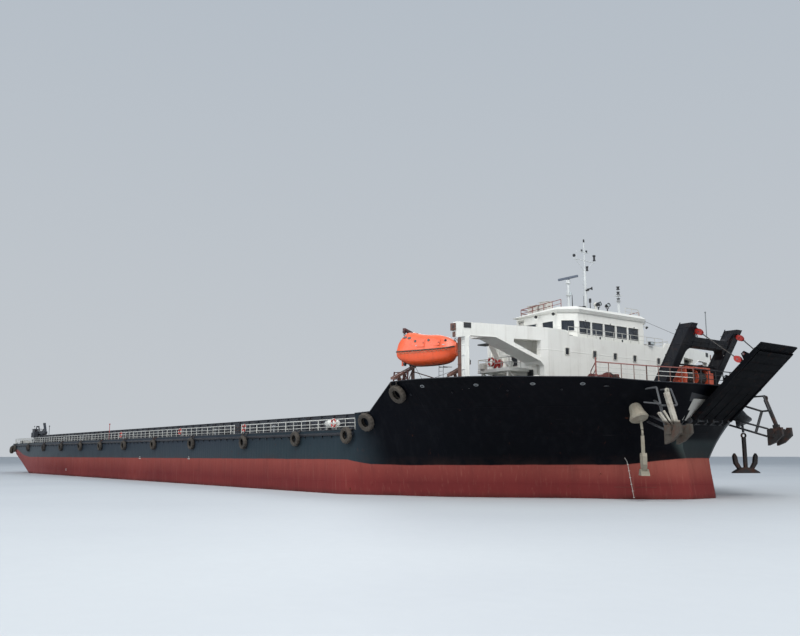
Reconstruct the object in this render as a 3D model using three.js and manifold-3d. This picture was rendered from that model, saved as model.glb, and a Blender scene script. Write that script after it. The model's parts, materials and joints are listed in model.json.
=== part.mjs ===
// A self-propelled deck cargo barge as a 1:10 scale model.
// Every number below is a size of the real vessel in metres, in the ship's own frame:
// X forward from the stem at the waterline, Y to port, Z up from the waterline.
// The last lines turn that frame into the model's: millimetres at 1:10, Z from the
// flat bottom, X from the middle of the overall length.
import * as THREE from "three";
import { mergeVertices } from "three/addons/utils/BufferGeometryUtils.js";
import Module from "manifold-3d";

const wasm = await Module();
wasm.setup();

// ---------------------------------------------------------------- driving sizes
const MM_PER_REAL_METRE = 100; // 1:10
const DRAFT = 3.0; // flat bottom below the waterline
const X_MIDDLE = -73.07; // middle of the overall length, in the ship's frame
const HALF_BEAM = 19.65;
const CARGO_DECK_Z = 5.9;
const FORE_DECK_Z = 8.9;
const FORE_DECK_AFT_X = -18.4; // forecastle's aft bulkhead
const STEP_X = -22.9; // foot of the sloping side plates
const BULWARK_T = 0.22;
const GAP = 0.004; // between pieces that touch: 0.4 mm on the model

const CARGO_WALL = { y: 17.4, t: 0.35, top: 7.5, aftX: -141.5, foreX: -23.1 };
const RAIL = { y: 19.3, top: 7.0, r: 0.05 };

const HOUSE = { foreX: -8.0, aftX: -15.6, halfY: 9.7, top: 14.05, wall: 0.25 };
const WING = { endY: 18.3, sweepX: -2.2, t: 0.5, top: 14.5, under: 13.4, deckDepth: 1.5, deckEndY: 15.6 };
const WHEEL = { floorZ: 14.05, foreX: -8.8, cornerX: -9.9, aftX: -15.1, foreY: 4.8, sideY: 6.3, aftY: 6.3, top: 16.45, wall: 0.2 };
const WINDOW = { z0: 14.5, z1: 15.72 };

const RAMP = { angle: 40.7, length: 8.8, halfWidth: 2.68, t: 0.16 };
const PIN = { x: 0.72, z: 6.42, r: 0.1 }; // the ramp's hinge pin, in a recess of the bow's front
const GANTRY = { topX: 1.75, topZ: 14.35, baseX: -1.4, postY: 3.3, postW: 0.85, postD: 1.5 };

const PROP = { x: -143.1, y: 8.2, z: -1.75, r: 1.12, blades: 4 };
const RUDDER = { x: -146.6, h0: -2.85, h1: 0.75, chord: 2.3, t: 0.28 };

const CRANE = { x: -147.6, y: -16.2, deckToTurn: 1.15, boomLength: 5.2, jibLength: 2.3, jibLean: 0.62 };
const BOAT = { x: -15.0, y: 17.4, z: 12.45, length: 5.8, beam: 2.2, yaw: 22.1 };

const COLOURS = {
  hullBlack: 0x101319, deckGrey: 0x5a5f5d, white: 0xe4e3dc, orange: 0xe8632f,
  davit: 0x51201d, tyre: 0x2b2926, steelDark: 0x24262b, rail: 0xcfcfc8,
  winchRed: 0xb4452d, bronze: 0x9a7a3c, anchor: 0x3a3734, mast: 0xd9dbd8,
};
const paint = (colour, roughness = 0.55, metalness = 0.1) =>
  new THREE.MeshStandardMaterial({ color: colour, roughness, metalness });

// ---------------------------------------------------------------- shape helpers
const DEG = Math.PI / 180;

// A closed three.js geometry becomes a solid that can be joined and cut.
function solid(geometry, matrix) {
  const flat = geometry.index ? geometry.toNonIndexed() : geometry.clone();
  let bare = new THREE.BufferGeometry().setAttribute("position", flat.getAttribute("position").clone());
  if (matrix) bare.applyMatrix4(matrix);
  bare = mergeVertices(bare, 1e-5);
  return new wasm.Manifold(new wasm.Mesh({
    numProp: 3,
    vertProperties: new Float32Array(bare.attributes.position.array),
    triVerts: new Uint32Array(bare.index.array),
  }));
}

function geometryOf(manifold) {
  const m = manifold.getMesh();
  const g = new THREE.BufferGeometry();
  const xyz = new Float32Array(m.numVert * 3);
  for (let i = 0; i < m.numVert; i++)
    for (let k = 0; k < 3; k++) xyz[3 * i + k] = m.vertProperties[i * m.numProp + k];
  g.setAttribute("position", new THREE.BufferAttribute(xyz, 3));
  g.setIndex(new THREE.BufferAttribute(new Uint32Array(m.triVerts), 1));
  g.computeVertexNormals();
  return g;
}

// What is left of a piece outside a neighbour, with a small gap to it all round.
function clearOf(piece, neighbour) {
  for (const d of [[0, 0, 0], [1, 0, 0], [-1, 0, 0], [0, 1, 0], [0, -1, 0], [0, 0, 1], [0, 0, -1]])
    piece = piece.subtract(solid(geometryOf(neighbour).translate(...d.map((v) => v * GAP))));
  return biggest(piece);
}
const biggest = (s) => s.decompose().sort((a, b) => b.volume() - a.volume())[0];
const join = (...solids) => solids.flat().reduce((a, b) => a.add(b));
const cut = (from, ...tools) => tools.flat().reduce((a, b) => a.subtract(b), from);

const BASES = {
  x: [[0, 1, 0], [0, 0, 1], [1, 0, 0]],
  y: [[1, 0, 0], [0, 0, 1], [0, -1, 0]],
  z: [[1, 0, 0], [0, 1, 0], [0, 0, 1]],
};
// An outline swept from a to b along an axis. Outlines: x takes [y,z], y takes [x,z], z takes [x,y].
function prism(axis, outline, a, b) {
  const shape = new THREE.Shape(outline.map((p) => new THREE.Vector2(p[0], p[1])));
  const g = new THREE.ExtrudeGeometry(shape, { depth: b - a, bevelEnabled: false, curveSegments: 1 });
  const [ex, ey, ez] = BASES[axis].map((v) => new THREE.Vector3(...v));
  const m = new THREE.Matrix4().makeBasis(ex, ey, ez);
  const start = { x: [a, 0, 0], y: [0, b, 0], z: [0, 0, a] }[axis];
  m.setPosition(...start);
  return solid(g, m);
}
const box = (x0, x1, y0, y1, z0, z1) =>
  solid(new THREE.BoxGeometry(x1 - x0, y1 - y0, z1 - z0),
    new THREE.Matrix4().makeTranslation((x0 + x1) / 2, (y0 + y1) / 2, (z0 + z1) / 2));

// A round bar between two points.
function bar(a, b, r, n = 8, r2 = r) {
  const A = new THREE.Vector3(...a), B = new THREE.Vector3(...b);
  const d = B.clone().sub(A), len = d.length();
  const m = new THREE.Matrix4().compose(A.clone().add(B).multiplyScalar(0.5),
    new THREE.Quaternion().setFromUnitVectors(new THREE.Vector3(0, 1, 0), d.normalize()),
    new THREE.Vector3(1, 1, 1));
  return solid(new THREE.CylinderGeometry(r2, r, len, n), m);
}
// A square beam between two points: width across, depth in the vertical plane.
function beam(a, b, width, depth) {
  const A = new THREE.Vector3(...a), B = new THREE.Vector3(...b);
  const ex = B.clone().sub(A); const len = ex.length(); ex.normalize();
  let side = new THREE.Vector3(0, 0, 1).cross(ex);
  if (side.length() < 1e-6) side = new THREE.Vector3(0, 1, 0);
  side.normalize();
  const up = ex.clone().cross(side);
  const m = new THREE.Matrix4().makeBasis(ex, side, up);
  m.setPosition(A.clone().add(B).multiplyScalar(0.5));
  return solid(new THREE.BoxGeometry(len, width, depth), m);
}
// A profile of [radius, along] pairs turned about the line from `at` in direction `dir`.
function turned(profile, at, dir, n = 16) {
  const g = new THREE.LatheGeometry(profile.map((p) => new THREE.Vector2(p[0], p[1])), n);
  const m = new THREE.Matrix4().compose(new THREE.Vector3(...at),
    new THREE.Quaternion().setFromUnitVectors(new THREE.Vector3(0, 1, 0), new THREE.Vector3(...dir).normalize()),
    new THREE.Vector3(1, 1, 1));
  return solid(g, m);
}
const ring = (rIn, rOut, half, at, dir, n) =>
  turned([[rIn, -half], [rOut, -half], [rOut, half], [rIn, half], [rIn, -half]], at, dir, n);

// A body through like sections; each section is one side, bottom edge to top edge,
// and its mirror image in Y closes it.
function symmetricLoft(sections) {
  const n = sections[0].length, pos = [], idx = [];
  for (const s of sections) {
    for (const p of s) pos.push(p[0], -p[1], p[2]);
    for (const p of s.slice().reverse()) pos.push(p[0], p[1], p[2]);
  }
  const m = 2 * n, v = (i, j) => i * m + ((j + m) % m);
  for (let i = 0; i + 1 < sections.length; i++)
    for (let j = 0; j < m; j++) {
      const [a, b, c, d] = [v(i, j), v(i + 1, j), v(i + 1, j + 1), v(i, j + 1)];
      // the port side's diagonals mirror the starboard side's
      if (j < n) idx.push(a, b, c, a, c, d);
      else idx.push(a, b, d, b, c, d);
    }
  const last = sections.length - 1;
  for (let j = 0; j + 1 < n; j++) {
    const q = [j, j + 1, m - 2 - j, m - 1 - j];
    idx.push(v(0, q[0]), v(0, q[1]), v(0, q[2]), v(0, q[0]), v(0, q[2]), v(0, q[3]));
    idx.push(v(last, q[0]), v(last, q[2]), v(last, q[1]), v(last, q[0]), v(last, q[3]), v(last, q[2]));
  }
  const g = new THREE.BufferGeometry();
  g.setAttribute("position", new THREE.Float32BufferAttribute(pos, 3));
  g.setIndex(idx);
  return solid(g);
}
// Any closed loft: rings of equal length, run anticlockwise seen from the first ring's outside.
function loft(rings) {
  const m = rings[0].length, pos = rings.flat(2), idx = [];
  for (let i = 0; i + 1 < rings.length; i++)
    for (let j = 0; j < m; j++) {
      const a = i * m + j, b = i * m + ((j + 1) % m), c = a + m, d = b + m;
      idx.push(a, b, d, a, d, c);
    }
  const last = (rings.length - 1) * m;
  for (let j = 1; j + 1 < m; j++) {
    idx.push(0, j + 1, j);
    idx.push(last, last + j, last + j + 1);
  }
  const g = new THREE.BufferGeometry();
  g.setAttribute("position", new THREE.Float32BufferAttribute(pos, 3));
  g.setIndex(idx);
  let s = solid(g);
  if (s.volume() < 0) {
    for (let i = 0; i < idx.length; i += 3) [idx[i + 1], idx[i + 2]] = [idx[i + 2], idx[i + 1]];
    g.setIndex(idx);
    s = solid(g);
  }
  return s;
}

// ---------------------------------------------------------------- hull
// columns: keel edge x,z,y | waterline x,z,y | boot-top x,z,y | knuckle x,z,y | sheer x,z,y
const HULL = [
  [-153.6, 3.5, 17.4, -153.6, 4.1, 18.9, -153.6, 4.7, 19.45, -153.6, 5.3, 19.6, -153.6, 7.4, 19.65],
  [-147.0, 1.75, 17.8, -147.0, 2.6, 19.2, -147.0, 3.6, 19.55, -147.0, 4.7, 19.65, -147.0, 7.4, 19.65],
  [-139.0, -0.7, 18.0, -139.0, 0.5, 19.4, -139.0, 3.2, 19.65, -139.0, 4.6, 19.65, -139.0, 7.4, 19.65],
  [-131.5, -3.0, 17.6, -131.5, 0.0, 19.5, -131.5, 3.2, 19.65, -131.5, 4.6, 19.65, -131.5, 7.4, 19.65],
  [-26.0, -3.0, 17.6, -26.0, 0.0, 19.6, -26.0, 3.2, 19.65, -26.0, 4.6, 19.65, -26.0, 7.4, 19.65],
  [-22.9, -3.0, 16.8, -22.9, 0.0, 18.5, -22.9, 2.8, 19.1, -22.9, 4.6, 19.45, -22.9, 7.4, 19.7],
  [-20.46, -3.0, 15.5, -20.46, 0.0, 17.15, -20.46, 2.7, 17.85, -20.46, 4.6, 18.45, -20.46, 7.45, 19.7],
  [-17.3, -3.0, 13.9, -17.3, 0.0, 15.85, -17.3, 2.7, 16.5, -17.3, 4.6, 17.15, -17.3, 9.9, 19.7],
  [-15.4, -3.0, 12.8, -15.4, 0.0, 14.9, -15.4, 2.7, 15.6, -15.4, 4.6, 16.3, -15.4, 9.9, 19.7],
  [-12.4, -3.0, 9.2, -10.8, 0.0, 11.3, -10.6, 2.7, 11.9, -10.2, 4.6, 13.0, -9.4, 9.85, 18.2],
  [-9.5, -3.0, 5.6, -7.0, 0.0, 7.8, -6.8, 2.8, 8.3, -6.4, 4.6, 9.5, -5.0, 9.7, 15.6],
  [-7.0, -3.0, 3.9, -3.1, 0.0, 5.6, -3.6, 3.0, 6.1, -3.6, 4.6, 7.2, -3.2, 9.65, 13.9],
  [-6.2, -3.0, 2.9, -1.6, 0.0, 4.2, -2.3, 3.1, 4.5, -2.1, 4.6, 5.4, -1.2, 9.6, 11.8],
  [-5.8, -3.0, 2.0, -0.85, 0.0, 3.0, -1.4, 3.3, 3.1, -1.0, 4.6, 3.8, 0.95, 9.33, 8.3],
  [-5.4, -3.0, 1.2, 0.0, 0.0, 1.6, -0.45, 3.4, 1.65, -0.3, 4.6, 2.4, 2.8, 9.18, 4.8],
];
const FLARE_HOLLOW = 0.42; // how far out the flare is at half its height

function hullSection(r) {
  const [kx, kz, ky, wx, wz, wy, bx, bz, by, nx, nz, ny, sx, sz, sy] = r;
  const mid = (a, b, f) => a + (b - a) * f;
  return [
    [kx, ky, kz],
    [mid(kx, wx, 0.42), mid(ky, wy, 0.8), mid(kz, wz, 0.2)],
    [mid(kx, wx, 0.8), mid(ky, wy, 0.97), mid(kz, wz, 0.55)],
    [wx, wy, wz],
    [bx, by, bz],
    [nx, ny, nz],
    [mid(nx, sx, FLARE_HOLLOW), mid(ny, sy, FLARE_HOLLOW), mid(nz, sz, 0.5)],
    [sx, sy, sz],
  ];
}
const between = (a, b, f) => a.map((v, i) => v + (b[i] - v) * f);
// the flare's outer face on one ring, at a height between its middle and the sheer
function flareAt(section, z) {
  const [m, top] = [section[6], section[7]];
  return between(m, top, Math.min(1, Math.max(0, (z - m[2]) / (top[2] - m[2]))));
}
const mirrored = (half) => [...half.map(([x, y, z]) => [x, -y, z]), ...half.slice().reverse()];

// the space over the forecastle deck, inside a bulwark that leans out with the flare
function foreDeckSpace() {
  const rows = [[[-18.9, 19.45], [-18.9, 19.45], FORE_DECK_Z + 0.05]];
  for (const r of HULL) {
    if (r[12] < FORE_DECK_AFT_X) continue;
    const section = hullSection(r), top = section[7], low = flareAt(section, FORE_DECK_Z);
    const dx = top[0] > -1 ? BULWARK_T : BULWARK_T / 2;
    rows.push([[low[0] - dx, low[1] - BULWARK_T], [top[0] - dx, top[1] - BULWARK_T], top[2]]);
  }
  return loft([
    mirrored(rows.map(([low]) => [...low, FORE_DECK_Z])),
    mirrored(rows.map(([, top, z]) => [...top, z])),
    mirrored(rows.map(([, top]) => [...top, 12])),
  ]);
}
// the space over the side decks, inside the sloping plates
function stepSpace() {
  const ringAt = (x, section) => {
    const [n, m, top] = [section[5], section[6], section[7]];
    const f = (CARGO_DECK_Z - n[2]) / (m[2] - n[2]);
    const low = f < 1 ? between(n, m, f) : flareAt(section, CARGO_DECK_Z);
    const half = [[low[1] - BULWARK_T, CARGO_DECK_Z], [Math.max(m[1], low[1]) - BULWARK_T, Math.max(m[2], CARGO_DECK_Z + 0.02)], [top[1] - BULWARK_T, top[2]], [top[1] - BULWARK_T, 12]];
    return [...half.map(([y, z]) => [x, -y, z]), ...half.slice().reverse().map(([y, z]) => [x, y, z])];
  };
  const [a, b, c] = HULL.filter((r) => r[12] > STEP_X - 0.01).slice(0, 3).map(hullSection);
  const [xb, xc] = [b[7][0], c[7][0]];
  const f = (FORE_DECK_AFT_X - xb) / (xc - xb), d = b.map((p, i) => between(p, c[i], f));
  return loft([ringAt(STEP_X - 1, a), ringAt(STEP_X, a), ringAt(xb, b), ringAt(FORE_DECK_AFT_X, d)]);
}
// the recess in the bow's front that takes the ramp's foot
const RECESS = { halfY: 3.2, floorZ: 6.05, topZ: 8.0, backX: [0.2, 1.05] };

function hullSolid() {
  const r = RECESS;
  return cut(symmetricLoft(HULL.map(hullSection)),
    box(-160, FORE_DECK_AFT_X, -25, 25, CARGO_DECK_Z, 12),
    box(FORE_DECK_AFT_X - 0.1, 6, -25, 25, FORE_DECK_Z, 12),
    prism("y", [[r.backX[0], r.floorZ], [4, r.floorZ], [4, r.topZ], [r.backX[1], r.topZ]], -r.halfY, r.halfY));
}
// the bulwark round the forecastle, with the side plates that slope down to the cargo deck
function bulwarkSolid() {
  const room = join(
    box(STEP_X, FORE_DECK_AFT_X - GAP, -25, 25, CARGO_DECK_Z + GAP, 12),
    box(FORE_DECK_AFT_X - 0.1, 6, -25, 25, FORE_DECK_Z + GAP, 12));
  return biggest(cut(symmetricLoft(HULL.map(hullSection)).intersect(room), stepSpace(), foreDeckSpace()));
}

// ---------------------------------------------------------------- cargo space, rails, fenders
function cargoWallSide(sign) {
  const w = CARGO_WALL, y0 = sign * w.y, y1 = sign * (w.y - w.t);
  const lo = Math.min(y0, y1), hi = Math.max(y0, y1);
  const s = [box(w.aftX, w.foreX, lo, hi, CARGO_DECK_Z + GAP, w.top)];
  // stanchions on the outer face
  for (let x = w.aftX + 3; x < w.foreX - 1; x += 11.5) {
    const a = sign * (w.y - 0.05), b = sign * (w.y + 0.3);
    s.push(box(x - 0.12, x + 0.12, Math.min(a, b), Math.max(a, b), CARGO_DECK_Z + GAP, w.top - 0.15));
  }
  return join(s);
}
function cargoWallAft() {
  const w = CARGO_WALL;
  return box(w.aftX - w.t - GAP, w.aftX - GAP, -w.y, w.y, CARGO_DECK_Z + GAP, w.top);
}

// Tyre fenders: x, centre z, outer radius, and how far out the side plate is there.
const TYRES = [
  [-150.6, 4.95, 0.72, 19.65], [-139.5, 5.0, 0.7, 19.65], [-128, 5.0, 0.7, 19.65], [-116.4, 5.0, 0.7, 19.65],
  [-105, 5.0, 0.7, 19.65], [-94.6, 5.0, 0.7, 19.65], [-83.6, 5.0, 0.7, 19.65], [-71.8, 5.0, 0.7, 19.65],
  [-59.0, 5.0, 0.72, 19.65], [-44.7, 5.0, 0.75, 19.65], [-33.2, 5.2, 0.75, 19.65], [-23.9, 5.4, 0.78, 19.65],
];
const SHEER_BAR = { z: 5.55, h: 0.28, out: 0.16 };
function sheerRail() {
  const s = [box(-153.4, -23.1, HALF_BEAM + GAP, HALF_BEAM + SHEER_BAR.out, SHEER_BAR.z - SHEER_BAR.h / 2, SHEER_BAR.z + SHEER_BAR.h / 2)];
  for (const [x, z, r, y] of TYRES)
    s.push(ring(r * 0.5, r, 0.2, [x, y + 0.33, z], [0, 1, 0], 14));
  return join(s);
}
function guardRail() {
  const s = [], { y, top, r } = RAIL, z0 = CARGO_DECK_Z + GAP;
  for (const z of [top, top - 0.5]) s.push(box(-152.6, -23.4, y - r, y + r, z - r, z + r));
  for (let x = -152.5; x < -23; x += 6.45) s.push(box(x - r, x + r, y - r, y + r, z0, top));
  return join(s);
}
function bowRail() {
  // along the bulwark's top, both sides and across the front
  const pts = [[-1.28, 9.61, 11.7], [0.85, 9.34, 8.2], [2.69, 9.19, 4.7]];
  const all = [...pts.map(([x, z, y]) => [x, -y, z]), ...pts.slice().reverse().map(([x, z, y]) => [x, y, z])];
  const s = [], h = 1.15, r = 0.045;
  for (let i = 0; i + 1 < all.length; i++) {
    const [a, b] = [all[i], all[i + 1]];
    for (const up of [h, h * 0.55]) s.push(beam([a[0], a[1], a[2] + up], [b[0], b[1], b[2] + up], r * 1.5, r * 1.5));
  }
  for (const p of all) s.push(box(p[0] - r * 1.5, p[0] + r * 1.5, p[1] - r * 1.5, p[1] + r * 1.5, p[2] + 0.03, p[2] + h + 0.06));
  return join(s);
}

// ---------------------------------------------------------------- superstructure
// Doors: name, hinge x, hinge y, sill z, width, height; each is in a wall that runs along X.
const DOOR_T = 0.12;
const HOUSE_DOOR = { x: -12.2, w: 0.95, z: 9.15, h: 1.95 };
const WHEEL_DOOR = { x: -14.1, w: 0.66, z: 14.3, h: 1.8 };
const PORTHOLES_Y = [-7.3, -3.6, -0.7, 2.2, 5.9];

function deckhouse() {
  const h = HOUSE, w = h.wall, z0 = FORE_DECK_Z + GAP;
  let s = box(h.aftX, h.foreX, -h.halfY, h.halfY, z0, h.top);
  s = cut(s, box(h.aftX + w, h.foreX - w, -h.halfY + w, h.halfY - w, z0 - 1, h.top - w));
  for (const y of PORTHOLES_Y) s = cut(s, box(h.foreX - 1, h.foreX + 1, y - 0.26, y + 0.26, 12.3, 12.9));
  for (const y of [-6.9, -4.2, 4.2, 6.9]) s = cut(s, box(h.aftX - 1, h.aftX + 1, y - 0.4, y + 0.4, 11.9, 12.8));
  for (const sy of [-1, 1]) {
    const a = sy * (h.halfY - 1), b = sy * (h.halfY + 1);
    const d = HOUSE_DOOR;
    s = cut(s, box(d.x - d.w, d.x, Math.min(a, b), Math.max(a, b), d.z, d.z + d.h));
    for (const x of [-10.2, -14.8]) s = cut(s, box(x - 0.4, x + 0.4, Math.min(a, b), Math.max(a, b), 10.2, 11.0));
  }
  return s;
}
// The wing: a swept-back box girder with the arch below it, its end post, and the wing deck behind.
function wingArch() {
  const y0 = HOUSE.halfY + GAP, y1 = WING.endY, z0 = FORE_DECK_Z + GAP;
  const outline = [
    [y0, z0], [10.15, z0], [10.15, 11.14], [10.5, 11.57], [14.7, WING.under],
    [17.05, WING.under], [17.2, WING.under - 0.12], [17.2, z0], [17.5, z0], [17.5, WING.under - 0.1],
    [y1, WING.under - 0.22], [y1, WING.top - 0.12], [y1 - 0.15, WING.top], [y0, WING.top],
  ];
  const window_ = [[10.45, 11.95], [10.95, 12.1], [13.0, 13.03], [13.0, 13.35], [10.4, 13.35]];
  const shear = new THREE.Matrix4().set(
    1, WING.sweepX / (WING.endY - HOUSE.halfY), 0, 0, 0, 1, 0, 0, 0, 0, 1, 0, 0, 0, 0, 1);
  const bend = (man) => {
    const g = geometryOf(man);
    g.translate(0, -HOUSE.halfY, 0).applyMatrix4(shear).translate(0, HOUSE.halfY, 0);
    return solid(g);
  };
  let s = prism("x", outline, HOUSE.foreX - WING.t, HOUSE.foreX);
  s = cut(s, prism("x", window_, HOUSE.foreX - 2, HOUSE.foreX + 1));
  const deck = box(HOUSE.foreX - WING.t - WING.deckDepth, HOUSE.foreX - WING.t + 0.05, y0, WING.deckEndY, WING.under, WING.under + 0.18);
  // behind the front plate the girder is a box: sloping soffit, walkway over it, and a plate aft
  const back = HOUSE.foreX - WING.t - WING.deckDepth;
  const aftPlate = prism("x", [[y0, 11.3], [10.15, 11.3], [10.5, 11.57], [14.7, WING.under], [WING.deckEndY, WING.under], [WING.deckEndY, WING.top - 0.25], [y0, WING.top - 0.25]], back, back + 0.12);
  const soffit = prism("x", [[10.3, 11.32], [10.5, 11.57], [14.7, WING.under], [14.7, WING.under + 0.14], [14.3, WING.under + 0.14], [10.3, 11.66]], back, HOUSE.foreX - WING.t + 0.05);
  return bend(join(s, deck, aftPlate, soffit));
}
function wheelOutline(inset) {
  const w = WHEEL, k = inset;
  const half = [[w.foreX - k, w.foreY - k * 0.25], [w.cornerX - k * 0.55, w.sideY - k], [w.aftX + k, w.aftY - k]];
  return [...half.map(([x, y]) => [x, -y]), ...half.slice().reverse()];
}
const FRONT_PANES_Y = [-3.85, -2.08, -0.3, 1.48, 3.25];
function wheelhouse() {
  const w = WHEEL, z0 = w.floorZ + GAP;
  let s = cut(prism("z", wheelOutline(0), z0, w.top), prism("z", wheelOutline(w.wall), z0 - 1, w.top + 1));
  for (const y of FRONT_PANES_Y) s = cut(s, box(w.foreX - 0.8, w.foreX + 0.5, y - 0.8, y + 0.8, WINDOW.z0, WINDOW.z1));
  for (const sy of [-1, 1]) {
    // the pane in the oblique corner
    const cx = (w.foreX + w.cornerX) / 2, cy = (sy * (w.foreY + w.sideY)) / 2;
    const turn = sy * Math.atan2(w.foreX - w.cornerX, w.sideY - w.foreY);
    const pane = solid(new THREE.BoxGeometry(1.2, 1.3, WINDOW.z1 - WINDOW.z0 - 0.25),
      new THREE.Matrix4().makeRotationZ(turn).setPosition(cx, cy, (WINDOW.z0 + WINDOW.z1) / 2 + 0.12));
    s = cut(s, pane);
    const a = sy * (w.aftY - 1), b = sy * (w.sideY + 1), lo = Math.min(a, b), hi = Math.max(a, b);
    for (const x of [-11.1, -13.2]) s = cut(s, box(x - 0.66, x + 0.66, lo, hi, WINDOW.z0 + 0.2, WINDOW.z1));
    const d = WHEEL_DOOR;
    s = cut(s, box(d.x - d.w, d.x, lo, hi, d.z, d.z + d.h));
  }
  for (const y of [-3.6, 0, 3.6]) s = cut(s, box(w.aftX - 1, w.aftX + 1, y - 0.9, y + 0.9, WINDOW.z0 + 0.2, WINDOW.z1));
  return s;
}
function wheelhouseRoof() {
  // eaves stand out a little; the fascia leans, and the roof falls towards aft
  const w = WHEEL, out = 0.28;
  const low = wheelOutline(-out * 0.4).map(([x, y]) => [x, y, w.top + GAP]);
  const mid = wheelOutline(-out).map(([x, y]) => [x, y, w.top + 0.28 - (w.foreX - x) * 0.03]);
  const top = wheelOutline(0.15).map(([x, y]) => [x, y, w.top + 0.62 - (w.foreX - x) * 0.06]);
  return loft([low, mid, top]);
}
const roofTop = (x) => WHEEL.top + 0.62 - (WHEEL.foreX - x) * 0.06;
function door(d, y, sign) {
  // a panel just inside its opening's clearance, outer face flush with the wall
  const c = 0.06, y1 = sign * (y - 0.02), y0 = sign * (y - 0.02 - DOOR_T);
  let s = box(d.x - d.w + c, d.x - c, Math.min(y0, y1), Math.max(y0, y1), d.z + c, d.z + d.h - c);
  const hx = d.x - d.w + 0.16, k0 = sign * (y - 0.05), k1 = sign * (y + 0.08);
  return join(s, box(hx - 0.05, hx + 0.1, Math.min(k0, k1), Math.max(k0, k1), d.z + d.h * 0.48, d.z + d.h * 0.52));
}

// ---------------------------------------------------------------- masts
function mainMast() {
  const x = -11.8, roof = roofTop(x + 0.17);
  return join(
    bar([x, 0, roof + GAP], [x, 0, 21.6], 0.17, 10, 0.11),
    bar([x, 0, 21.5], [x, 0, 24.45], 0.06, 8),
    bar([x, -1.5, 22.55], [x, 1.5, 22.55], 0.05, 6),
    bar([x, -0.7, 23.4], [x, 0.7, 23.4], 0.05, 6),
    bar([x, 0, 19.45], [x + 0.5, 0, 19.45], 0.05, 6),
  );
}
const RADAR = { x: -11.8, y: -2.5, z: 20.25, scan: 1.2 };
function radarMast() {
  const r = RADAR, roof = roofTop(r.x + 0.12);
  return join(bar([r.x, r.y, roof + GAP], [r.x, r.y, r.z - 0.32], 0.12, 10),
    bar([r.x, r.y, r.z - 0.34], [r.x, r.y, r.z - GAP], 0.26, 12, 0.2));
}
function radarScanner() {
  const r = RADAR;
  return join(bar([r.x, r.y, r.z], [r.x, r.y, r.z + 0.16], 0.1, 10),
    box(r.x - r.scan, r.x + r.scan, r.y - 0.09, r.y + 0.09, r.z + 0.12, r.z + 0.32));
}
function signalMast() {
  const x = -9.9, y = 2.6, roof = roofTop(x + 0.13);
  return join(bar([x, y, roof + GAP], [x, y, 18.6], 0.13, 10), bar([x, y, 18.55], [x, y, 20.0], 0.05, 8),
    box(x - 0.3, x + 0.3, y - 0.3, y + 0.3, 19.0, 19.06));
}

// ---------------------------------------------------------------- bow gear
function leaningPlane(f) {
  // a point a fraction f up the gantry's leaning centre line
  const g = GANTRY, z0 = FORE_DECK_Z + GAP;
  return [g.baseX + (g.topX - g.baseX) * f, z0 + (g.topZ - z0) * f];
}
function bowGantry() {
  const g = GANTRY, d = g.postD / 2, z0 = FORE_DECK_Z + GAP;
  const dx = d / Math.cos(30 * DEG), front = dx - 0.42;
  const at = (f) => leaningPlane(f);
  const side = [
    [g.baseX - dx, z0], [g.baseX + front, z0],
    [at(1)[0] + front, at(1)[1] - 0.1], [at(1)[0] - dx + 0.15, at(1)[1] - 0.1],
  ];
  const post = (sy) => prism("y", side, sy * g.postY - g.postW / 2, sy * g.postY + g.postW / 2);
  const [cx, cz] = at(0.73), k = (g.topX - g.baseX) / (g.topZ - z0);
  const lean = (x, z) => [cx + x + (z - cz) * k, z];
  const cross = [lean(-0.45, cz - 0.36), lean(0.4, cz - 0.36), lean(0.4, cz + 0.36), lean(-0.45, cz + 0.36)];
  // gussets in the plane of the frame, in its four inner corners
  const gussets = [];
  for (const sy of [-1, 1]) {
    const yi = g.postY - g.postW / 2;
    const tri = (zc, up) => {
      const p = [[yi + 0.1, zc], [yi - 0.75, zc], [yi - 0.3, zc + up * 0.3], [yi, zc + up * 0.75], [yi + 0.1, zc + up * 0.75]];
      const s = prism("x", p.map(([y, z]) => [sy * y, z]), -0.4, 0.36);
      const q = geometryOf(s);
      q.applyMatrix4(new THREE.Matrix4().set(1, 0, k, cx - cz * k, 0, 1, 0, 0, 0, 0, 1, 0, 0, 0, 0, 1));
      return solid(q);
    };
    gussets.push(tri(cz + 0.35, 1), tri(cz - 0.35, -1));
  }
  return join(post(-1), post(1), prism("y", cross, -g.postY, g.postY), gussets);
}
const KNUCKLES_Y = [-2.2, 0, 2.2];
function bowRamp() {
  const r = RAMP, c = Math.cos(r.angle * DEG), s = Math.sin(r.angle * DEG);
  // u along the ramp, v off its outer face towards aft; the pin is at u 0, v 0.1
  const P = (u, v) => [PIN.x + u * c - (v - 0.1) * s, PIN.z + u * s + (v - 0.1) * c];
  const deck = prism("y", [P(0.35, 0), P(0.35, r.t), P(r.length - 0.5, r.t), P(r.length, r.t * 0.8), P(r.length, 0)], -r.halfWidth, r.halfWidth);
  const pieces = [deck];
  for (const y of [-r.halfWidth + 0.1, r.halfWidth - 0.1])
    pieces.push(prism("y", [P(0.35, -0.3), P(0.35, 0.05), P(r.length - 0.6, 0.05), P(r.length - 0.6, -0.12)], y - 0.1, y + 0.1));
  for (const y of KNUCKLES_Y)
    pieces.push(join(bar([PIN.x, y - 0.3, PIN.z], [PIN.x, y + 0.3, PIN.z], 0.24, 12),
      prism("y", [P(0, -0.12), P(0.6, 0.02), P(0.6, 0.3), P(0, 0.32)], y - 0.3, y + 0.3)));
  for (const y of [-2.45, 2.45]) // hoist lugs
    pieces.push(prism("y", [P(6.7, 0.05), P(7.5, 0.05), P(7.25, 0.75), P(6.95, 0.75)], y - 0.08, y + 0.08));
  return cut(join(pieces), bar([PIN.x, -3, PIN.z], [PIN.x, 3, PIN.z], PIN.r + 0.02, 12));
}
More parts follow.
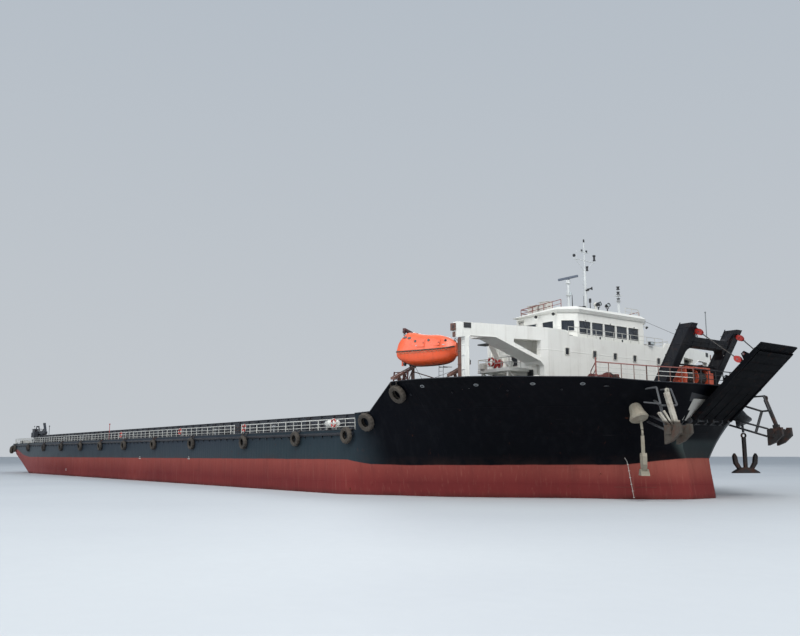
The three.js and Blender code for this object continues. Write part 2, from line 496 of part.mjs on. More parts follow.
// The hinge: a pin through the ramp's knuckles, held by lugs on a plate in the recess.
function rampHinge(hull) {
  const z = RECESS.floorZ, half = 2.85;
  const lug = [[0.22, z], [0.6, z], [0.98, z + 0.22], [0.98, z + 0.5], [0.6, z + 0.6], [0.35, z + 0.5]];
  const pieces = [box(0.22, 0.46, -half, half, z, z + 0.1), bar([PIN.x, -half, PIN.z], [PIN.x, half, PIN.z], PIN.r, 12)];
  for (const y of KNUCKLES_Y)
    for (const k of [-1, 1]) pieces.push(prism("y", lug, y + k * 0.44 - 0.08, y + k * 0.44 + 0.08));
  return clearOf(join(pieces), hull);
}
function rampWinch() {
  const x = -0.75, z = FORE_DECK_Z + GAP;
  return join(
    box(x - 0.95, x + 0.95, -2.1, 2.1, z, z + 0.3),
    box(x - 0.8, x + 0.8, -1.85, -1.6, z + 0.25, z + 2.1),
    box(x - 0.8, x + 0.8, 1.6, 1.85, z + 0.25, z + 2.1),
    bar([x, -1.65, z + 1.25], [x, 1.65, z + 1.25], 0.55, 16),
    bar([x, 0.06, z + 1.25], [x, -0.06, z + 1.25], 0.85, 18),
    box(x - 0.55, x + 0.65, 1.8, 2.55, z + 0.2, z + 1.7),
    box(x - 0.8, x + 0.8, -1.7, 1.7, z + 1.95, z + 2.1),
  );
}
function windlass() {
  // starboard one: gypsy wheel and warping drum on a bed
  const x = -3.4, y = -8.2, z = FORE_DECK_Z + GAP;
  return join(
    box(x - 0.8, x + 0.8, y - 1.7, y + 1.7, z, z + 0.22),
    box(x - 0.55, x + 0.55, y - 0.15, y + 0.15, z + 0.2, z + 1.25),
    box(x - 0.55, x + 0.55, y + 0.95, y + 1.35, z + 0.2, z + 1.3),
    bar([x, y - 1.6, z + 0.85], [x, y + 1.2, z + 0.85], 0.15, 10),
    bar([x, y - 1.6, z + 0.85], [x, y - 0.95, z + 0.85], 0.4, 12),
    bar([x, y - 0.75, z + 0.85], [x, y - 0.3, z + 0.85], 0.3, 12),
    bar([x, y + 0.3, z + 0.85], [x, y + 0.8, z + 0.85], 0.58, 14),
  );
}
// Hanging stockless anchor: shank, crown and two upturned flukes; `a` is the shackle.
const HANGING = { x: -0.46, y: -7.34, ringZ: 5.6, crownZ: 2.0 };
function hawsePipe() {
  const h = HANGING;
  // a bell mouth under the flare, its chain stub down to the shackle
  return join(
    turned([[0, 0], [0.7, 0], [0.77, 0.13], [0.6, 0.55], [0.42, 1.5], [0, 1.5]], [h.x + 0.02, h.y - 0.3, h.ringZ + 0.8], [-0.5, 0.15, 1], 14),
    bar([h.x, h.y, h.ringZ + GAP * 2], [h.x - 0.1, h.y - 0.05, h.ringZ + 1.0], 0.11, 8),
  );
}
// Each hangs turned on its swivel by its own angle about its shank.
const SWIVEL = { starboard: 42, port: 30 };
function hangingAnchor(turn) {
  const { x, y, ringZ, crownZ } = HANGING;
  const s = [
    ring(0.14, 0.26, 0.07, [x, y, ringZ - 0.28], [1, 0, 0], 12),
    beam([x, y, ringZ - 0.48], [x, y, crownZ + 0.2], 0.3, 0.26),
    prism("x", [[y - 1.25, crownZ], [y + 1.25, crownZ], [y + 1.1, crownZ + 0.14], [y + 0.45, crownZ + 0.5], [y - 0.45, crownZ + 0.5], [y - 1.1, crownZ + 0.14]], x - 0.32, x + 0.32),
  ];
  const fluke = [[0.3, 0.2], [0.62, 0.22], [1.08, 0.85], [1.15, 1.5], [1.0, 1.75], [0.82, 1.45], [0.75, 0.95]];
  for (const k of [-1, 1])
    s.push(prism("x", fluke.map(([u, v]) => [y + k * u, crownZ + v]), x - 0.17, x + 0.17));
  const g = geometryOf(join(s));
  g.translate(-x, -y, 0).rotateZ(turn * DEG).translate(x, y, 0);
  return solid(g);
}
// The plate anchor stowed on the starboard bow, and the rack of bars it lies in.
const PLATE_ANCHOR = { top: [1.9, -7.25, 8.4], foot: [2.62, -7.4, 6.2], crownZ: 5.6, flukesY: [-6.65, -8.15] };
function anchorRack() {
  const bars = [
    [[1.5, -7.95, 8.81], [1.9, -8.1, 7.5], 0.08], // guides each side of the shank
    [[1.98, -6.8, 8.7], [2.45, -6.75, 7.41], 0.08],
    [[0.9, -6.8, 8.7], [1.98, -6.8, 8.7], 0.07],
    [[0.4, -7.9, 8.76], [1.5, -7.95, 8.81], 0.07],
    [[1.9, -8.1, 7.5], [1.4, -7.4, 7.42], 0.08], // behind the shank
    [[1.4, -7.4, 7.42], [2.45, -6.75, 7.41], 0.08],
    [[0.15, -6.55, 7.95], [1.4, -7.4, 7.42], 0.1], // stand-off from the flare
    [[1.25, -9.3, 7.6], [1.9, -8.1, 7.5], 0.06],
    [[1.4, -7.4, 7.42], [1.2, -6.55, 5.58], 0.12],
    [[-1.2, -5.8, 6.35], [2.1, -6.75, 5.2], 0.1], // braces under the crown
    [[-0.8, -5.95, 6.8], [2.1, -7.0, 5.85], 0.09],
  ];
  return join(bars.map(([a, b, r]) => bar(a, b, r, 6)));
}
function plateAnchor(prongs) {
  const a = PLATE_ANCHOR, z = a.crownZ;
  const pieces = [
    beam(a.top, a.foot, 0.42, 0.25),
    beam(a.foot, [2.72, -7.42, z - 0.35], 0.6, 0.45),
    beam([2.62, -6.4, z - 0.1], [2.62, -8.4, z - 0.1], 0.55, 0.7),
    ring(0.1, 0.22, 0.07, [a.top[0] + 0.06, a.top[1], a.top[2] + 0.14], [1, 0, 0], 10),
  ];
  const fluke = [[2.25, 4.4], [2.9, 4.65], [3.6, 5.25], [3.55, 5.95], [3.2, 5.95], [2.98, 5.4], [2.72, 5.35], [2.6, 5.9], [2.25, 5.75]];
  for (const y of a.flukesY) pieces.push(prism("y", fluke, y - 0.17, y + 0.17));
  if (prongs) {
    pieces.push(beam([2.6, -7.75, 5.4], [2.12, -8.65, 6.8], 0.4, 0.16));
    pieces.push(beam([2.75, -7.7, 5.6], [2.25, -8.25, 6.95], 0.3, 0.14));
  }
  return join(pieces);
}

// ---------------------------------------------------------------- lifeboat and davit
// Built in the boat's own frame, for starboard: x along the boat towards its bow, y inboard,
// z up, from the boat's centre; then turned to lie along the deck's edge.
function placeStarboard(man) {
  const g = geometryOf(man);
  g.rotateZ(BOAT.yaw * DEG).translate(BOAT.x, -BOAT.y, BOAT.z);
  return solid(g);
}
function lifeboat() {
  // columns: x, half-beam, keel z, chine z, gunwale z, canopy half-width, canopy z
  const T = [
    [-2.9, 0.55, -0.35, -0.15, 0.1, 0.4, 0.7],
    [-2.6, 0.95, -0.85, -0.5, 0.08, 0.78, 1.62],
    [-1.25, 1.08, -1.15, -0.75, 0.05, 0.85, 1.75],
    [-0.85, 1.1, -1.18, -0.8, 0.05, 0.92, 1.48],
    [1.2, 1.05, -1.15, -0.72, 0.08, 0.85, 1.36],
    [2.2, 0.8, -1.0, -0.5, 0.15, 0.6, 1.1],
    [2.85, 0.22, -0.45, -0.1, 0.3, 0.15, 0.6],
  ];
  const rings = T.map(([x, b, k, c, g, cw, cz]) => [
    [x, 0, k], [x, b * 0.55, k + 0.08], [x, b * 0.93, c], [x, b, g], [x, b * 0.98, g + 0.12], [x, cw, g + (cz - g) * 0.65], [x, cw * 0.55, cz], [x, 0, cz + 0.03],
    [x, -cw * 0.55, cz], [x, -cw, g + (cz - g) * 0.65], [x, -b * 0.98, g + 0.12], [x, -b, g], [x, -b * 0.93, c], [x, -b * 0.55, k + 0.08],
  ]);
  return loft(rings);
}
// Each track slopes down outboard, from trackY0 to trackY1; the arms' rollers run on it.
const TRACK = { y0: 1.75, z0: -0.95, y1: -2.05, slope: 20, t: 0.16, w: 0.3 };
const trackZ = (y) => TRACK.z0 - (TRACK.y0 - y) * Math.tan(TRACK.slope * DEG);
const ARMS_X = [-2.35, 3.1];
function davitArms() {
  const s = [], up = TRACK.t / 2 + GAP * 2;
  const foot = (y) => trackZ(y) + up / Math.cos(TRACK.slope * DEG);
  // the aft arm passes inboard of the boat and over it; the forward one stands before its bow
  const aft = ARMS_X[0], fore = ARMS_X[1], dz = Math.tan(TRACK.slope * DEG);
  s.push(prism("x", [[1.25, foot(1.25)], [1.7, foot(1.7)], [1.7, foot(1.7) + 0.2], [1.62, 1.65], [1.3, 2.1], [-0.12, 2.3], [-0.12, 2.1], [1.05, 1.87], [1.3, 1.5], [1.3, foot(1.25) + 0.2]], aft - 0.13, aft + 0.13));
  s.push(prism("x", [[0.95, foot(0.95)], [1.7, foot(1.7)], [1.7, foot(1.7) + 0.25], [1.05, 0.4], [0.35, 1.1], [-0.05, 1.1], [-0.05, 0.95], [0.3, 0.9], [0.75, 0.3], [0.95, foot(0.95) + 0.25]], fore - 0.13, fore + 0.13));
  s.push(bar([aft, 1.5, -0.25], [fore, 1.5, -0.25], 0.09, 8));
  return join(s);
}
function davitBase() {
  const s = [], t = TRACK, z0 = FORE_DECK_Z + GAP - BOAT.z;
  const a = t.slope * DEG, h = t.t / 2 / Math.cos(a);
  for (const x of ARMS_X) {
    s.push(prism("x", [[t.y1, trackZ(t.y1) - h], [t.y0, trackZ(t.y0) - h], [t.y0, trackZ(t.y0) + h], [t.y1, trackZ(t.y1) + h]], x - t.w / 2, x + t.w / 2));
    for (const [y, yf] of [[1.5, 1.55], [-0.1, -0.1], [-1.05, -0.3]])
      s.push(beam([x, yf, z0], [x, y, trackZ(y)], 0.2, 0.2));
    s.push(box(x - 0.3, x + 0.3, -0.75, 1.9, z0, z0 + 0.1));
  }
  s.push(bar([ARMS_X[0], 1.5, -2.4], [ARMS_X[1], 1.5, -2.4], 0.09, 8));
  return join(s);
}

// ---------------------------------------------------------------- stern gear
function skeg() {
  // from the flat bottom back to the boss, under the raked stern
  const p = PROP;
  const side = [[-124, -2.9], [-140.6, -2.75], [-141.9, -2.25], [-141.9, -1.2], [-139.5, 0.0], [-131, -2.6]];
  let s = prism("y", side, -p.y - 0.35, -p.y + 0.35);
  s = join(s, bar([-139, -p.y, p.z], [p.x + 0.7, -p.y, p.z], 0.42, 12));
  return s;
}
function propeller() {
  const p = PROP, s = [turned([[0, -0.55], [0.2, -0.5], [0.33, -0.1], [0.33, 0.4], [0, 0.4]], [p.x, -p.y, p.z], [1, 0, 0], 14)];
  for (let i = 0; i < p.blades; i++) {
    const outline = new THREE.Shape([[-0.16, 0.2], [0.16, 0.2], [0.38, 0.62], [0.4, 0.86], [0.22, p.r], [-0.22, p.r], [-0.4, 0.86], [-0.38, 0.62]].map((q) => new THREE.Vector2(...q)));
    const g = new THREE.ExtrudeGeometry(outline, { depth: 0.09, bevelEnabled: false });
    // the outline's x runs across the shaft's plane, its y out along the blade
    g.applyMatrix4(new THREE.Matrix4().makeBasis(new THREE.Vector3(0, 1, 0), new THREE.Vector3(0, 0, 1), new THREE.Vector3(1, 0, 0)));
    g.translate(-0.045, 0, 0);
    g.applyMatrix4(new THREE.Matrix4().makeRotationZ(0.55));
    g.applyMatrix4(new THREE.Matrix4().makeTranslation(p.x, -p.y, p.z).multiply(new THREE.Matrix4().makeRotationX((i * 2 * Math.PI) / p.blades)));
    s.push(solid(g));
  }
  return join(s);
}
function rudder() {
  const r = RUDDER, y = -PROP.y, c = r.chord;
  const plan = [[r.x + c * 0.3, y], [r.x + c * 0.18, y - r.t / 2], [r.x - c * 0.1, y - r.t / 2], [r.x - c * 0.7, y - 0.03], [r.x - c * 0.7, y + 0.03], [r.x - c * 0.1, y + r.t / 2], [r.x + c * 0.18, y + r.t / 2]];
  return join(prism("z", plan, r.h0, r.h1), bar([r.x, y, r.h1 - 0.1], [r.x, y, 1.55], 0.16, 10));
}
const CRANE_TOP = CARGO_DECK_Z + GAP + CRANE.deckToTurn;
function cranePedestal() {
  const c = CRANE;
  return join(bar([c.x, c.y, CARGO_DECK_Z + GAP], [c.x, c.y, CRANE_TOP], 0.7, 16, 0.6),
    bar([c.x, c.y, CARGO_DECK_Z + GAP], [c.x, c.y, CARGO_DECK_Z + 0.15], 0.95, 16));
}
const BOOM = { footX: CRANE.x + 0.95, footZ: CRANE_TOP + 1.15 };
function craneHouse() {
  const c = CRANE, z = CRANE_TOP + GAP;
  return join(
    bar([c.x, c.y, z], [c.x, c.y, z + 0.25], 0.85, 16),
    box(c.x - 1.7, c.x + 0.5, c.y - 0.95, c.y + 0.95, z + 0.22, z + 1.25),
    box(c.x - 1.5, c.x + 0.2, c.y - 0.8, c.y - 0.1, z + 1.2, z + 1.95),
    box(BOOM.footX - 0.4, BOOM.footX + 0.3, c.y - 0.5, c.y - 0.34, z + 0.2, BOOM.footZ + 0.3),
    box(BOOM.footX - 0.4, BOOM.footX + 0.3, c.y + 0.34, c.y + 0.5, z + 0.2, BOOM.footZ + 0.3),
    box(c.x - 0.2, BOOM.footX + 0.3, c.y - 0.5, c.y + 0.5, z + 0.22, z + 0.5),
  );
}
function craneBoom() {
  const c = CRANE, b = BOOM, L = c.boomLength;
  return join(
    bar([b.footX, c.y - 0.3, b.footZ], [b.footX, c.y + 0.3, b.footZ], 0.26, 12),
    prism("y", [[b.footX, b.footZ - 0.2], [b.footX + 2.5, b.footZ - 0.28], [b.footX + L, b.footZ - 0.12], [b.footX + L, b.footZ + 0.14], [b.footX + 2.5, b.footZ + 0.3], [b.footX, b.footZ + 0.2]], c.y - 0.24, c.y + 0.24),
    bar([b.footX + L - 0.1, c.y - 0.16, b.footZ - 0.05], [b.footX + L - 0.1, c.y + 0.16, b.footZ - 0.05], 0.3, 12),
    // the jib, folded up over the boom's head
    beam([b.footX + L - 0.25, c.y, b.footZ], [b.footX + L - 0.25 - c.jibLength * Math.sin(c.jibLean), c.y, b.footZ + c.jibLength * Math.cos(c.jibLean)], 0.34, 0.42),
  );
}
function boomRest() {
  const c = CRANE, x = BOOM.footX + c.boomLength - 1.6, top = BOOM.footZ - 0.2 - 0.1;
  return join(
    box(x - 0.4, x + 0.4, c.y - 0.55, c.y + 0.55, CARGO_DECK_Z + GAP, CARGO_DECK_Z + 0.12),
    beam([x, c.y, CARGO_DECK_Z + 0.1], [x, c.y, top - 0.1], 0.3, 0.3),
    box(x - 0.25, x + 0.25, c.y - 0.5, c.y + 0.5, top - 0.16, top),
  );
}

// ---------------------------------------------------------------- assembly
const ship = new THREE.Group();
const MAT = {
  hull: paint(COLOURS.hullBlack), white: paint(COLOURS.white), grey: paint(COLOURS.deckGrey, 0.8),
  orange: paint(COLOURS.orange, 0.5), davit: paint(COLOURS.davit), tyre: paint(COLOURS.tyre, 0.9, 0),
  dark: paint(COLOURS.steelDark), rail: paint(COLOURS.rail), winch: paint(COLOURS.winchRed),
  bronze: paint(COLOURS.bronze, 0.35, 0.8), anchor: paint(COLOURS.anchor, 0.8, 0.3), mast: paint(COLOURS.mast),
};
function add(name, man, material) {
  const mesh = new THREE.Mesh(geometryOf(man), material);
  mesh.name = name;
  ship.add(mesh);
  return mesh;
}
function addPair(stem, man, material) {
  add(stem + "_starboard", man, material);
  add(stem + "_port", man, material).scale.y = -1;
}
const flipY = (man) => {
  const g = geometryOf(man).toNonIndexed();
  g.scale(1, -1, 1);
  const p = g.attributes.position.array;
  for (let i = 0; i < p.length; i += 9)
    for (let k = 0; k < 3; k++) [p[i + 3 + k], p[i + 6 + k]] = [p[i + 6 + k], p[i + 3 + k]];
  return solid(g);
};

const HULL_SOLID = hullSolid();
const BULWARK_SOLID = bulwarkSolid();
// a pair whose pieces are trimmed where they meet the hull and its bulwark
const clearOfShell = (man) => clearOf(clearOf(man, HULL_SOLID), BULWARK_SOLID);
function addClearPair(stem, man, material) {
  add(stem + "_starboard", clearOfShell(man), material);
  add(stem + "_port", clearOfShell(flipY(man)), material);
}
add("hull", HULL_SOLID, MAT.hull);
add("bulwark", BULWARK_SOLID, MAT.hull);
add("cargo_wall_starboard", cargoWallSide(-1), MAT.dark);
add("cargo_wall_port", cargoWallSide(1), MAT.dark);
add("cargo_wall_aft", cargoWallAft(), MAT.dark);
addPair("sheer_rail", flipY(sheerRail()), MAT.tyre);
addPair("guard_rail", flipY(guardRail()), MAT.rail);
add("bow_rail", bowRail(), MAT.rail);
add("deckhouse", deckhouse(), MAT.white);
addClearPair("wing_arch", flipY(wingArch()), MAT.white);
add("wheelhouse", wheelhouse(), MAT.white);
add("wheelhouse_roof", wheelhouseRoof(), MAT.white);
addPair("deckhouse_door", door(HOUSE_DOOR, HOUSE.halfY, -1), MAT.white);
addPair("wheelhouse_door", door(WHEEL_DOOR, WHEEL.sideY, -1), MAT.white);
add("main_mast", mainMast(), MAT.mast);
add("radar_mast", radarMast(), MAT.mast);
add("radar_scanner", radarScanner(), MAT.mast);
add("signal_mast", signalMast(), MAT.mast);
add("bow_gantry", bowGantry(), MAT.dark);
add("bow_ramp", bowRamp(), MAT.dark);
add("ramp_winch", rampWinch(), MAT.winch);
addPair("windlass", windlass(), MAT.davit);
addClearPair("hawse_pipe", hawsePipe(), MAT.anchor);
add("ramp_hinge", rampHinge(HULL_SOLID), MAT.dark);
add("hanging_anchor_starboard", hangingAnchor(SWIVEL.starboard), MAT.anchor);
add("hanging_anchor_port", hangingAnchor(SWIVEL.port), MAT.anchor).scale.y = -1;
addClearPair("anchor_rack", anchorRack(), MAT.anchor);
add("plate_anchor_starboard", plateAnchor(true), MAT.anchor);
add("plate_anchor_port", plateAnchor(false), MAT.anchor).scale.y = -1;
addPair("lifeboat", placeStarboard(lifeboat()), MAT.orange);
addPair("davit_arms", placeStarboard(davitArms()), MAT.davit);
addClearPair("davit_base", placeStarboard(davitBase()), MAT.davit);
addClearPair("skeg", skeg(), MAT.hull);
addPair("propeller", propeller(), MAT.bronze);
addPair("rudder", rudder(), MAT.hull);
add("crane_pedestal", cranePedestal(), MAT.dark);
add("crane_house", craneHouse(), MAT.dark);
add("crane_boom", craneBoom(), MAT.dark);
add("boom_rest", boomRest(), MAT.dark);

// the ship's frame to the model's
ship.scale.setScalar(MM_PER_REAL_METRE);
ship.position.set(-X_MIDDLE * MM_PER_REAL_METRE, 0, DRAFT * MM_PER_REAL_METRE);
const model = new THREE.Group();
model.add(ship);
export default model;
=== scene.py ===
import bisect
import json
import math
import random

import bmesh
import bpy
from mathutils import Matrix, Vector

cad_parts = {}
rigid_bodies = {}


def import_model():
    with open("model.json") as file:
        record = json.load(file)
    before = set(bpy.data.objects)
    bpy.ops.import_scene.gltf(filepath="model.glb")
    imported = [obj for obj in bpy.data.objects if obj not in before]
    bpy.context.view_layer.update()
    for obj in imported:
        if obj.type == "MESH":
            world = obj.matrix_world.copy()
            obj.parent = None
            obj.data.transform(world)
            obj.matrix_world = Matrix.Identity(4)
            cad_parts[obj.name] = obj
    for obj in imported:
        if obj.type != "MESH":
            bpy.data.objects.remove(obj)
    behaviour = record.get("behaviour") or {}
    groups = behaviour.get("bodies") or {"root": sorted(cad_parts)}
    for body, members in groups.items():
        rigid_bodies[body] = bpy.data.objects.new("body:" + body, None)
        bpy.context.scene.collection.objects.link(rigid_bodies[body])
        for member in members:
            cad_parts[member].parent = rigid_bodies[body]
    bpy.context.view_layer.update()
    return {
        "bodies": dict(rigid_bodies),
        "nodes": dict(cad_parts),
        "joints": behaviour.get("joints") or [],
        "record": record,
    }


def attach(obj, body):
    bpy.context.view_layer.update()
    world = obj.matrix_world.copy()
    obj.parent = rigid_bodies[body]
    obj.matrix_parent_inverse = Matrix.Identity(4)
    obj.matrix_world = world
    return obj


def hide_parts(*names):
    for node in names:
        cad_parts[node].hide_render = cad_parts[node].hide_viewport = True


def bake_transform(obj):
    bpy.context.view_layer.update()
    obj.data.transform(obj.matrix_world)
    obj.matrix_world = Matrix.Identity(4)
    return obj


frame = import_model()
scene = bpy.context.scene

X_MID, SCALE, DRAFT = -73.07, 10.0, 3.0


def row(p):
    return ((p[0] - X_MID) / SCALE, p[1] / SCALE, (p[2] + DRAFT) / SCALE)


# ---------------------------------------------------------------- camera, light, floor
def camera():
    cam = bpy.data.cameras.new("photo_camera")
    cam.lens, cam.sensor_width, cam.sensor_fit = 37.35, 36.0, "HORIZONTAL"
    cam.clip_start, cam.clip_end = 0.05, 400.0
    obj = bpy.data.objects.new("photo_camera", cam)
    scene.collection.objects.link(obj)
    pitch = math.radians(9.37)
    h = Vector((-0.795, 0.606, 0)).normalized()
    aim = Vector((h.x * math.cos(pitch), h.y * math.cos(pitch), math.sin(pitch)))
    obj.location = (11.387, -6.30, 0.66)
    obj.rotation_euler = aim.to_track_quat("-Z", "Y").to_euler()
    scene.camera = obj


camera()


# ---------------------------------------------------------------- a small mesh builder
class Mesh:
    """Vertices in ship metres, faces, and one material number a face."""

    def __init__(self):
        self.v, self.f, self.m = [], [], []

    def add(self, verts, faces, mat=0):
        o = len(self.v)
        self.v.extend(tuple(p) for p in verts)
        for fc in faces:
            self.f.append([i + o for i in fc])
            self.m.append(mat)
        return self

    def merge(self, other, tf=None, mat=None):
        o = len(self.v)
        self.v.extend(tuple(tf(p)) if tf else p for p in other.v)
        for fc, mt in zip(other.f, other.m):
            self.f.append([i + o for i in fc])
            self.m.append(mt if mat is None else mat)
        return self

    # an oriented box with chamfered edges
    def obox(self, c, ex, ey, ez, h, ch=0.0, mat=0):
        c, ex, ey, ez = Vector(c), Vector(ex), Vector(ey), Vector(ez)
        if ch <= 0:
            vs = [c + ex * (h[0] * a) + ey * (h[1] * b) + ez * (h[2] * d) for a in (-1, 1) for b in (-1, 1) for d in (-1, 1)]
            return self.add(vs, [(0, 1, 3, 2), (4, 6, 7, 5), (0, 4, 5, 1), (2, 3, 7, 6), (0, 2, 6, 4), (1, 5, 7, 3)], mat)
        ch = min(ch, 0.45 * min(h))
        vs, idx = [], {}
        for a in (-1, 1):
            for b in (-1, 1):
                for d in (-1, 1):
                    for k in range(3):
                        s = [h[0] - ch, h[1] - ch, h[2] - ch]
                        s[k] = h[k]
                        idx[a, b, d, k] = len(vs)
                        vs.append(c + ex * (a * s[0]) + ey * (b * s[1]) + ez * (d * s[2]))
        fs = []
        for a in (-1, 1):
            fs.append([idx[a, -1, -1, 0], idx[a, 1, -1, 0], idx[a, 1, 1, 0], idx[a, -1, 1, 0]])
            fs.append([idx[-1, a, -1, 1], idx[1, a, -1, 1], idx[1, a, 1, 1], idx[-1, a, 1, 1]])
            fs.append([idx[-1, -1, a, 2], idx[1, -1, a, 2], idx[1, 1, a, 2], idx[-1, 1, a, 2]])
            for b in (-1, 1):
                fs.append([idx[a, b, -1, 0], idx[a, b, -1, 1], idx[a, b, 1, 1], idx[a, b, 1, 0]])
                fs.append([idx[a, -1, b, 0], idx[a, -1, b, 2], idx[a, 1, b, 2], idx[a, 1, b, 0]])
                fs.append([idx[-1, a, b, 1], idx[-1, a, b, 2], idx[1, a, b, 2], idx[1, a, b, 1]])
                for d in (-1, 1):
                    fs.append([idx[a, b, d, 0], idx[a, b, d, 1], idx[a, b, d, 2]])
        return self.add(vs, fs, mat)

    def box(self, x0, x1, y0, y1, z0, z1, ch=0.02, mat=0):
        return self.obox(((x0 + x1) / 2, (y0 + y1) / 2, (z0 + z1) / 2), (1, 0, 0), (0, 1, 0), (0, 0, 1),
                         (abs(x1 - x0) / 2, abs(y1 - y0) / 2, abs(z1 - z0) / 2), ch, mat)

    # a beam between two points: w across, d in the plane of `up`
    def beam(self, a, b, w, d, ch=0.01, mat=0, up=(0, 0, 1)):
        a, b = Vector(a), Vector(b)
        ex = (b - a)
        if ex.length < 1e-6:
            return self
        L = ex.length
        ex.normalize()
        side = Vector(up).cross(ex)
        if side.length < 1e-5:
            side = Vector((0, 1, 0)).cross(ex)
        side.normalize()
        return self.obox((a + b) / 2, ex, side, ex.cross(side), (L / 2, w / 2, d / 2), ch, mat)

    # a round tube through points
    def tube(self, pts, r, n=8, closed=False, mat=0, cap=True):
        pts = [Vector(p) for p in pts]
        clean = [pts[0]]
        for p in pts[1:]:
            if (p - clean[-1]).length > 1e-5:
                clean.append(p)
        pts = clean
        m = len(pts)
        if m < 2:
            return self
        rs = r if isinstance(r, (list, tuple)) else [r] * m
        tang = []
        for i in range(m):
            if closed:
                t = pts[(i + 1) % m] - pts[i - 1]
            else:
                t = pts[min(i + 1, m - 1)] - pts[max(i - 1, 0)]
            tang.append(t.normalized())
        ref = Vector((0, 0, 1)) if abs(tang[0].z) < 0.9 else Vector((1, 0, 0))
        nrm = (ref - tang[0] * ref.dot(tang[0])).normalized()
        vs, rings = [], []
        for i in range(m):
            if i:
                nrm = nrm - tang[i] * nrm.dot(tang[i])
                nrm = nrm.normalized() if nrm.length > 1e-6 else tang[i].orthogonal().normalized()
            bi = tang[i].cross(nrm)
            # the section is widened where the line bends, so that the tube keeps its thickness
            k = 1.0
            if 0 < i < m - 1 or closed:
                a = (pts[i] - pts[i - 1]).normalized().dot(tang[i])
                k = 1 / max(a, 0.6)
            ring = []
            for j in range(n):
                ang = 2 * math.pi * j / n
                ring.append(len(vs))
                vs.append(pts[i] + (nrm * math.cos(ang) + bi * math.sin(ang)) * rs[i] * (k if k < 1.3 else 1.3))
            rings.append(ring)
        fs = []
        for i in range(m if closed else m - 1):
            a, b = rings[i], rings[(i + 1) % m]
            for j in range(n):
                fs.append([a[j], a[(j + 1) % n], b[(j + 1) % n], b[j]])
        if cap and not closed:
            fs.append(list(reversed(rings[0])))
            fs.append(list(rings[-1]))
        return self.add(vs, fs, mat)

    # a profile of (radius, along) pairs turned about the line from `at` in direction `d`
    def lathe(self, prof, at, d, n=16, mat=0, arc=None):
        at, d = Vector(at), Vector(d).normalized()
        u = d.orthogonal().normalized()
        if abs(d.z) < 0.9:
            u = (Vector((0, 0, 1)) - d * d.z).normalized()
        w = d.cross(u)
        vs, rings = [], []
        for r, h in prof:
            if r < 1e-6:
                rings.append([len(vs)])
                vs.append(at + d * h)
            else:
                ring = []
                for j in range(n):
                    a = 2 * math.pi * j / n
                    ring.append(len(vs))
                    vs.append(at + d * h + (u * math.cos(a) + w * math.sin(a)) * r)
                rings.append(ring)
        fs = []
        for A, B in zip(rings, rings[1:]):
            if len(A) == 1 and len(B) == 1:
                continue
            for j in range(n):
                k = (j + 1) % n
                if len(A) == 1:
                    fs.append([A[0], B[j], B[k]])
                elif len(B) == 1:
                    fs.append([A[j], B[0], A[k]])
                else:
                    fs.append([A[j], B[j], B[k], A[k]])
        if len(rings[0]) > 1 and prof[0] != prof[-1]:
            fs.append(list(rings[0]))
        if len(rings[-1]) > 1 and prof[0] != prof[-1]:
            fs.append(list(rings[-1]))
        if prof[0] == prof[-1] and len(rings[0]) > 1:
            # a closed profile: the last ring is the first one
            first, last = rings[0], rings[-1]
            swap = dict(zip(last, first))
            fs = [[swap.get(i, i) for i in fc] for fc in fs]
        return self.add(vs, fs, mat)

    # a flat outline (3-D points) made solid by moving it along `off`
    def slab(self, pts, off, mat=0, ch=0.0):
        pts = [Vector(p) for p in pts]
        off = Vector(off)
        n = len(pts)
        if ch > 0:
            mid = sum(pts, Vector()) / n
            ins = []
            for i in range(n):
                a, b, c = pts[i - 1], pts[i], pts[(i + 1) % n]
                e1, e2 = (b - a).normalized(), (c - b).normalized()
                nn = off.normalized()
                n1, n2 = nn.cross(e1), nn.cross(e2)
                if n1.dot(mid - b) < 0 and n2.dot(mid - b) < 0:
                    n1, n2 = -n1, -n2
                bis = (n1 + n2)
                bis = bis.normalized() if bis.length > 1e-4 else n1
                cosv = max(0.35, bis.dot(n1))
                ins.append(b + bis * (ch / cosv))
            o = off.normalized() * ch
            L = [ins, [p + o for p in pts], [p + off - o for p in pts], [p + off for p in ins]]
        else:
            L = [pts, [p + off for p in pts]]
        vs = [p for ring in L for p in ring]
        fs = [list(range(n)), [len(vs) - n + i for i in range(n)]]
        for k in range(len(L) - 1):
            for i in range(n):
                j = (i + 1) % n
                fs.append([k * n + i, k * n + j, (k + 1) * n + j, (k + 1) * n + i])
        return self.add(vs, fs, mat)

    # a skin through rings of equal length
    def loft(self, rings, mat=0, closed_ring=True, caps=True):
        m = len(rings[0])
        vs = [p for r in rings for p in r]
        fs = []
        for i in range(len(rings) - 1):
            for j in range(m if closed_ring else m - 1):
                k = (j + 1) % m
                fs.append([i * m + j, i * m + k, (i + 1) * m + k, (i + 1) * m + j])
        if caps and closed_ring:
            fs.append(list(range(m)))
            fs.append([(len(rings) - 1) * m + j for j in range(m)])
        return self.add(vs, fs, mat)

    def mirrored(self):
        out = Mesh()
        out.v = [(x, -y, z) for x, y, z in self.v]
        out.f = [list(reversed(f)) for f in self.f]
        out.m = list(self.m)
        return out

    def both(self):
        """This mesh and its mirror image to the other side."""
        return Mesh().merge(self).merge(self.mirrored())


def weighted(me, sharp):
    bm = bmesh.new()
    bm.from_mesh(me)
    bmesh.ops.recalc_face_normals(bm, faces=bm.faces)
    lim = math.radians(sharp)
    for e in bm.edges:
        e.smooth = len(e.link_faces) == 2 and e.calc_face_angle(0) < lim
    for f in bm.faces:
        f.smooth = True
    bm.to_mesh(me)
    bm.free()


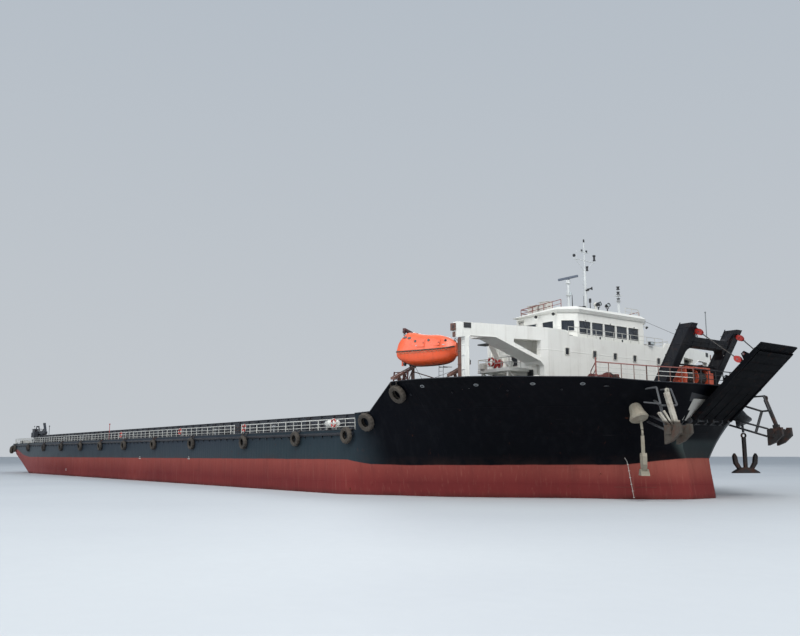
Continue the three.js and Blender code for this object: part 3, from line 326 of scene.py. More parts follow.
def make(name, mesh, mats, body="root", sharp=32, replaces=(), weld=False):
    me = bpy.data.meshes.new(name)
    me.from_pydata([row(p) for p in mesh.v], [], mesh.f)
    me.validate()
    for mt in mats if isinstance(mats, (list, tuple)) else [mats]:
        me.materials.append(mt)
    if len(me.polygons) == len(mesh.m):
        me.polygons.foreach_set("material_index", mesh.m)
    if weld:
        bm = bmesh.new()
        bm.from_mesh(me)
        bmesh.ops.remove_doubles(bm, verts=bm.verts, dist=1e-5)
        bm.to_mesh(me)
        bm.free()
    weighted(me, sharp)
    obj = bpy.data.objects.new(name, me)
    scene.collection.objects.link(obj)
    if body:
        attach(obj, body)
    if replaces:
        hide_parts(*replaces)
    return obj


# ---------------------------------------------------------------- material nodes
def lin(c):
    c /= 255.0
    return c / 12.92 if c <= 0.04045 else ((c + 0.055) / 1.055) ** 2.4


def C(r, g, b):
    return (lin(r), lin(g), lin(b), 1.0)


class Nodes:
    """Short names for the shader nodes that the finishes below are made of."""

    def __init__(self, name):
        self.mat = bpy.data.materials.new(name)
        self.mat.use_nodes = True
        self.nt = self.mat.node_tree
        self.bsdf = next(n for n in self.nt.nodes if n.type == "BSDF_PRINCIPLED")
        self.tc = self.nt.nodes.new("ShaderNodeTexCoord")
        self._n = {}

    def link(self, a, b):
        self.nt.links.new(a, b)

    def put(self, sock, val):
        if isinstance(val, bpy.types.NodeSocket):
            self.link(val, sock)
        else:
            sock.default_value = val

    def coords(self, scale=(1, 1, 1), loc=(0, 0, 0), rot=(0, 0, 0)):
        mp = self.nt.nodes.new("ShaderNodeMapping")
        mp.inputs["Scale"].default_value = scale
        mp.inputs["Location"].default_value = loc
        mp.inputs["Rotation"].default_value = rot
        self.link(self.tc.outputs["Object"], mp.inputs["Vector"])
        return mp.outputs["Vector"]

    def xyz(self):
        if "xyz" not in self._n:
            s = self.nt.nodes.new("ShaderNodeSeparateXYZ")
            self.link(self.tc.outputs["Object"], s.inputs[0])
            self._n["xyz"] = s
        s = self._n["xyz"]
        return s.outputs[0], s.outputs[1], s.outputs[2]

    def normal(self):
        if "nrm" not in self._n:
            g = self.nt.nodes.new("ShaderNodeNewGeometry")
            s = self.nt.nodes.new("ShaderNodeSeparateXYZ")
            self.link(g.outputs["Normal"], s.inputs[0])
            self._n["nrm"] = s
        s = self._n["nrm"]
        return s.outputs[0], s.outputs[1], s.outputs[2]

    def noise(self, scale, detail=4.0, rough=0.55, stretch=(1, 1, 1), loc=(0, 0, 0), distort=0.0):
        n = self.nt.nodes.new("ShaderNodeTexNoise")
        n.inputs["Scale"].default_value = scale
        n.inputs["Detail"].default_value = detail
        n.inputs["Roughness"].default_value = rough
        n.inputs["Distortion"].default_value = distort
        self.link(self.coords(stretch, loc), n.inputs["Vector"])
        return n.outputs["Fac"]

    def voronoi(self, scale, stretch=(1, 1, 1), feature="F1", loc=(0, 0, 0)):
        n = self.nt.nodes.new("ShaderNodeTexVoronoi")
        n.feature = feature
        n.inputs["Scale"].default_value = scale
        self.link(self.coords(stretch, loc), n.inputs["Vector"])
        return n.outputs["Distance"]

    def math(self, op, a, b=0.0, c=None, clamp=False):
        n = self.nt.nodes.new("ShaderNodeMath")
        n.operation = op
        n.use_clamp = clamp
        self.put(n.inputs[0], a)
        self.put(n.inputs[1], b)
        if c is not None:
            self.put(n.inputs[2], c)
        return n.outputs[0]

    def rng(self, v, a, b, c=0.0, d=1.0, kind="LINEAR"):
        n = self.nt.nodes.new("ShaderNodeMapRange")
        n.interpolation_type = kind
        n.clamp = True
        self.put(n.inputs[0], v)
        for i, x in enumerate((a, b, c, d)):
            n.inputs[i + 1].default_value = x
        return n.outputs[0]

    def mix(self, f, a, b, kind="MIX"):
        n = self.nt.nodes.new("ShaderNodeMix")
        n.data_type = "RGBA"
        n.blend_type = kind
        self.put(n.inputs["Factor"], f)
        self.put(n.inputs[6], a)
        self.put(n.inputs[7], b)
        return n.outputs[2]

    def ramp(self, f, stops):
        n = self.nt.nodes.new("ShaderNodeValToRGB")
        cr = n.color_ramp
        while len(cr.elements) > 1:
            cr.elements.remove(cr.elements[-1])
        cr.elements[0].position, cr.elements[0].color = stops[0]
        for pos, col in stops[1:]:
            cr.elements.new(pos).color = col
        self.put(n.inputs["Fac"], f)
        return n.outputs["Color"]

    def curve(self, v, pts):
        """A piecewise straight curve through (0..1, value) points."""
        n = self.nt.nodes.new("ShaderNodeFloatCurve")
        c = n.mapping.curves[0]
        while len(c.points) > 2:
            c.points.remove(c.points[1])
        c.points[0].location, c.points[1].location = pts[0], pts[-1]
        for p in pts[1:-1]:
            c.points.new(*p)
        for p in c.points:
            p.handle_type = "VECTOR"
        n.mapping.update()
        self.put(n.inputs["Value"], v)
        return n.outputs["Value"]

    def bump(self, height, dist, strength=1.0, normal=None):
        n = self.nt.nodes.new("ShaderNodeBump")
        n.inputs["Distance"].default_value = dist
        n.inputs["Strength"].default_value = strength
        self.link(height, n.inputs["Height"])
        if normal is not None:
            self.link(normal, n.inputs["Normal"])
        return n.outputs["Normal"]

    def done(self, color, rough, normal=None, metal=0.0, **consts):
        b = self.bsdf
        self.put(b.inputs["Base Color"], color)
        self.put(b.inputs["Roughness"], rough)
        self.put(b.inputs["Metallic"], metal)
        if normal is not None:
            self.link(normal, b.inputs["Normal"])
        for k, v in consts.items():
            b.inputs[k.replace("_", " ")].default_value = v
        return self.mat


RUST = C(104, 58, 34)
RUST_DARK = C(62, 36, 26)
GRIME = C(58, 54, 48)


def painted(name, col, col2=None, rough=0.5, rust=0.25, streak=0.25, dirt=0.2, bump=0.4, seams=None,
            grime=GRIME, rust_col=RUST, metal=0.0, size=1.0, coat=0.0, chips=0.5, spec=0.5):
    """Marine paint on steel: tone variation, run-off streaks, grime, chips and rust, dented plate."""
    n = Nodes(name)
    col2 = col2 or tuple(c * 0.82 for c in col[:3]) + (1,)
    big = n.noise(1.1 * size, 5, 0.55)
    mid = n.noise(6.0 * size, 6, 0.62, loc=(3.1, 1.7, 0.4))
    fine = n.noise(55.0 * size, 5, 0.6, loc=(0.3, 5.2, 2.2))
    run = n.noise(1.0, 5, 0.6, stretch=(26 * size, 26 * size, 1.6 * size), loc=(1.2, 0.6, 0))
    spots = n.noise(17.0 * size, 7, 0.68, loc=(7.7, 2.4, 1.9))
    _, _, nz = n.normal()
    wall = n.rng(n.math("ABSOLUTE", nz), 0.35, 0.75, 1.0, 0.15)
    color = n.mix(n.rng(big, 0.3, 0.7), col, col2)
    color = n.mix(n.math("MULTIPLY", n.rng(mid, 0.52, 0.75), dirt), color, grime)
    runs = n.math("MULTIPLY", n.math("MULTIPLY", n.rng(run, 0.53, 0.78), wall), streak)
    color = n.mix(runs, color, grime)
    flat_dirt = n.math("MULTIPLY", n.rng(nz, 0.6, 0.95), dirt * 0.9)
    color = n.mix(n.math("MULTIPLY", flat_dirt, n.rng(mid, 0.35, 0.65)), color, grime)
    chip = n.math("MULTIPLY", n.rng(spots, 0.70 - 0.10 * rust, 0.74 - 0.08 * rust), min(1.0, rust * 1.6))
    rusty = n.mix(n.rng(fine, 0.35, 0.65), rust_col, RUST_DARK)
    color = n.mix(chip, color, rusty)
    halo = n.math("MULTIPLY", n.rng(spots, 0.60 - 0.08 * rust, 0.72), rust * 0.45)
    color = n.mix(halo, color, rust_col)
    r = n.math("ADD", n.rng(mid, 0.3, 0.7, rough - 0.07, rough + 0.1), n.math("MULTIPLY", chip, 0.3), clamp=True)
    r = n.math("ADD", r, n.rng(fine, 0.3, 0.7, -0.03, 0.05), clamp=True)
    h = n.math("ADD", n.math("MULTIPLY", big, 0.9), n.math("MULTIPLY", fine, 0.05))
    h = n.math("SUBTRACT", h, n.math("MULTIPLY", chip, 0.03))
    if seams:
        h = n.math("ADD", h, plate_lines(n, *seams))
    nn = n.bump(h, 0.02 * bump / size)
    return n.done(color, r, nn, metal, Coat_Weight=coat, Coat_Roughness=0.25, Specular_IOR_Level=spec)


def line_mask(n, v, pitch, width, shift=0.0):
    """1 on lines that repeat every `pitch` along v (a coordinate in model metres)."""
    w = n.math("PINGPONG", n.math("ADD", v, shift), pitch / 2)
    return n.rng(w, 0.0, width, 1.0, 0.0, "SMOOTHSTEP")


def plate_lines(n, px, pz, width=0.006, depth=0.22):
    """Weld seams between plates as raised lines."""
    x, y, z = n.xyz()
    a = line_mask(n, x, px, width)
    b = line_mask(n, z, pz, width)
    return n.math("MULTIPLY", n.math("MAXIMUM", a, b), depth)

# ---------------------------------------------------------------- finishes
def hull_material():
    """Black topsides over a red boot-top, plated, with run-off, rust, scrapes and a scum line."""
    n = Nodes("hull_coating")
    x, y, z = n.xyz()
    big = n.noise(0.9, 5, 0.55)
    mid = n.noise(5.0, 7, 0.64, loc=(2.1, 0.7, 0.4))
    fine = n.noise(48.0, 5, 0.6, loc=(0.3, 5.2, 2.2))
    run = n.noise(1.0, 6, 0.62, stretch=(15, 15, 1.0), loc=(1.2, 0.6, 0))
    run2 = n.noise(1.0, 5, 0.6, stretch=(42, 42, 2.2), loc=(4.2, 3.6, 1))
    scrape = n.noise(1.0, 6, 0.62, stretch=(2.4, 2.4, 26), loc=(0.5, 2.3, 0.2))
    spots = n.noise(13.0, 7, 0.7, loc=(7.7, 2.4, 1.9))
    # height of the boot-top's upper edge along the hull, in model metres
    t = n.rng(x, -8.1, 8.1)
    edge = n.curve(t, [(0.0, 0.78), (0.03, 0.77), (0.062, 0.66), (0.092, 0.62), (0.80, 0.62), (0.815, 0.58), (0.835, 0.57), (0.93, 0.58), (0.945, 0.625), (0.96, 0.66), (1.0, 0.66)])
    wob = n.math("MULTIPLY", n.math("SUBTRACT", mid, 0.5), 0.012)
    above = n.rng(n.math("SUBTRACT", z, n.math("ADD", edge, wob)), -0.004, 0.004, kind="SMOOTHSTEP")
    # topsides: near black; aft of the bow shoulder greyer in patches and lower down, a painted sheen of sky reflection
    # on the flat sides
    black = n.mix(n.rng(big, 0.3, 0.7), C(3, 5, 10), C(7, 9, 16))
    aft = n.rng(x, 5.35, 4.75, kind="SMOOTHSTEP")
    black = n.mix(n.math("MULTIPLY", aft, n.rng(mid, 0.3, 0.7, 0.72, 0.92)), black, C(54, 62, 72))
    black = n.mix(n.math("MULTIPLY", aft, n.rng(z, 0.85, 0.62, 0.0, 0.4)), black, C(62, 76, 80))
    black = n.mix(n.math("MULTIPLY", n.rng(run, 0.5, 0.8), n.math("ADD", n.math("MULTIPLY", aft, 0.16), 0.07)), black, C(70, 72, 76))
    black = n.mix(n.math("MULTIPLY", n.rng(scrape, 0.66, 0.82), 0.16), black, C(84, 84, 84))
    # greyer still at the very stern, a painted haze, and greener half way along
    mid_x = n.math("MULTIPLY", n.rng(x, 1.5, 3.8, kind="SMOOTHSTEP"), aft)
    black = n.mix(n.math("MULTIPLY", mid_x, 0.45), black, C(34, 50, 54))
    stern = n.rng(x, -3.0, -7.6, kind="SMOOTHSTEP")
    black = n.mix(n.math("MULTIPLY", stern, n.rng(mid, 0.3, 0.7, 0.5, 0.75)), black, C(100, 108, 112))
    # the stem: grey over the boot-top, a painted highlight where light catches the steep lower flare; greyer on the
    # front face; a painted patch of sunlight on the far flare
    nx, _, _ = n.normal()
    stem = n.math("MULTIPLY", n.rng(x, 7.22, 7.3, kind="SMOOTHSTEP"), n.rng(n.math("ADD", z, wob), 0.80, 0.74, kind="SMOOTHSTEP"))
    black = n.mix(n.math("MULTIPLY", stem, n.rng(mid, 0.3, 0.7, 0.6, 0.95)), black, C(92, 104, 102))
    front = n.math("MULTIPLY", n.rng(x, 7.1, 7.3, kind="SMOOTHSTEP"), n.rng(nx, 0.85, 0.95, kind="SMOOTHSTEP"))
    black = n.mix(n.math("MULTIPLY", front, 0.8), black, C(28, 34, 38))
    # painted sunlight: the far (port) flare lighter grey
    flare = n.math("MULTIPLY", n.rng(x, 6.9, 7.15, kind="SMOOTHSTEP"), n.rng(y, 0.25, 0.40, kind="SMOOTHSTEP"))
    black = n.mix(n.math("MULTIPLY", flare, n.rng(mid, 0.3, 0.7, 0.6, 0.9)), black, C(82, 92, 96))
    low = n.rng(n.math("SUBTRACT", z, edge), 0.09, 0.0)
    black = n.mix(n.math("MULTIPLY", low, n.rng(mid, 0.4, 0.75, 0.0, 0.35)), black, C(70, 50, 44))
    # boot-top: dull red; its upper part lighter, more so at the bow, a painted highlight where the plating turns up to
    # the light; dirtier low down
    red = n.mix(n.rng(big, 0.3, 0.7), C(124, 52, 50), C(106, 43, 44))
    red = n.mix(n.math("MULTIPLY", n.rng(z, 0.42, 0.60), 0.55), red, C(158, 84, 74))
    bow = n.rng(x, 6.2, 7.2)
    red = n.mix(n.math("MULTIPLY", bow, n.rng(z, 0.42, 0.58, 0.0, 0.5)), red, C(170, 98, 84))
    # paler towards the stern
    stern_paler = n.rng(x, -4.0, -7.4, kind="SMOOTHSTEP")
    red = n.mix(n.math("MULTIPLY", stern_paler, 0.7), red, C(160, 92, 90))
    red = n.mix(n.math("MULTIPLY", n.rng(run, 0.48, 0.78), 0.35), red, C(92, 44, 44))
    red = n.mix(n.math("MULTIPLY", n.rng(run2, 0.56, 0.8), 0.3), red, C(170, 118, 104))
    red = n.mix(n.math("MULTIPLY", n.rng(scrape, 0.62, 0.8), 0.4), red, C(84, 46, 42))
    scum = n.rng(z, 0.30, 0.345, 1.0, 0.0)
    red = n.mix(n.math("MULTIPLY", scum, n.rng(mid, 0.3, 0.65, 0.25, 0.85)), red, C(62, 38, 34))
    under = n.rng(z, 0.29, 0.20)
    red = n.mix(n.math("MULTIPLY", under, n.rng(mid, 0.35, 0.7, 0.2, 0.7)), red, C(72, 62, 46))
    color = n.mix(above, red, black)
    chip = n.rng(spots, 0.665, 0.70)
    chip = n.math("MULTIPLY", chip, n.math("ADD", n.math("MULTIPLY", above, -0.35), 0.9))
    color = n.mix(chip, color, n.mix(n.rng(fine, 0.35, 0.65), RUST, RUST_DARK))
    rust_run = n.math("MULTIPLY", n.rng(run2, 0.60, 0.74), n.rng(mid, 0.56, 0.70))
    color = n.mix(n.math("MULTIPLY", rust_run, 0.5), color, C(98, 60, 42))
    r = n.math("ADD", n.rng(mid, 0.3, 0.7, 0.36, 0.5), n.math("MULTIPLY", n.math("SUBTRACT", 1.0, above), 0.16))
    r = n.math("ADD", r, n.math("MULTIPLY", chip, 0.25), clamp=True)
    # shell plates: straked about 2 m high and 8 m long on the vessel, slightly hungry between frames
    frames = n.math("PINGPONG", x, 0.03)
    hungry = n.math("MULTIPLY", n.rng(frames, 0.0, 0.03, 0.0, 1.0, "SMOOTHSTEP"), 0.05)
    h = n.math("ADD", n.math("MULTIPLY", n.noise(2.6, 3, 0.5, loc=(9, 1, 2)), 0.8), n.math("MULTIPLY", fine, 0.03))
    h = n.math("ADD", h, n.math("MULTIPLY", plate_lines(n, 0.83, 0.21, 0.004), 0.35))
    h = n.math("SUBTRACT", n.math("ADD", h, hungry), n.math("MULTIPLY", chip, 0.03))
    nn = n.bump(h, 0.02, 0.7)
    return n.done(color, n.math("ADD", r, 0.08, clamp=True), nn, Specular_IOR_Level=0.07)


def deck_material(name, col, col2, grit=0.8):
    """Worn deck paint with bare and rusty tracks, plate seams and tread grit."""
    n = Nodes(name)
    big = n.noise(0.8, 6, 0.6)
    mid = n.noise(4.6, 7, 0.66, loc=(2, 3, 4))
    fine = n.noise(70.0, 4, 0.6)
    lane = n.noise(1.0, 5, 0.6, stretch=(0.5, 5.0, 1.0), loc=(3, 1, 0))
    spots = n.noise(9.0, 8, 0.72, loc=(5, 2, 8))
    color = n.mix(n.rng(big, 0.3, 0.7), col, col2)
    color = n.mix(n.math("MULTIPLY", n.rng(lane, 0.45, 0.7), 0.45), color, C(96, 90, 82))
    color = n.mix(n.math("MULTIPLY", n.rng(mid, 0.5, 0.72), 0.5), color, C(70, 62, 54))
    rusty = n.rng(spots, 0.56, 0.66)
    color = n.mix(n.math("MULTIPLY", rusty, 0.75), color, n.mix(n.rng(fine, 0.35, 0.65), RUST, C(120, 76, 50)))
    r = n.rng(mid, 0.3, 0.7, 0.62, 0.85)
    h = n.math("ADD", n.math("MULTIPLY", big, 0.6), n.math("MULTIPLY", fine, 0.10 * grit))
    x, y, _ = n.xyz()
    seam = n.math("MAXIMUM", line_mask(n, x, 0.6, 0.005), line_mask(n, y, 0.25, 0.005))
    h = n.math("ADD", h, n.math("MULTIPLY", seam, 0.12))
    return n.done(color, r, n.bump(h, 0.015, 0.6))


def rubber_material():
    """Weathered tyre rubber: grey chalk on the crowns, black in the grooves, scuffs."""
    n = Nodes("tyre_rubber")
    mid = n.noise(9.0, 6, 0.62)
    fine = n.noise(120.0, 5, 0.6)
    big = n.noise(1.3, 3, 0.5)
    color = n.mix(n.rng(mid, 0.35, 0.68), C(34, 32, 31), C(78, 73, 67))
    color = n.mix(n.math("MULTIPLY", n.rng(big, 0.4, 0.65), 0.4), color, C(92, 82, 70))
    color = n.mix(n.math("MULTIPLY", n.rng(fine, 0.55, 0.75), 0.3), color, C(24, 23, 22))
    r = n.rng(mid, 0.3, 0.7, 0.74, 0.95)
    return n.done(color, r, n.bump(n.math("ADD", mid, n.math("MULTIPLY", fine, 0.4)), 0.004, 0.6))


def iron_material(name, col, col2, rough=0.78, rusty=0.6):
    """Galvanised or bare iron: blotchy grey with soaked-in rust and a pitted face."""
    n = Nodes(name)
    big = n.noise(2.2, 5, 0.6)
    mid = n.noise(14.0, 7, 0.66, loc=(1, 2, 3))
    fine = n.noise(110.0, 5, 0.65)
    run = n.noise(1.0, 5, 0.6, stretch=(24, 24, 2.2), loc=(2, 5, 1))
    color = n.mix(n.rng(big, 0.3, 0.7), col, col2)
    color = n.mix(n.math("MULTIPLY", n.rng(mid, 0.48, 0.66), rusty), color, RUST)
    color = n.mix(n.math("MULTIPLY", n.rng(run, 0.52, 0.75), rusty * 0.7), color, RUST_DARK)
    color = n.mix(n.math("MULTIPLY", n.rng(fine, 0.6, 0.8), 0.35), color, RUST_DARK)
    r = n.rng(mid, 0.3, 0.7, rough - 0.12, rough + 0.12)
    h = n.math("ADD", n.math("MULTIPLY", mid, 0.6), n.math("MULTIPLY", fine, 0.35))
    return n.done(color, r, n.bump(h, 0.006, 0.8), 0.25)


def gel_coat(name, col, col2):
    """Moulded glass-fibre: slightly chalked, faint streaks, low ripple."""
    n = Nodes(name)
    big = n.noise(2.4, 4, 0.5)
    mid = n.noise(11.0, 6, 0.6, loc=(3, 1, 1))
    fine = n.noise(140.0, 4, 0.5)
    run = n.noise(1.0, 5, 0.6, stretch=(30, 30, 2.6))
    _, _, nz = n.normal()
    color = n.mix(n.rng(big, 0.3, 0.7), col, col2)
    color = n.mix(n.math("MULTIPLY", n.rng(nz, 0.2, 0.95), 0.28), color, C(242, 172, 138))
    color = n.mix(n.math("MULTIPLY", n.rng(run, 0.5, 0.78), 0.28), color, C(128, 52, 32))
    color = n.mix(n.math("MULTIPLY", n.rng(mid, 0.58, 0.74), 0.3), color, C(110, 58, 42))
    r = n.rng(mid, 0.3, 0.7, 0.26, 0.44)
    h = n.math("ADD", big, n.math("MULTIPLY", fine, 0.04))
    return n.done(color, r, n.bump(h, 0.006, 0.5), Coat_Weight=0.15, Coat_Roughness=0.3)


def glass_material(name, tint):
    """Dark marine glazing with a film of salt that dulls it unevenly."""
    n = Nodes(name)
    mid = n.noise(7.0, 5, 0.6)
    fine = n.noise(90.0, 4, 0.6)
    run = n.noise(1.0, 4, 0.6, stretch=(40, 40, 4))
    color = n.mix(n.rng(mid, 0.35, 0.65), tint, tuple(min(1, c * 1.8 + 0.002) for c in tint[:3]) + (1,))
    color = n.mix(n.math("MULTIPLY", n.rng(run, 0.55, 0.8), 0.12), color, C(150, 156, 160))
    r = n.math("ADD", n.rng(mid, 0.3, 0.7, 0.04, 0.12), n.math("MULTIPLY", n.rng(run, 0.5, 0.8), 0.15))
    return n.done(color, r, n.bump(n.math("ADD", mid, n.math("MULTIPLY", fine, 0.05)), 0.0012, 0.4), 0.0, Specular_IOR_Level=0.6)


def wire_material(name, col, pitch=260.0):
    """Greased wire rope: helical strands as fine ridges, dirt in the lay."""
    n = Nodes(name)
    w = n.nt.nodes.new("ShaderNodeTexWave")
    w.wave_type, w.bands_direction = "BANDS", "DIAGONAL"
    w.inputs["Scale"].default_value = pitch
    w.inputs["Distortion"].default_value = 0.6
    n.link(n.coords(), w.inputs["Vector"])
    mid = n.noise(18.0, 5, 0.6)
    color = n.mix(n.rng(w.outputs["Fac"], 0.1, 0.8), tuple(c * 0.35 for c in col[:3]) + (1,), col)
    color = n.mix(n.math("MULTIPLY", n.rng(mid, 0.5, 0.72), 0.5), color, RUST_DARK)
    return n.done(color, n.rng(mid, 0.3, 0.7, 0.42, 0.66), n.bump(w.outputs["Fac"], 0.002, 0.6), 0.5)


def wood_material(name, col, col2):
    """Grey weathered planks with grain along X and dark joints."""
    n = Nodes(name)
    grain = n.noise(1.0, 7, 0.65, stretch=(3, 46, 46))
    big = n.noise(1.6, 4, 0.5)
    _, y, _ = n.xyz()
    joint = line_mask(n, y, 0.025, 0.0016)
    color = n.mix(n.rng(grain, 0.3, 0.7), col, col2)
    color = n.mix(n.math("MULTIPLY", n.rng(big, 0.45, 0.65), 0.4), color, C(84, 74, 62))
    color = n.mix(joint, color, C(26, 22, 18))
    h = n.math("SUBTRACT", grain, n.math("MULTIPLY", joint, 0.8))
    return n.done(color, n.rng(grain, 0.3, 0.7, 0.7, 0.9), n.bump(h, 0.003, 0.7))


def lamp_material(name, col):
    n = Nodes(name)
    mid = n.noise(26.0, 5, 0.6)
    fine = n.noise(180.0, 3, 0.5)
    color = n.mix(n.rng(mid, 0.35, 0.65), col, tuple(c * 0.72 for c in col[:3]) + (1,))
    color = n.mix(n.math("MULTIPLY", n.rng(mid, 0.6, 0.78), 0.35), color, GRIME)
    return n.done(color, n.rng(mid, 0.3, 0.7, 0.14, 0.3), n.bump(fine, 0.001, 0.4), Coat_Weight=0.3)


HULL = hull_material()
DECK = deck_material("cargo_deck_coating", C(104, 102, 98), C(88, 88, 86))
FORE_DECK = deck_material("forecastle_deck_coating", C(96, 100, 96), C(80, 84, 82))
BLACK = painted("black_topside_paint", C(17, 19, 26), C(27, 30, 38), 0.42, rust=0.16, streak=0.18, dirt=0.12, grime=C(70, 66, 62))
GANTRY_P = painted("charcoal_gantry_paint", C(16, 18, 24), C(28, 30, 36), 0.5, spec=0.2, rust=0.32, streak=0.3, dirt=0.3, grime=C(78, 72, 66), seams=(0.24, 0.13))
RAMP_P = painted("ramp_deck_paint", C(4, 6, 10), C(9, 11, 15), 0.66, rust=0.35, streak=0.2, dirt=0.2, grime=C(34, 32, 31), spec=0.06)
WALL_P = painted("cargo_wall_paint", C(38, 42, 50), C(54, 58, 66), 0.5, rust=0.35, streak=0.5, dirt=0.35, grime=C(82, 70, 60), seams=(0.6, 0.4))
WHITE = painted("house_white_paint", C(236, 235, 229), C(224, 224, 218), 0.42, rust=0.08, streak=0.22, dirt=0.14, grime=C(150, 140, 126), rust_col=C(150, 96, 66), seams=(0.3, 0.26))
WHITE_OLD = painted("weathered_white_paint", C(214, 212, 204), C(194, 192, 186), 0.5, rust=0.25, streak=0.4, dirt=0.35, grime=C(128, 116, 102), rust_col=C(140, 88, 60))
GREY = painted("grey_fitting_paint", C(134, 138, 140), C(112, 116, 120), 0.5, rust=0.3, streak=0.3, dirt=0.3)
# white greyed for undersides that lie in shade: painted shade
UNDERSIDE_SHADE_WHITE = painted("arch_soffit_painted_shade", C(196, 200, 206), C(176, 182, 190), 0.55, rust=0.1, streak=0.3, dirt=0.3, grime=C(120, 116, 112))
# grey for the leaning band between the wheelhouse windows and the roof: painted shade
WINDOW_BAND_SHADE = painted("window_band_painted_shade", C(150, 156, 164), C(128, 134, 142), 0.45, rust=0.08, streak=0.25, dirt=0.2)
RAIL_P = painted("rail_white_paint", C(206, 205, 198), C(184, 184, 178), 0.45, rust=0.35, streak=0.2, dirt=0.35, rust_col=C(130, 80, 56), size=2.0)
RAIL_RED = painted("rail_red_paint", C(146, 86, 78), C(120, 68, 62), 0.5, rust=0.3, streak=0.2, dirt=0.3, size=2.0)
RADAR_G = painted("radar_casing_grey", C(104, 112, 126), C(84, 92, 106), 0.42, rust=0.08, streak=0.2, dirt=0.2, size=1.6)
MAST_P = painted("mast_paint", C(214, 217, 216), C(196, 199, 200), 0.4, rust=0.12, streak=0.25, dirt=0.2, size=1.6)
DARK = painted("dark_fitting_paint", C(34, 36, 40), C(50, 52, 56), 0.5, rust=0.35, streak=0.2, dirt=0.35, size=1.6)
WINCH = painted("winch_orange_paint", C(214, 96, 62), C(186, 76, 50), 0.44, rust=0.3, streak=0.3, dirt=0.35, grime=C(66, 48, 40), size=1.8)
MACHINE = painted("machinery_red_brown_paint", C(116, 52, 44), C(90, 42, 38), 0.52, rust=0.4, streak=0.3, dirt=0.4, size=1.8)
DAVIT = painted("davit_maroon_paint", C(84, 34, 34), C(62, 27, 28), 0.46, rust=0.28, streak=0.25, dirt=0.3, grime=C(92, 74, 64), size=1.6)
DAVIT_BROWN = painted("davit_brown_paint", C(118, 84, 72), C(96, 66, 58), 0.52, rust=0.4, streak=0.35, dirt=0.4, size=1.8)
CRANE_P = painted("crane_paint", C(44, 48, 56), C(60, 64, 72), 0.48, rust=0.35, streak=0.3, dirt=0.35, size=1.6)
RED = painted("signal_red_paint", C(188, 44, 34), C(156, 36, 30), 0.4, rust=0.1, streak=0.15, dirt=0.2, size=2.0)
GREEN = lamp_material("green_lens", C(40, 150, 84))
RED_LENS = lamp_material("red_lens", C(176, 34, 30))
CLEAR_LENS = lamp_material("clear_lens", C(196, 206, 208))
LOUVRE = painted("louvre_paint", C(58, 62, 66), C(44, 48, 52), 0.6, rust=0.1, streak=0.2, dirt=0.4)
RUBBER = rubber_material()
ANCHOR = iron_material("anchor_iron", C(150, 146, 140), C(116, 112, 106), rusty=0.5)
# iron for the port anchors, dark because they stand in shadow: painted shade
ANCHOR_SHADED = iron_material("port_anchor_iron_painted_shade", C(58, 56, 56), C(40, 39, 40), rusty=0.55)
ANCHOR_PALE = iron_material("galvanised_anchor_iron", C(168, 162, 146), C(140, 134, 120), rusty=0.22)
RACK_P = painted("anchor_rack_paint", C(84, 86, 88), C(60, 62, 66), 0.55, rust=0.45, streak=0.3, dirt=0.4, size=1.8)


def two_tone_anchor():
    """Pale shank over brown-grey crown and flukes."""
    n = Nodes("plate_anchor_two_tone")
    x, y, z = n.xyz()
    mid = n.noise(12.0, 7, 0.66)
    fine = n.noise(110.0, 5, 0.65)
    top = n.rng(n.math("ADD", z, n.math("MULTIPLY", n.math("SUBTRACT", mid, 0.5), 0.03)), 0.905, 0.925, kind="SMOOTHSTEP")
    low = n.mix(n.rng(mid, 0.3, 0.7), C(84, 78, 70), C(62, 56, 50))
    high = n.mix(n.rng(mid, 0.3, 0.7), C(190, 186, 174), C(158, 152, 140))
    color = n.mix(top, low, high)
    color = n.mix(n.math("MULTIPLY", n.rng(mid, 0.5, 0.68), 0.35), color, RUST)
    color = n.mix(n.math("MULTIPLY", n.rng(fine, 0.6, 0.8), 0.3), color, RUST_DARK)
    h = n.math("ADD", n.math("MULTIPLY", mid, 0.6), n.math("MULTIPLY", fine, 0.35))
    return n.done(color, n.rng(mid, 0.3, 0.7, 0.66, 0.88), n.bump(h, 0.006, 0.8), 0.2)


PLATE_ANCHOR_M = two_tone_anchor()
CHAIN = iron_material("chain_iron", C(74, 70, 66), C(52, 48, 46), rusty=0.7)
BRONZE = iron_material("propeller_bronze", C(158, 126, 70), C(120, 98, 58), rough=0.42, rusty=0.15)
ORANGE = gel_coat("lifeboat_gel_coat", C(236, 92, 44), C(222, 82, 40))
GLASS = glass_material("wheelhouse_glass", C(26, 32, 40))
PORT_GLASS = glass_material("porthole_glass", C(18, 22, 28))
WIRE = wire_material("wire_rope", C(86, 84, 82))
ROPE = wire_material("mooring_rope", C(186, 172, 144), 120.0)
PLANK = wood_material("plank_wood", C(142, 128, 108), C(112, 100, 84))

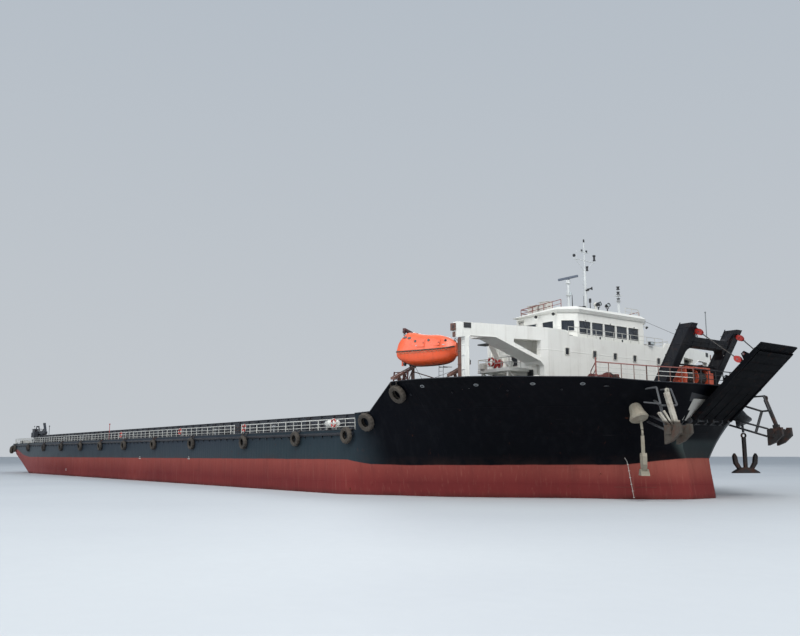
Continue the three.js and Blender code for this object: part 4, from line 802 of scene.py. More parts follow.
# every CAD node that stays in sight gets its finish here
CAD_FINISH = {
    "cargo_wall_starboard": WALL_P, "cargo_wall_port": WALL_P, "cargo_wall_aft": WALL_P,
    "deckhouse": WHITE, "wheelhouse": WHITE, "wheelhouse_roof": WHITE,
    "wing_arch_starboard": WHITE, "wing_arch_port": WHITE,
    "deckhouse_door_starboard": WHITE_OLD, "deckhouse_door_port": WHITE_OLD,
    "wheelhouse_door_starboard": WHITE_OLD, "wheelhouse_door_port": WHITE_OLD,
    "main_mast": MAST_P, "radar_mast": MAST_P, "radar_scanner": RADAR_G, "signal_mast": MAST_P,
    "bow_gantry": GANTRY_P, "bow_ramp": RAMP_P, "ramp_hinge": DARK, "ramp_winch": WINCH,
    "windlass_starboard": MACHINE, "windlass_port": MACHINE,
    # the port anchors, rack and hawse pipe take darker finishes than their starboard twins: painted shade
    "hawse_pipe_starboard": ANCHOR_PALE, "hawse_pipe_port": RACK_P,
    "hanging_anchor_starboard": ANCHOR_PALE, "hanging_anchor_port": ANCHOR_SHADED,
    "anchor_rack_starboard": RACK_P, "anchor_rack_port": DARK,
    "plate_anchor_starboard": PLATE_ANCHOR_M, "plate_anchor_port": ANCHOR_SHADED,
    "davit_arms_starboard": DAVIT, "davit_arms_port": DAVIT,
    "davit_base_starboard": DAVIT_BROWN, "davit_base_port": DAVIT_BROWN,
    "skeg_starboard": HULL, "skeg_port": HULL, "rudder_starboard": HULL, "rudder_port": HULL,
    "propeller_starboard": BRONZE, "propeller_port": BRONZE,
    "crane_pedestal": CRANE_P, "crane_house": CRANE_P, "crane_boom": CRANE_P, "boom_rest": CRANE_P,
    "sheer_rail_starboard": BLACK, "sheer_rail_port": BLACK, "guard_rail_starboard": RAIL_P, "guard_rail_port": RAIL_P,
    "bow_rail": RAIL_P, "hull": HULL, "bulwark": HULL, "lifeboat_starboard": ORANGE, "lifeboat_port": ORANGE,
}
for node_name, mat in CAD_FINISH.items():
    obj = frame["nodes"][node_name]
    if not obj.material_slots:
        obj.data.materials.append(mat)
    for s in obj.material_slots:
        s.material = mat


def bevelled(node_name, width, segments=2, angle=35):
    """Rounds a CAD node's hard edges for the light to catch; the mesh itself stays as it is."""
    obj = frame["nodes"][node_name]
    mod = obj.modifiers.new("edge_round", "BEVEL")
    mod.width, mod.segments = width / SCALE, segments
    mod.limit_method, mod.angle_limit = "ANGLE", math.radians(angle)
    mod.harden_normals = False
    mod.use_clamp_overlap = True


# ---------------------------------------------------------------- the hull's surface
# columns: keel edge x,z,y | waterline x,z,y | boot-top x,z,y | knuckle x,z,y | sheer x,z,y
HULL_ROWS = [
    [-153.6, 3.5, 17.4, -153.6, 4.1, 18.9, -153.6, 4.7, 19.45, -153.6, 5.3, 19.6, -153.6, 7.4, 19.65],
    [-147.0, 1.75, 17.8, -147.0, 2.6, 19.2, -147.0, 3.6, 19.55, -147.0, 4.7, 19.65, -147.0, 7.4, 19.65],
    [-139.0, -0.7, 18.0, -139.0, 0.5, 19.4, -139.0, 3.2, 19.65, -139.0, 4.6, 19.65, -139.0, 7.4, 19.65],
    [-131.5, -3.0, 17.6, -131.5, 0.0, 19.5, -131.5, 3.2, 19.65, -131.5, 4.6, 19.65, -131.5, 7.4, 19.65],
    [-26.0, -3.0, 17.6, -26.0, 0.0, 19.6, -26.0, 3.2, 19.65, -26.0, 4.6, 19.65, -26.0, 7.4, 19.65],
    [-22.9, -3.0, 16.8, -22.9, 0.0, 18.5, -22.9, 2.8, 19.1, -22.9, 4.6, 19.45, -22.9, 7.4, 19.7],
    [-20.46, -3.0, 15.5, -20.46, 0.0, 17.15, -20.46, 2.7, 17.85, -20.46, 4.6, 18.45, -20.46, 7.45, 19.7],
    [-17.3, -3.0, 13.9, -17.3, 0.0, 15.85, -17.3, 2.7, 16.5, -17.3, 4.6, 17.15, -17.3, 9.9, 19.7],
    [-15.4, -3.0, 12.8, -15.4, 0.0, 14.9, -15.4, 2.7, 15.6, -15.4, 4.6, 16.3, -15.4, 9.9, 19.7],
    [-12.4, -3.0, 9.2, -10.8, 0.0, 11.3, -10.6, 2.7, 11.9, -10.2, 4.6, 13.0, -9.4, 9.85, 18.2],
    [-9.5, -3.0, 5.6, -7.0, 0.0, 7.8, -6.8, 2.8, 8.3, -6.4, 4.6, 9.5, -5.0, 9.7, 15.6],
    [-7.0, -3.0, 3.9, -3.1, 0.0, 5.6, -3.6, 3.0, 6.1, -3.6, 4.6, 7.2, -3.2, 9.65, 13.9],
    [-6.2, -3.0, 2.9, -1.6, 0.0, 4.2, -2.3, 3.1, 4.5, -2.1, 4.6, 5.4, -1.2, 9.6, 11.8],
    [-5.8, -3.0, 2.0, -0.85, 0.0, 3.0, -1.4, 3.3, 3.1, -1.0, 4.6, 3.8, 0.95, 9.33, 8.3],
    [-5.4, -3.0, 1.2, 0.0, 0.0, 1.6, -0.45, 3.4, 1.65, -0.3, 4.6, 2.4, 2.8, 9.18, 4.8],
]
CARGO_Z, FORE_Z, STEP_X, FORE_AFT_X, SHELL_T = 5.9, 8.9, -22.9, -18.4, 0.22


def pchip(xs, ys):
    n = len(xs)
    h = [xs[i + 1] - xs[i] for i in range(n - 1)]
    d = [(ys[i + 1] - ys[i]) / h[i] for i in range(n - 1)]
    m = [d[0]] + [0.0] * (n - 2) + [d[-1]]
    for i in range(1, n - 1):
        if d[i - 1] * d[i] > 0:
            w1, w2 = 2 * h[i] + h[i - 1], h[i] + 2 * h[i - 1]
            m[i] = (w1 + w2) / (w1 / d[i - 1] + w2 / d[i])

    def f(x):
        i = min(max(bisect.bisect_right(xs, x) - 1, 0), n - 2)
        t = (x - xs[i]) / h[i]
        return ((1 + 2 * t) * (1 - t) ** 2 * ys[i] + t * (1 - t) ** 2 * h[i] * m[i]
                + t * t * (3 - 2 * t) * ys[i + 1] + t * t * (t - 1) * h[i] * m[i + 1])
    return f


def stations():
    """Smoothly faired rows between the table's rows, close together at the bow."""
    rows = HULL_ROWS
    s = [0.0]
    for a, b in zip(rows, rows[1:]):
        s.append(s[-1] + 0.5 * (math.dist(a[3:6], b[3:6]) + math.dist(a[12:15], b[12:15])))
    curves = [pchip(s, [r[k] for r in rows]) for k in range(15)]
    out = []
    for i in range(len(rows) - 1):
        L, x = s[i + 1] - s[i], rows[i][12]
        step = 14.0 if -131.6 < x < -27 else (2.2 if x < -131.6 else 0.62)
        n = max(1, math.ceil(L / step))
        for k in range(n):
            out.append([c(s[i] + L * k / n) for c in curves])
            if x < -15.5:  # the step in the sheer stays straight
                a, b = rows[i], rows[i + 1]
                out[-1][13] = a[13] + (b[13] - a[13]) * (out[-1][12] - a[12]) / (b[12] - a[12])
    out.append([c(s[-1]) for c in curves])
    return out


STATIONS = stations()
FLARE_STEPS = 7


def section(r):
    """Half a section, keel edge to sheer, as (x, y, z) with y outwards."""
    k, w, b, kn, sh = [(r[i], r[i + 2], r[i + 1]) for i in (0, 3, 6, 9, 12)]
    pts = []
    for i in range(7):
        t = i / 7
        fx, fy, fz = t, 1 - (1 - t) ** 2.6, t ** 2.1
        pts.append((k[0] + (w[0] - k[0]) * fx, k[1] + (w[1] - k[1]) * fy, k[2] + (w[2] - k[2]) * fz))
    for a, c in ((w, b), (b, kn)):
        for t in (0, 0.34, 0.67):
            pts.append(tuple(a[j] + (c[j] - a[j]) * t for j in range(3)))
    for i in range(FLARE_STEPS + 1):
        t = i / FLARE_STEPS
        f = 0.68 * t + 0.32 * t * t
        pts.append((kn[0] + (sh[0] - kn[0]) * f, kn[1] + (sh[1] - kn[1]) * f, kn[2] + (sh[2] - kn[2]) * t))
    return pts


SECTIONS = [section(r) for r in STATIONS]


def at_height(sec, z):
    """The point of a half section at a height, counted from its sheer down."""
    for a, b in zip(reversed(sec[:-1]), reversed(sec)):
        if a[2] <= z <= b[2] and b[2] > a[2]:
            t = (z - a[2]) / (b[2] - a[2])
            return tuple(a[j] + (b[j] - a[j]) * t for j in range(3))
    return sec[-1] if z > sec[-1][2] else sec[0]


def shell_point(x, z, side=-1, out=0.0):
    """The point of the side plating at ship's x and height z, and its outward normal."""
    def y_at(xx, zz):
        pts = [at_height(s, zz) for s in SECTIONS]
        for a, b in zip(pts, pts[1:]):
            if a[0] <= xx <= b[0] and b[0] > a[0]:
                t = (xx - a[0]) / (b[0] - a[0])
                return a[1] + (b[1] - a[1]) * t
        return pts[-1][1]
    y, e = y_at(x, z), 0.05
    n = Vector((-(y_at(x + e, z) - y_at(x - e, z)) / (2 * e), 1.0, -(y_at(x, z + e) - y_at(x, z - e)) / (2 * e))).normalized()
    p = Vector((x, y, z)) + n * out
    return Vector((p.x, p.y * side, p.z)), Vector((n.x, n.y * side, n.z))


def sheer_x(x):
    """Sheer height and half-breadth at ship's x."""
    for a, b in zip(STATIONS, STATIONS[1:]):
        if a[12] <= x <= b[12]:
            t = (x - a[12]) / (b[12] - a[12])
            return a[13] + (b[13] - a[13]) * t, a[14] + (b[14] - a[14]) * t
    return STATIONS[-1][13], STATIONS[-1][14]


def offset_half(pts, t):
    """A half outline (aft to forward, y outwards) moved inboard by t, its last corner mitred across the front."""
    full = list(pts) + [(pts[-1][0], 0.0)]
    out = []
    for i in range(len(pts)):
        p = Vector(full[i][:2])
        e2 = (Vector(full[i + 1][:2]) - p).normalized()
        e1 = (p - Vector(full[i - 1][:2])).normalized() if i else e2
        n1, n2 = Vector((e1.y, -e1.x)), Vector((e2.y, -e2.x))
        b = (n1 + n2).normalized()
        q = p + b * (t / max(0.3, b.dot(n1)))
        out.append((q.x, q.y))
    return out


def symmetric_ring(half):
    return [(x, -y, z) for x, y, z in half] + [(x, y, z) for x, y, z in reversed(half)]


def solid_object(mesh, name):
    me = bpy.data.meshes.new(name)
    me.from_pydata([row(p) for p in mesh.v], [], mesh.f)
    bm = bmesh.new()
    bm.from_mesh(me)
    bmesh.ops.remove_doubles(bm, verts=bm.verts, dist=1e-6)
    bmesh.ops.triangulate(bm, faces=[f for f in bm.faces if len(f.verts) > 3])
    bmesh.ops.recalc_face_normals(bm, faces=bm.faces)
    if bm.calc_volume(signed=True) < 0:
        bmesh.ops.reverse_faces(bm, faces=bm.faces)
    bm.to_mesh(me)
    bm.free()
    obj = bpy.data.objects.new(name, me)
    scene.collection.objects.link(obj)
    return obj


def cut_by(obj, cutters):
    """Boolean differences, applied; the cutters are removed."""
    for c in cutters:
        mod = obj.modifiers.new("cut", "BOOLEAN")
        mod.operation, mod.solver, mod.object = "DIFFERENCE", "EXACT", c
    bpy.context.view_layer.update()
    dg = bpy.context.evaluated_depsgraph_get()
    me = bpy.data.meshes.new_from_object(obj.evaluated_get(dg))
    obj.modifiers.clear()
    obj.data = me
    for c in cutters:
        bpy.data.objects.remove(c)


def hull_shell():
    m = Mesh()
    m.loft([symmetric_ring(s) for s in SECTIONS])
    hull = solid_object(m, "hull_shell")
    cutters = [Mesh().box(-162, STEP_X, -25, 25, CARGO_Z, 14, ch=0)]
    # over the side decks, inside the plates that slope down from the forecastle
    step = []
    for s in SECTIONS:
        if step and step[-1][0] > FORE_AFT_X:
            break
        if s[-1][0] < STEP_X - 0.01:
            continue
        zs, half = s[-1][2], []
        for k in range(6):
            p = at_height(s, CARGO_Z + (zs - CARGO_Z) * k / 5)
            half.append((p[1] - SHELL_T, CARGO_Z + (zs - CARGO_Z) * k / 5))
        half.append((half[-1][0], 14))
        step.append((s[-1][0], half))
    last = step[-1]
    if last[0] > FORE_AFT_X:
        a, b = step[-2], last
        t = (FORE_AFT_X - a[0]) / (b[0] - a[0])
        step[-1] = (FORE_AFT_X, [tuple(p[j] + (q[j] - p[j]) * t for j in (0, 1)) for p, q in zip(a[1], b[1])])
    step.insert(0, (STEP_X - 1.0, step[0][1]))
    cutters.append(Mesh().loft([symmetric_ring([(x, y, z) for y, z in half]) for x, half in step]))
    # over the forecastle deck, inside the bulwark
    fore = [s for s in SECTIONS if s[-1][0] > FORE_AFT_X]
    levels = []
    for k in range(6):
        pts = []
        for s in fore:
            zs = s[-1][2]
            z = FORE_Z + (zs - FORE_Z) * k / 5
            p = at_height(s, z)
            pts.append((p[0], p[1], z))
        pts.insert(0, (-18.9, pts[0][1], pts[0][2]))
        off = offset_half(pts, SHELL_T)
        levels.append([(x, y, p[2]) for (x, y), p in zip(off, pts)])
    levels.append([(x, y, 14) for x, y, _ in levels[-1]])
    cutters.append(Mesh().loft([symmetric_ring(h) for h in levels]))
    # the recess for the ramp's foot
    cutters.append(Mesh().slab([(0.2, -3.2, 6.05), (4, -3.2, 6.05), (4, -3.2, 8.0), (1.05, -3.2, 8.0)], (0, 6.4, 0)))
    cut_by(hull, [solid_object(c, "cutter") for c in cutters])
    me = hull.data
    me.materials.clear()
    for mt in (HULL, DECK, FORE_DECK, GREY, WHITE_OLD, DARK):
        me.materials.append(mt)
    for p in me.polygons:
        c, n = p.center, p.normal
        X, Y, Z = c.x * SCALE + X_MID, c.y * SCALE, c.z * SCALE - DRAFT
        k = 0
        if n.z > 0.9 and abs(Z - CARGO_Z) < 0.03:
            k = 1
        elif n.z > 0.9 and abs(Z - FORE_Z) < 0.03:
            k = 2
        elif X > STEP_X - 0.1 and Z > CARGO_Z and abs(n.z) < 0.85 and (n.y * Y < -0.25 * abs(Y) or n.x < -0.3):
            k = 3 if X > FORE_AFT_X + 0.1 else 4
        if 0.1 < X < 3.3 and abs(Y) <= 3.21 and 6.0 < Z < 8.05 and (n.x > 0.5 or abs(n.z) > 0.6 or abs(n.y) > 0.7):
            k = 5
        p.material_index = k
    weighted(me, 30)
    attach(hull, "root")
    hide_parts("hull", "bulwark")
    return hull


hull_shell()


# ---------------------------------------------------------------- small parts used in many places
def link_chain(m, pts, pitch, r, mat=0, sides=5):
    """Oval links along a line of points, every second one turned a quarter."""
    pts = [Vector(p) for p in pts]
    seg = [(b - a).length for a, b in zip(pts, pts[1:])]
    total = sum(seg)
    n = max(1, round(total / pitch))

    def at(s):
        for a, b, L in zip(pts, pts[1:], seg):
            if s <= L + 1e-9:
                return a + (b - a) * (s / L), (b - a).normalized()
            s -= L
        return pts[-1], (pts[-1] - pts[-2]).normalized()
    for i in range(n):
        c, t = at((i + 0.5) * total / n)
        side = t.orthogonal().normalized()
        if i % 2:
            side = t.cross(side)
        half, wide = total / n * 0.5 + r * 1.1, total / n * 0.36
        loop = []
        for k in range(10):
            a = 2 * math.pi * k / 10
            loop.append(c + t * (math.cos(a) * half) + side * (math.sin(a) * wide))
        m.tube(loop, r, sides, closed=True, mat=mat)


def tyre(m, c, R, axis, mat=0, thick=0.2, n=56):
    """A lorry tyre: lugged tread, rounded shoulders, open casing with its bead."""
    prof = [(R * 0.50, -0.62), (R * 0.56, -0.86), (R * 0.74, -1.0), (R * 0.90, -0.92), (R * 0.975, -0.74), (R, -0.42), (R, 0.42),
            (R * 0.975, 0.74), (R * 0.90, 0.92), (R * 0.74, 1.0), (R * 0.56, 0.86), (R * 0.50, 0.62), (R * 0.56, 0.6), (R * 0.80, 0.68),
            (R * 0.88, 0.0), (R * 0.80, -0.68), (R * 0.56, -0.6)]
    c, d = Vector(c), Vector(axis).normalized()
    u = d.orthogonal().normalized()
    w = d.cross(u)
    vs, k = [], len(prof)
    for i, (r, h) in enumerate(prof):
        for j in range(n):
            rr, a = r, 2 * math.pi * (j + (0.5 if h < 0 else 0.0)) / n
            if 4 <= i <= 7 and (j // 2) % 2:
                rr -= 0.045 * R
            vs.append(c + d * (h * thick) + (u * math.cos(a) + w * math.sin(a)) * rr)
    fs = []
    for i in range(k):
        for j in range(n):
            a, b, e, f = i * n + j, i * n + (j + 1) % n, ((i + 1) % k) * n + (j + 1) % n, ((i + 1) % k) * n + j
            fs.append([a, b, e, f])
    m.add(vs, fs, mat)
    # moulded ribs on the sidewalls
    for s in (-1, 1):
        for rr in (0.80, 0.66):
            m.tube([c + d * (s * thick * 0.985) + (u * math.cos(2 * math.pi * j / 40) + w * math.sin(2 * math.pi * j / 40)) * R * rr for j in range(40)], 0.014, 4, closed=True, mat=mat)


def bolt_row(m, a, b, n, r, d, mat=0):
    """Hexagon heads in a line, standing out along d."""
    a, b, d = Vector(a), Vector(b), Vector(d).normalized()
    for i in range(n):
        p = a + (b - a) * (i / max(1, n - 1))
        m.lathe([(r, -0.01), (r, r * 0.7), (r * 0.8, r * 0.95)], p, d, 6, mat)


def lifebuoy(m, c, axis, R=0.36, r=0.075, red=0, white=1):
    """A ring buoy with four lighter bands and its grab line."""
    c, d = Vector(c), Vector(axis).normalized()
    u = (Vector((0, 0, 1)) - d * d.z).normalized()
    w = d.cross(u)
    ring = lambda a, rr=R, o=0.0: c + d * o + (u * math.cos(a) + w * math.sin(a)) * rr
    for q in range(4):
        a0 = math.pi / 2 * q + math.radians(12)
        a1 = math.pi / 2 * (q + 1) - math.radians(12)
        m.tube([ring(a0 + (a1 - a0) * k / 7) for k in range(8)], r, 10, mat=red)
        b0, b1 = math.pi / 2 * q - math.radians(13), math.pi / 2 * q + math.radians(13)
        m.tube([ring(b0 + (b1 - b0) * k / 3) for k in range(4)], r * 1.06, 10, mat=white)
        m.tube([ring(a0 + (a1 - a0) * k / 8, R + r * (1.15 + 0.8 * math.sin(math.pi * k / 8))) for k in range(9)], 0.014, 5, mat=white)


def ladder(m, foot, head, width, across, mat=0, pitch=0.3, r=0.028, rr=0.018):
    """Two stiles and their rungs; `across` is the direction from stile to stile."""
    foot, head, s = Vector(foot), Vector(head), Vector(across).normalized() * (width / 2)
    for k in (-1, 1):
        m.tube([foot + s * k, head + s * k], r, 6, mat=mat)
    n = max(2, int((head - foot).length / pitch))
    for i in range(n):
        p = foot + (head - foot) * ((i + 0.5) / n)
        m.tube([p - s, p + s], rr, 5, mat=mat)


def hand_rail(m, pts, h=1.0, pitch=1.6, r=0.04, rows=(1.0, 0.52), mat=0, post_mat=None, n=6, toe=0.0, up=(0, 0, 1)):
    """Rails through the points with posts on every corner and between them."""
    pts, up = [Vector(p) for p in pts], Vector(up)
    for f in rows:
        m.tube([p + up * (h * f) for p in pts], r if f == rows[0] else r * 0.72, n, mat=mat)
    done = []
    for a, b in zip(pts, pts[1:]):
        k = max(1, round((b - a).length / pitch))
        for i in range(k + 1):
            p = a + (b - a) * (i / k)
            if any((p - q).length < 0.2 for q in done):
                continue
            done.append(p)
            m.tube([p, p + up * h], r, n, mat=mat if post_mat is None else post_mat)
    if toe:
        for a, b in zip(pts, pts[1:]):
            m.beam(a + up * (toe / 2), b + up * (toe / 2), 0.03, toe, 0.006, mat)


# ---------------------------------------------------------------- sheer bar, tyres, guard rails
TYRES = [(-150.6, 4.95, 0.72), (-139.5, 5.0, 0.7), (-128.0, 5.0, 0.7), (-116.4, 5.0, 0.7), (-105.0, 5.0, 0.7), (-94.6, 5.0, 0.7),
         (-83.6, 5.0, 0.7), (-71.8, 5.0, 0.7), (-59.0, 5.0, 0.72), (-44.7, 5.0, 0.75), (-33.2, 5.2, 0.75), (-23.9, 5.4, 0.78)]
DECK_Z, FORE_TOP = 5.904, 8.904


def side_dress():
    rnd = random.Random(11)
    m = Mesh()
    # the sheer bar: a half round over a flat, in lengths with a seam between
    x = -153.4
    while x < -23.1 - 0.01:
        x1 = min(x + 9.3, -23.1)
        m.box(x + 0.01, x1 - 0.01, -19.81, -19.654, 5.41, 5.69, 0.035, 0)
        x = x1
    m.tube([(-153.4, -19.80, 5.55), (-23.1, -19.80, 5.55)], 0.075, 10, mat=0)
    for i in range(81):  # brackets under the bar
        bx = -152.6 + i * 1.6125
        m.slab([(bx - 0.02, -19.655, 5.41), (bx - 0.02, -19.79, 5.41), (bx - 0.02, -19.655, 5.12)], (0.04, 0, 0), 0)
    # gunwale angle along the side deck's edge
    m.box(-153.4, -23.1, -19.66, -19.5, 5.905, 5.985, 0.02, 0)
    for tx, tz, R in TYRES:
        dz, sag = rnd.uniform(-0.03, 0.03), rnd.uniform(-0.02, 0.02)
        tyre(m, (tx, -19.98, tz), R, (rnd.uniform(-0.04, 0.04), 1, 0.05 + sag), 1)
        for k in (-1, 1):
            top = (tx + k * R * 0.62, -19.56, 6.0)
            edge = (tx + k * R * 0.60, -19.84, 5.86)
            hang = (tx + k * R * 0.34, -20.02, tz + R * 0.70 + dz)
            inner = (tx + k * R * 0.24, -20.0, tz + R * 0.52)
            link_chain(m, [top, edge, hang, inner], 0.15, 0.022, 2)
            m.obox((tx + k * R * 0.62, -19.56, 6.0), (1, 0, 0), (0, 1, 0), (0, 0, 1), (0.05, 0.03, 0.08), 0.012, 0)
    sb = make("sheer_rail_dress_starboard", m, [BLACK, RUBBER, CHAIN], replaces=["sheer_rail_starboard"])
    make("sheer_rail_dress_port", m.mirrored(), [BLACK, RUBBER, CHAIN], replaces=["sheer_rail_port"])
    return sb


side_dress()


def guard_rails():
    for side, name in ((-1, "starboard"), (1, "port")):
        rnd = random.Random(5 + side)
        m = Mesh()
        x0, x1, y, z0, top = -152.5, -23.4, 19.3 * side, DECK_Z, 7.0
        gate = (-48.3, -46.45)
        n = round((x1 - x0) / 1.6125)
        posts = [x0 + (x1 - x0) * i / n for i in range(n + 1)]
        spans = [(x0 - 0.05, gate[0]), (gate[1], x1 + 0.05)]
        for a, b in spans:
            for z, r in ((top - 0.03, 0.052), (top - 0.42, 0.032), (top - 0.75, 0.03)):
                pts, k = [], max(2, int((b - a) / 1.61))
                for i in range(k + 1):
                    pts.append((a + (b - a) * i / k, y + rnd.uniform(-0.012, 0.012), z + rnd.uniform(-0.012, 0.008)))
                m.tube(pts, r, 8, mat=0)
        for i, px in enumerate(posts):
            if gate[0] + 0.1 < px < gate[1] - 0.1:
                continue
            big = i % 4 == 0
            r = 0.05 if big else 0.036
            m.tube([(px, y, z0), (px, y, top - 0.03)], r, 8, mat=0)
            m.box(px - 0.1, px + 0.1, y - 0.09, y + 0.09, z0, z0 + 0.03, 0.008, 0)
            if big:  # a raking stay inboard
                m.tube([(px, y - side * 0.42, z0), (px, y, z0 + 0.72)], 0.03, 6, mat=0)
        for gx in gate:
            m.tube([(gx, y, z0), (gx, y, top + 0.06)], 0.055, 8, mat=0)
        link_chain(m, [(gate[0], y, 6.9), ((gate[0] + gate[1]) / 2, y, 6.68), (gate[1], y, 6.9)], 0.13, 0.016, 1)
        link_chain(m, [(gate[0], y, 6.5), ((gate[0] + gate[1]) / 2, y, 6.3), (gate[1], y, 6.5)], 0.13, 0.016, 1)
        make("guard_rail_dress_" + name, m, [RAIL_P, CHAIN], replaces=["guard_rail_" + name])
        b = Mesh()
        for lx in (-26.9, -45.6, -63.9, -86.5):
            lifebuoy(b, (lx, y + side * 0.13, 6.62), (0, side, 0), 0.36, 0.075, 0, 1)
            b.box(lx - 0.05, lx + 0.05, y + side * 0.02, y + side * 0.1, 6.9, 7.0, 0.01, 1)
            b.box(lx - 0.05, lx + 0.05, y + side * 0.02, y + side * 0.1, 6.24, 6.32, 0.01, 1)
        make("rail_lifebuoys_" + name, b, [RED, WHITE_OLD])


guard_rails()


# ---------------------------------------------------------------- what is set on the side plating
def shell_frame(x, z, side, out=0.0):
    """A point on the plating, with the directions along it, up it and out of it."""
    p, nrm = shell_point(x, z, side, out)
    q, _ = shell_point(x + 0.2, z, side, out)
    t = (q - p).normalized()
    up = nrm.cross(t).normalized()
    if up.z < 0:
        up = -up
    return p, t, up, nrm


FAIRLEADS = [(-13.84, 9.33), (-9.09, 9.21), (-5.14, 9.17), (-2.31, 9.12)]


def shell_fittings():
    m = Mesh()
    for side in (-1, 1):
        for x, z in FAIRLEADS:
            p, t, up, nrm = shell_frame(x, z, side, 0.0)
            for a, b, r, o, mat in ((0.16, 0.11, 0.034, 0.01, 2), (0.20, 0.145, 0.016, 0.0, 2)):
                m.tube([p + nrm * o + t * (a * math.cos(2 * math.pi * k / 24)) + up * (b * math.sin(2 * math.pi * k / 24)) for k in range(24)],
                       r, 8, closed=True, mat=mat)
            disc = [p + nrm * 0.008 + t * (0.155 * math.cos(2 * math.pi * k / 20)) + up * (0.105 * math.sin(2 * math.pi * k / 20)) for k in range(20)]
            m.slab(disc, nrm * -0.05, 1)
        # drain mouths with their short spouts, low in the bulwark
        for x in (-15.6, -11.5, -7.2, -3.8):
            p, t, up, nrm = shell_frame(x, 8.75, side, 0.0)
            m.lathe([(0.0, -0.05), (0.08, -0.05), (0.08, 0.07), (0.055, 0.07), (0.055, 0.01), (0.0, 0.01)], p, nrm, 10, 3)
    make("mooring_fairleads", m, [WHITE_OLD, DARK, GREY, BLACK])

    # tyres on the shoulder, where the step in the sheer is
    m = Mesh()
    for side in (-1, 1):
        for x, z, R in ((-21.2, 6.62, 0.86), (-16.9, 8.95, 0.86)):
            p, t, up, nrm = shell_frame(x, z, side, 0.0)
            tyre(m, p + nrm * 0.27, R, nrm, 0, 0.25)
            for k in (-1, 1):
                a = p + nrm * 0.3 + t * (k * R * 0.36) + up * (R * 0.72)
                zs, ys = sheer_x(x + k * 0.5)
                b = Vector((x + k * R * 0.5, side * (ys - 0.02), zs + 0.02))
                link_chain(m, [b, b + nrm * 0.12 - Vector((0, 0, 0.1)), a], 0.16, 0.024, 1)
        # the corner of the stern
        tyre(m, (-153.1, side * 19.9, 4.70), 0.80, (-0.55, side * 0.83, 0.06), 0, 0.25)
    make("shoulder_tyres", m, [RUBBER, CHAIN])

    # lines and plain marks, welded on as thin bars
    m = Mesh()
    for side in (-1, 1):
        for i in range(12):
            za, zb = 0.14 + i * 0.27, 0.14 + (i + 1) * 0.27
            pa, _ = shell_point(-2.95 - 0.029 * i, za, side, 0.012)
            pb, _ = shell_point(-2.95 - 0.029 * (i + 1), zb, side, 0.012)
            m.tube([pa, pb], 0.022, 5, mat=0)
            q, t, up, nrm = shell_frame(-2.95 - 0.029 * i, za, side, 0.012)
            if i % 2 == 0:
                m.obox(q, t, up, nrm, (0.075, 0.02, 0.014), 0.004, 0)
        m.tube([shell_point(-4.2 + 0.5 * k, 0.98, side, 0.01)[0] for k in range(6)], 0.018, 5, mat=1)
        for x, z in ((-113.5, 0.98), (-77.4, 3.12), (-60.2, 3.12)):
            q, t, up, nrm = shell_frame(x, z, side, 0.012)
            m.obox(q, t, up, nrm, (0.32, 0.045, 0.014), 0.004, 0)
            m.obox(q + up * 0.22, t, up, nrm, (0.16, 0.04, 0.014), 0.004, 0)
    make("shell_marks", m, [WHITE_OLD, MACHINE])


shell_fittings()


def cap_rail():
    """The flat on the bulwark's top edge, round the bow."""
    m = Mesh()
    xs = [-22.86, -22.2, -21.4, -20.5, -20.42, -19.6, -18.6, -17.4, -17.26, -16.4, -15.4]
    x = -15.0
    while x < 2.7:
        xs.append(x)
        x += 0.45
    xs.append(2.78)
    pts = []
    for x in xs:
        z, y = sheer_x(x)
        pts.append(Vector((x, -y, z)))
    pts.append(Vector((pts[-1].x + 0.02, 0, pts[-1].z)))
    rings = []
    for i, p in enumerate(pts):
        a, b = pts[max(i - 1, 0)], pts[min(i + 1, len(pts) - 1)]
        t = Vector((b.x - a.x, b.y - a.y, 0)).normalized()
        nrm = Vector((t.y, -t.x, 0))
        if nrm.dot(Vector((0.3, -1, 0))) < 0:
            nrm = -nrm
        k = 1.0
        if 0 < i < len(pts) - 1:
            e = (pts[i] - pts[i - 1]).normalized()
            k = 1 / max(0.55, Vector((e.x, e.y, 0)).normalized().dot(t))
        rings.append([p + nrm * (0.05 * k) + Vector((0, 0, -0.03)), p + nrm * (0.05 * k) + Vector((0, 0, 0.035)),
                      p - nrm * (0.27 * k) + Vector((0, 0, 0.035)), p - nrm * (0.27 * k) + Vector((0, 0, -0.03))])
    m.loft(rings)
    make("bulwark_cap_rail", m.both(), [BLACK], sharp=25)
    # stays inside the bulwark
    m = Mesh()
    for x in [-16.6 + 1.25 * i for i in range(15)]:
        z, y = sheer_x(x)
        if x > 2.2:
            break
        zz, yy = sheer_x(x + 0.1)
        t = Vector((0.1, -(yy - y), 0)).normalized()
        inb = Vector((-t.y, t.x, 0))
        if inb.y < 0:
            inb = -inb
        p = Vector((x, -y, 0)) + inb * 0.24
        foot = at_foot(x)
        m.slab([Vector((p.x, p.y, z - 0.05)), Vector((p.x, p.y, z - 0.05)) + inb * 0.08, foot + inb * 0.42, foot + inb * 0.02], t * 0.03, 0)
    make("bulwark_stays", m.both(), [GREY])


def at_foot(x):
    """Where the bulwark's inner face meets the forecastle deck on the starboard side."""
    p, nrm = shell_point(x, FORE_TOP + 0.01, -1, -0.24)
    return Vector((p.x, p.y, FORE_TOP))


cap_rail()


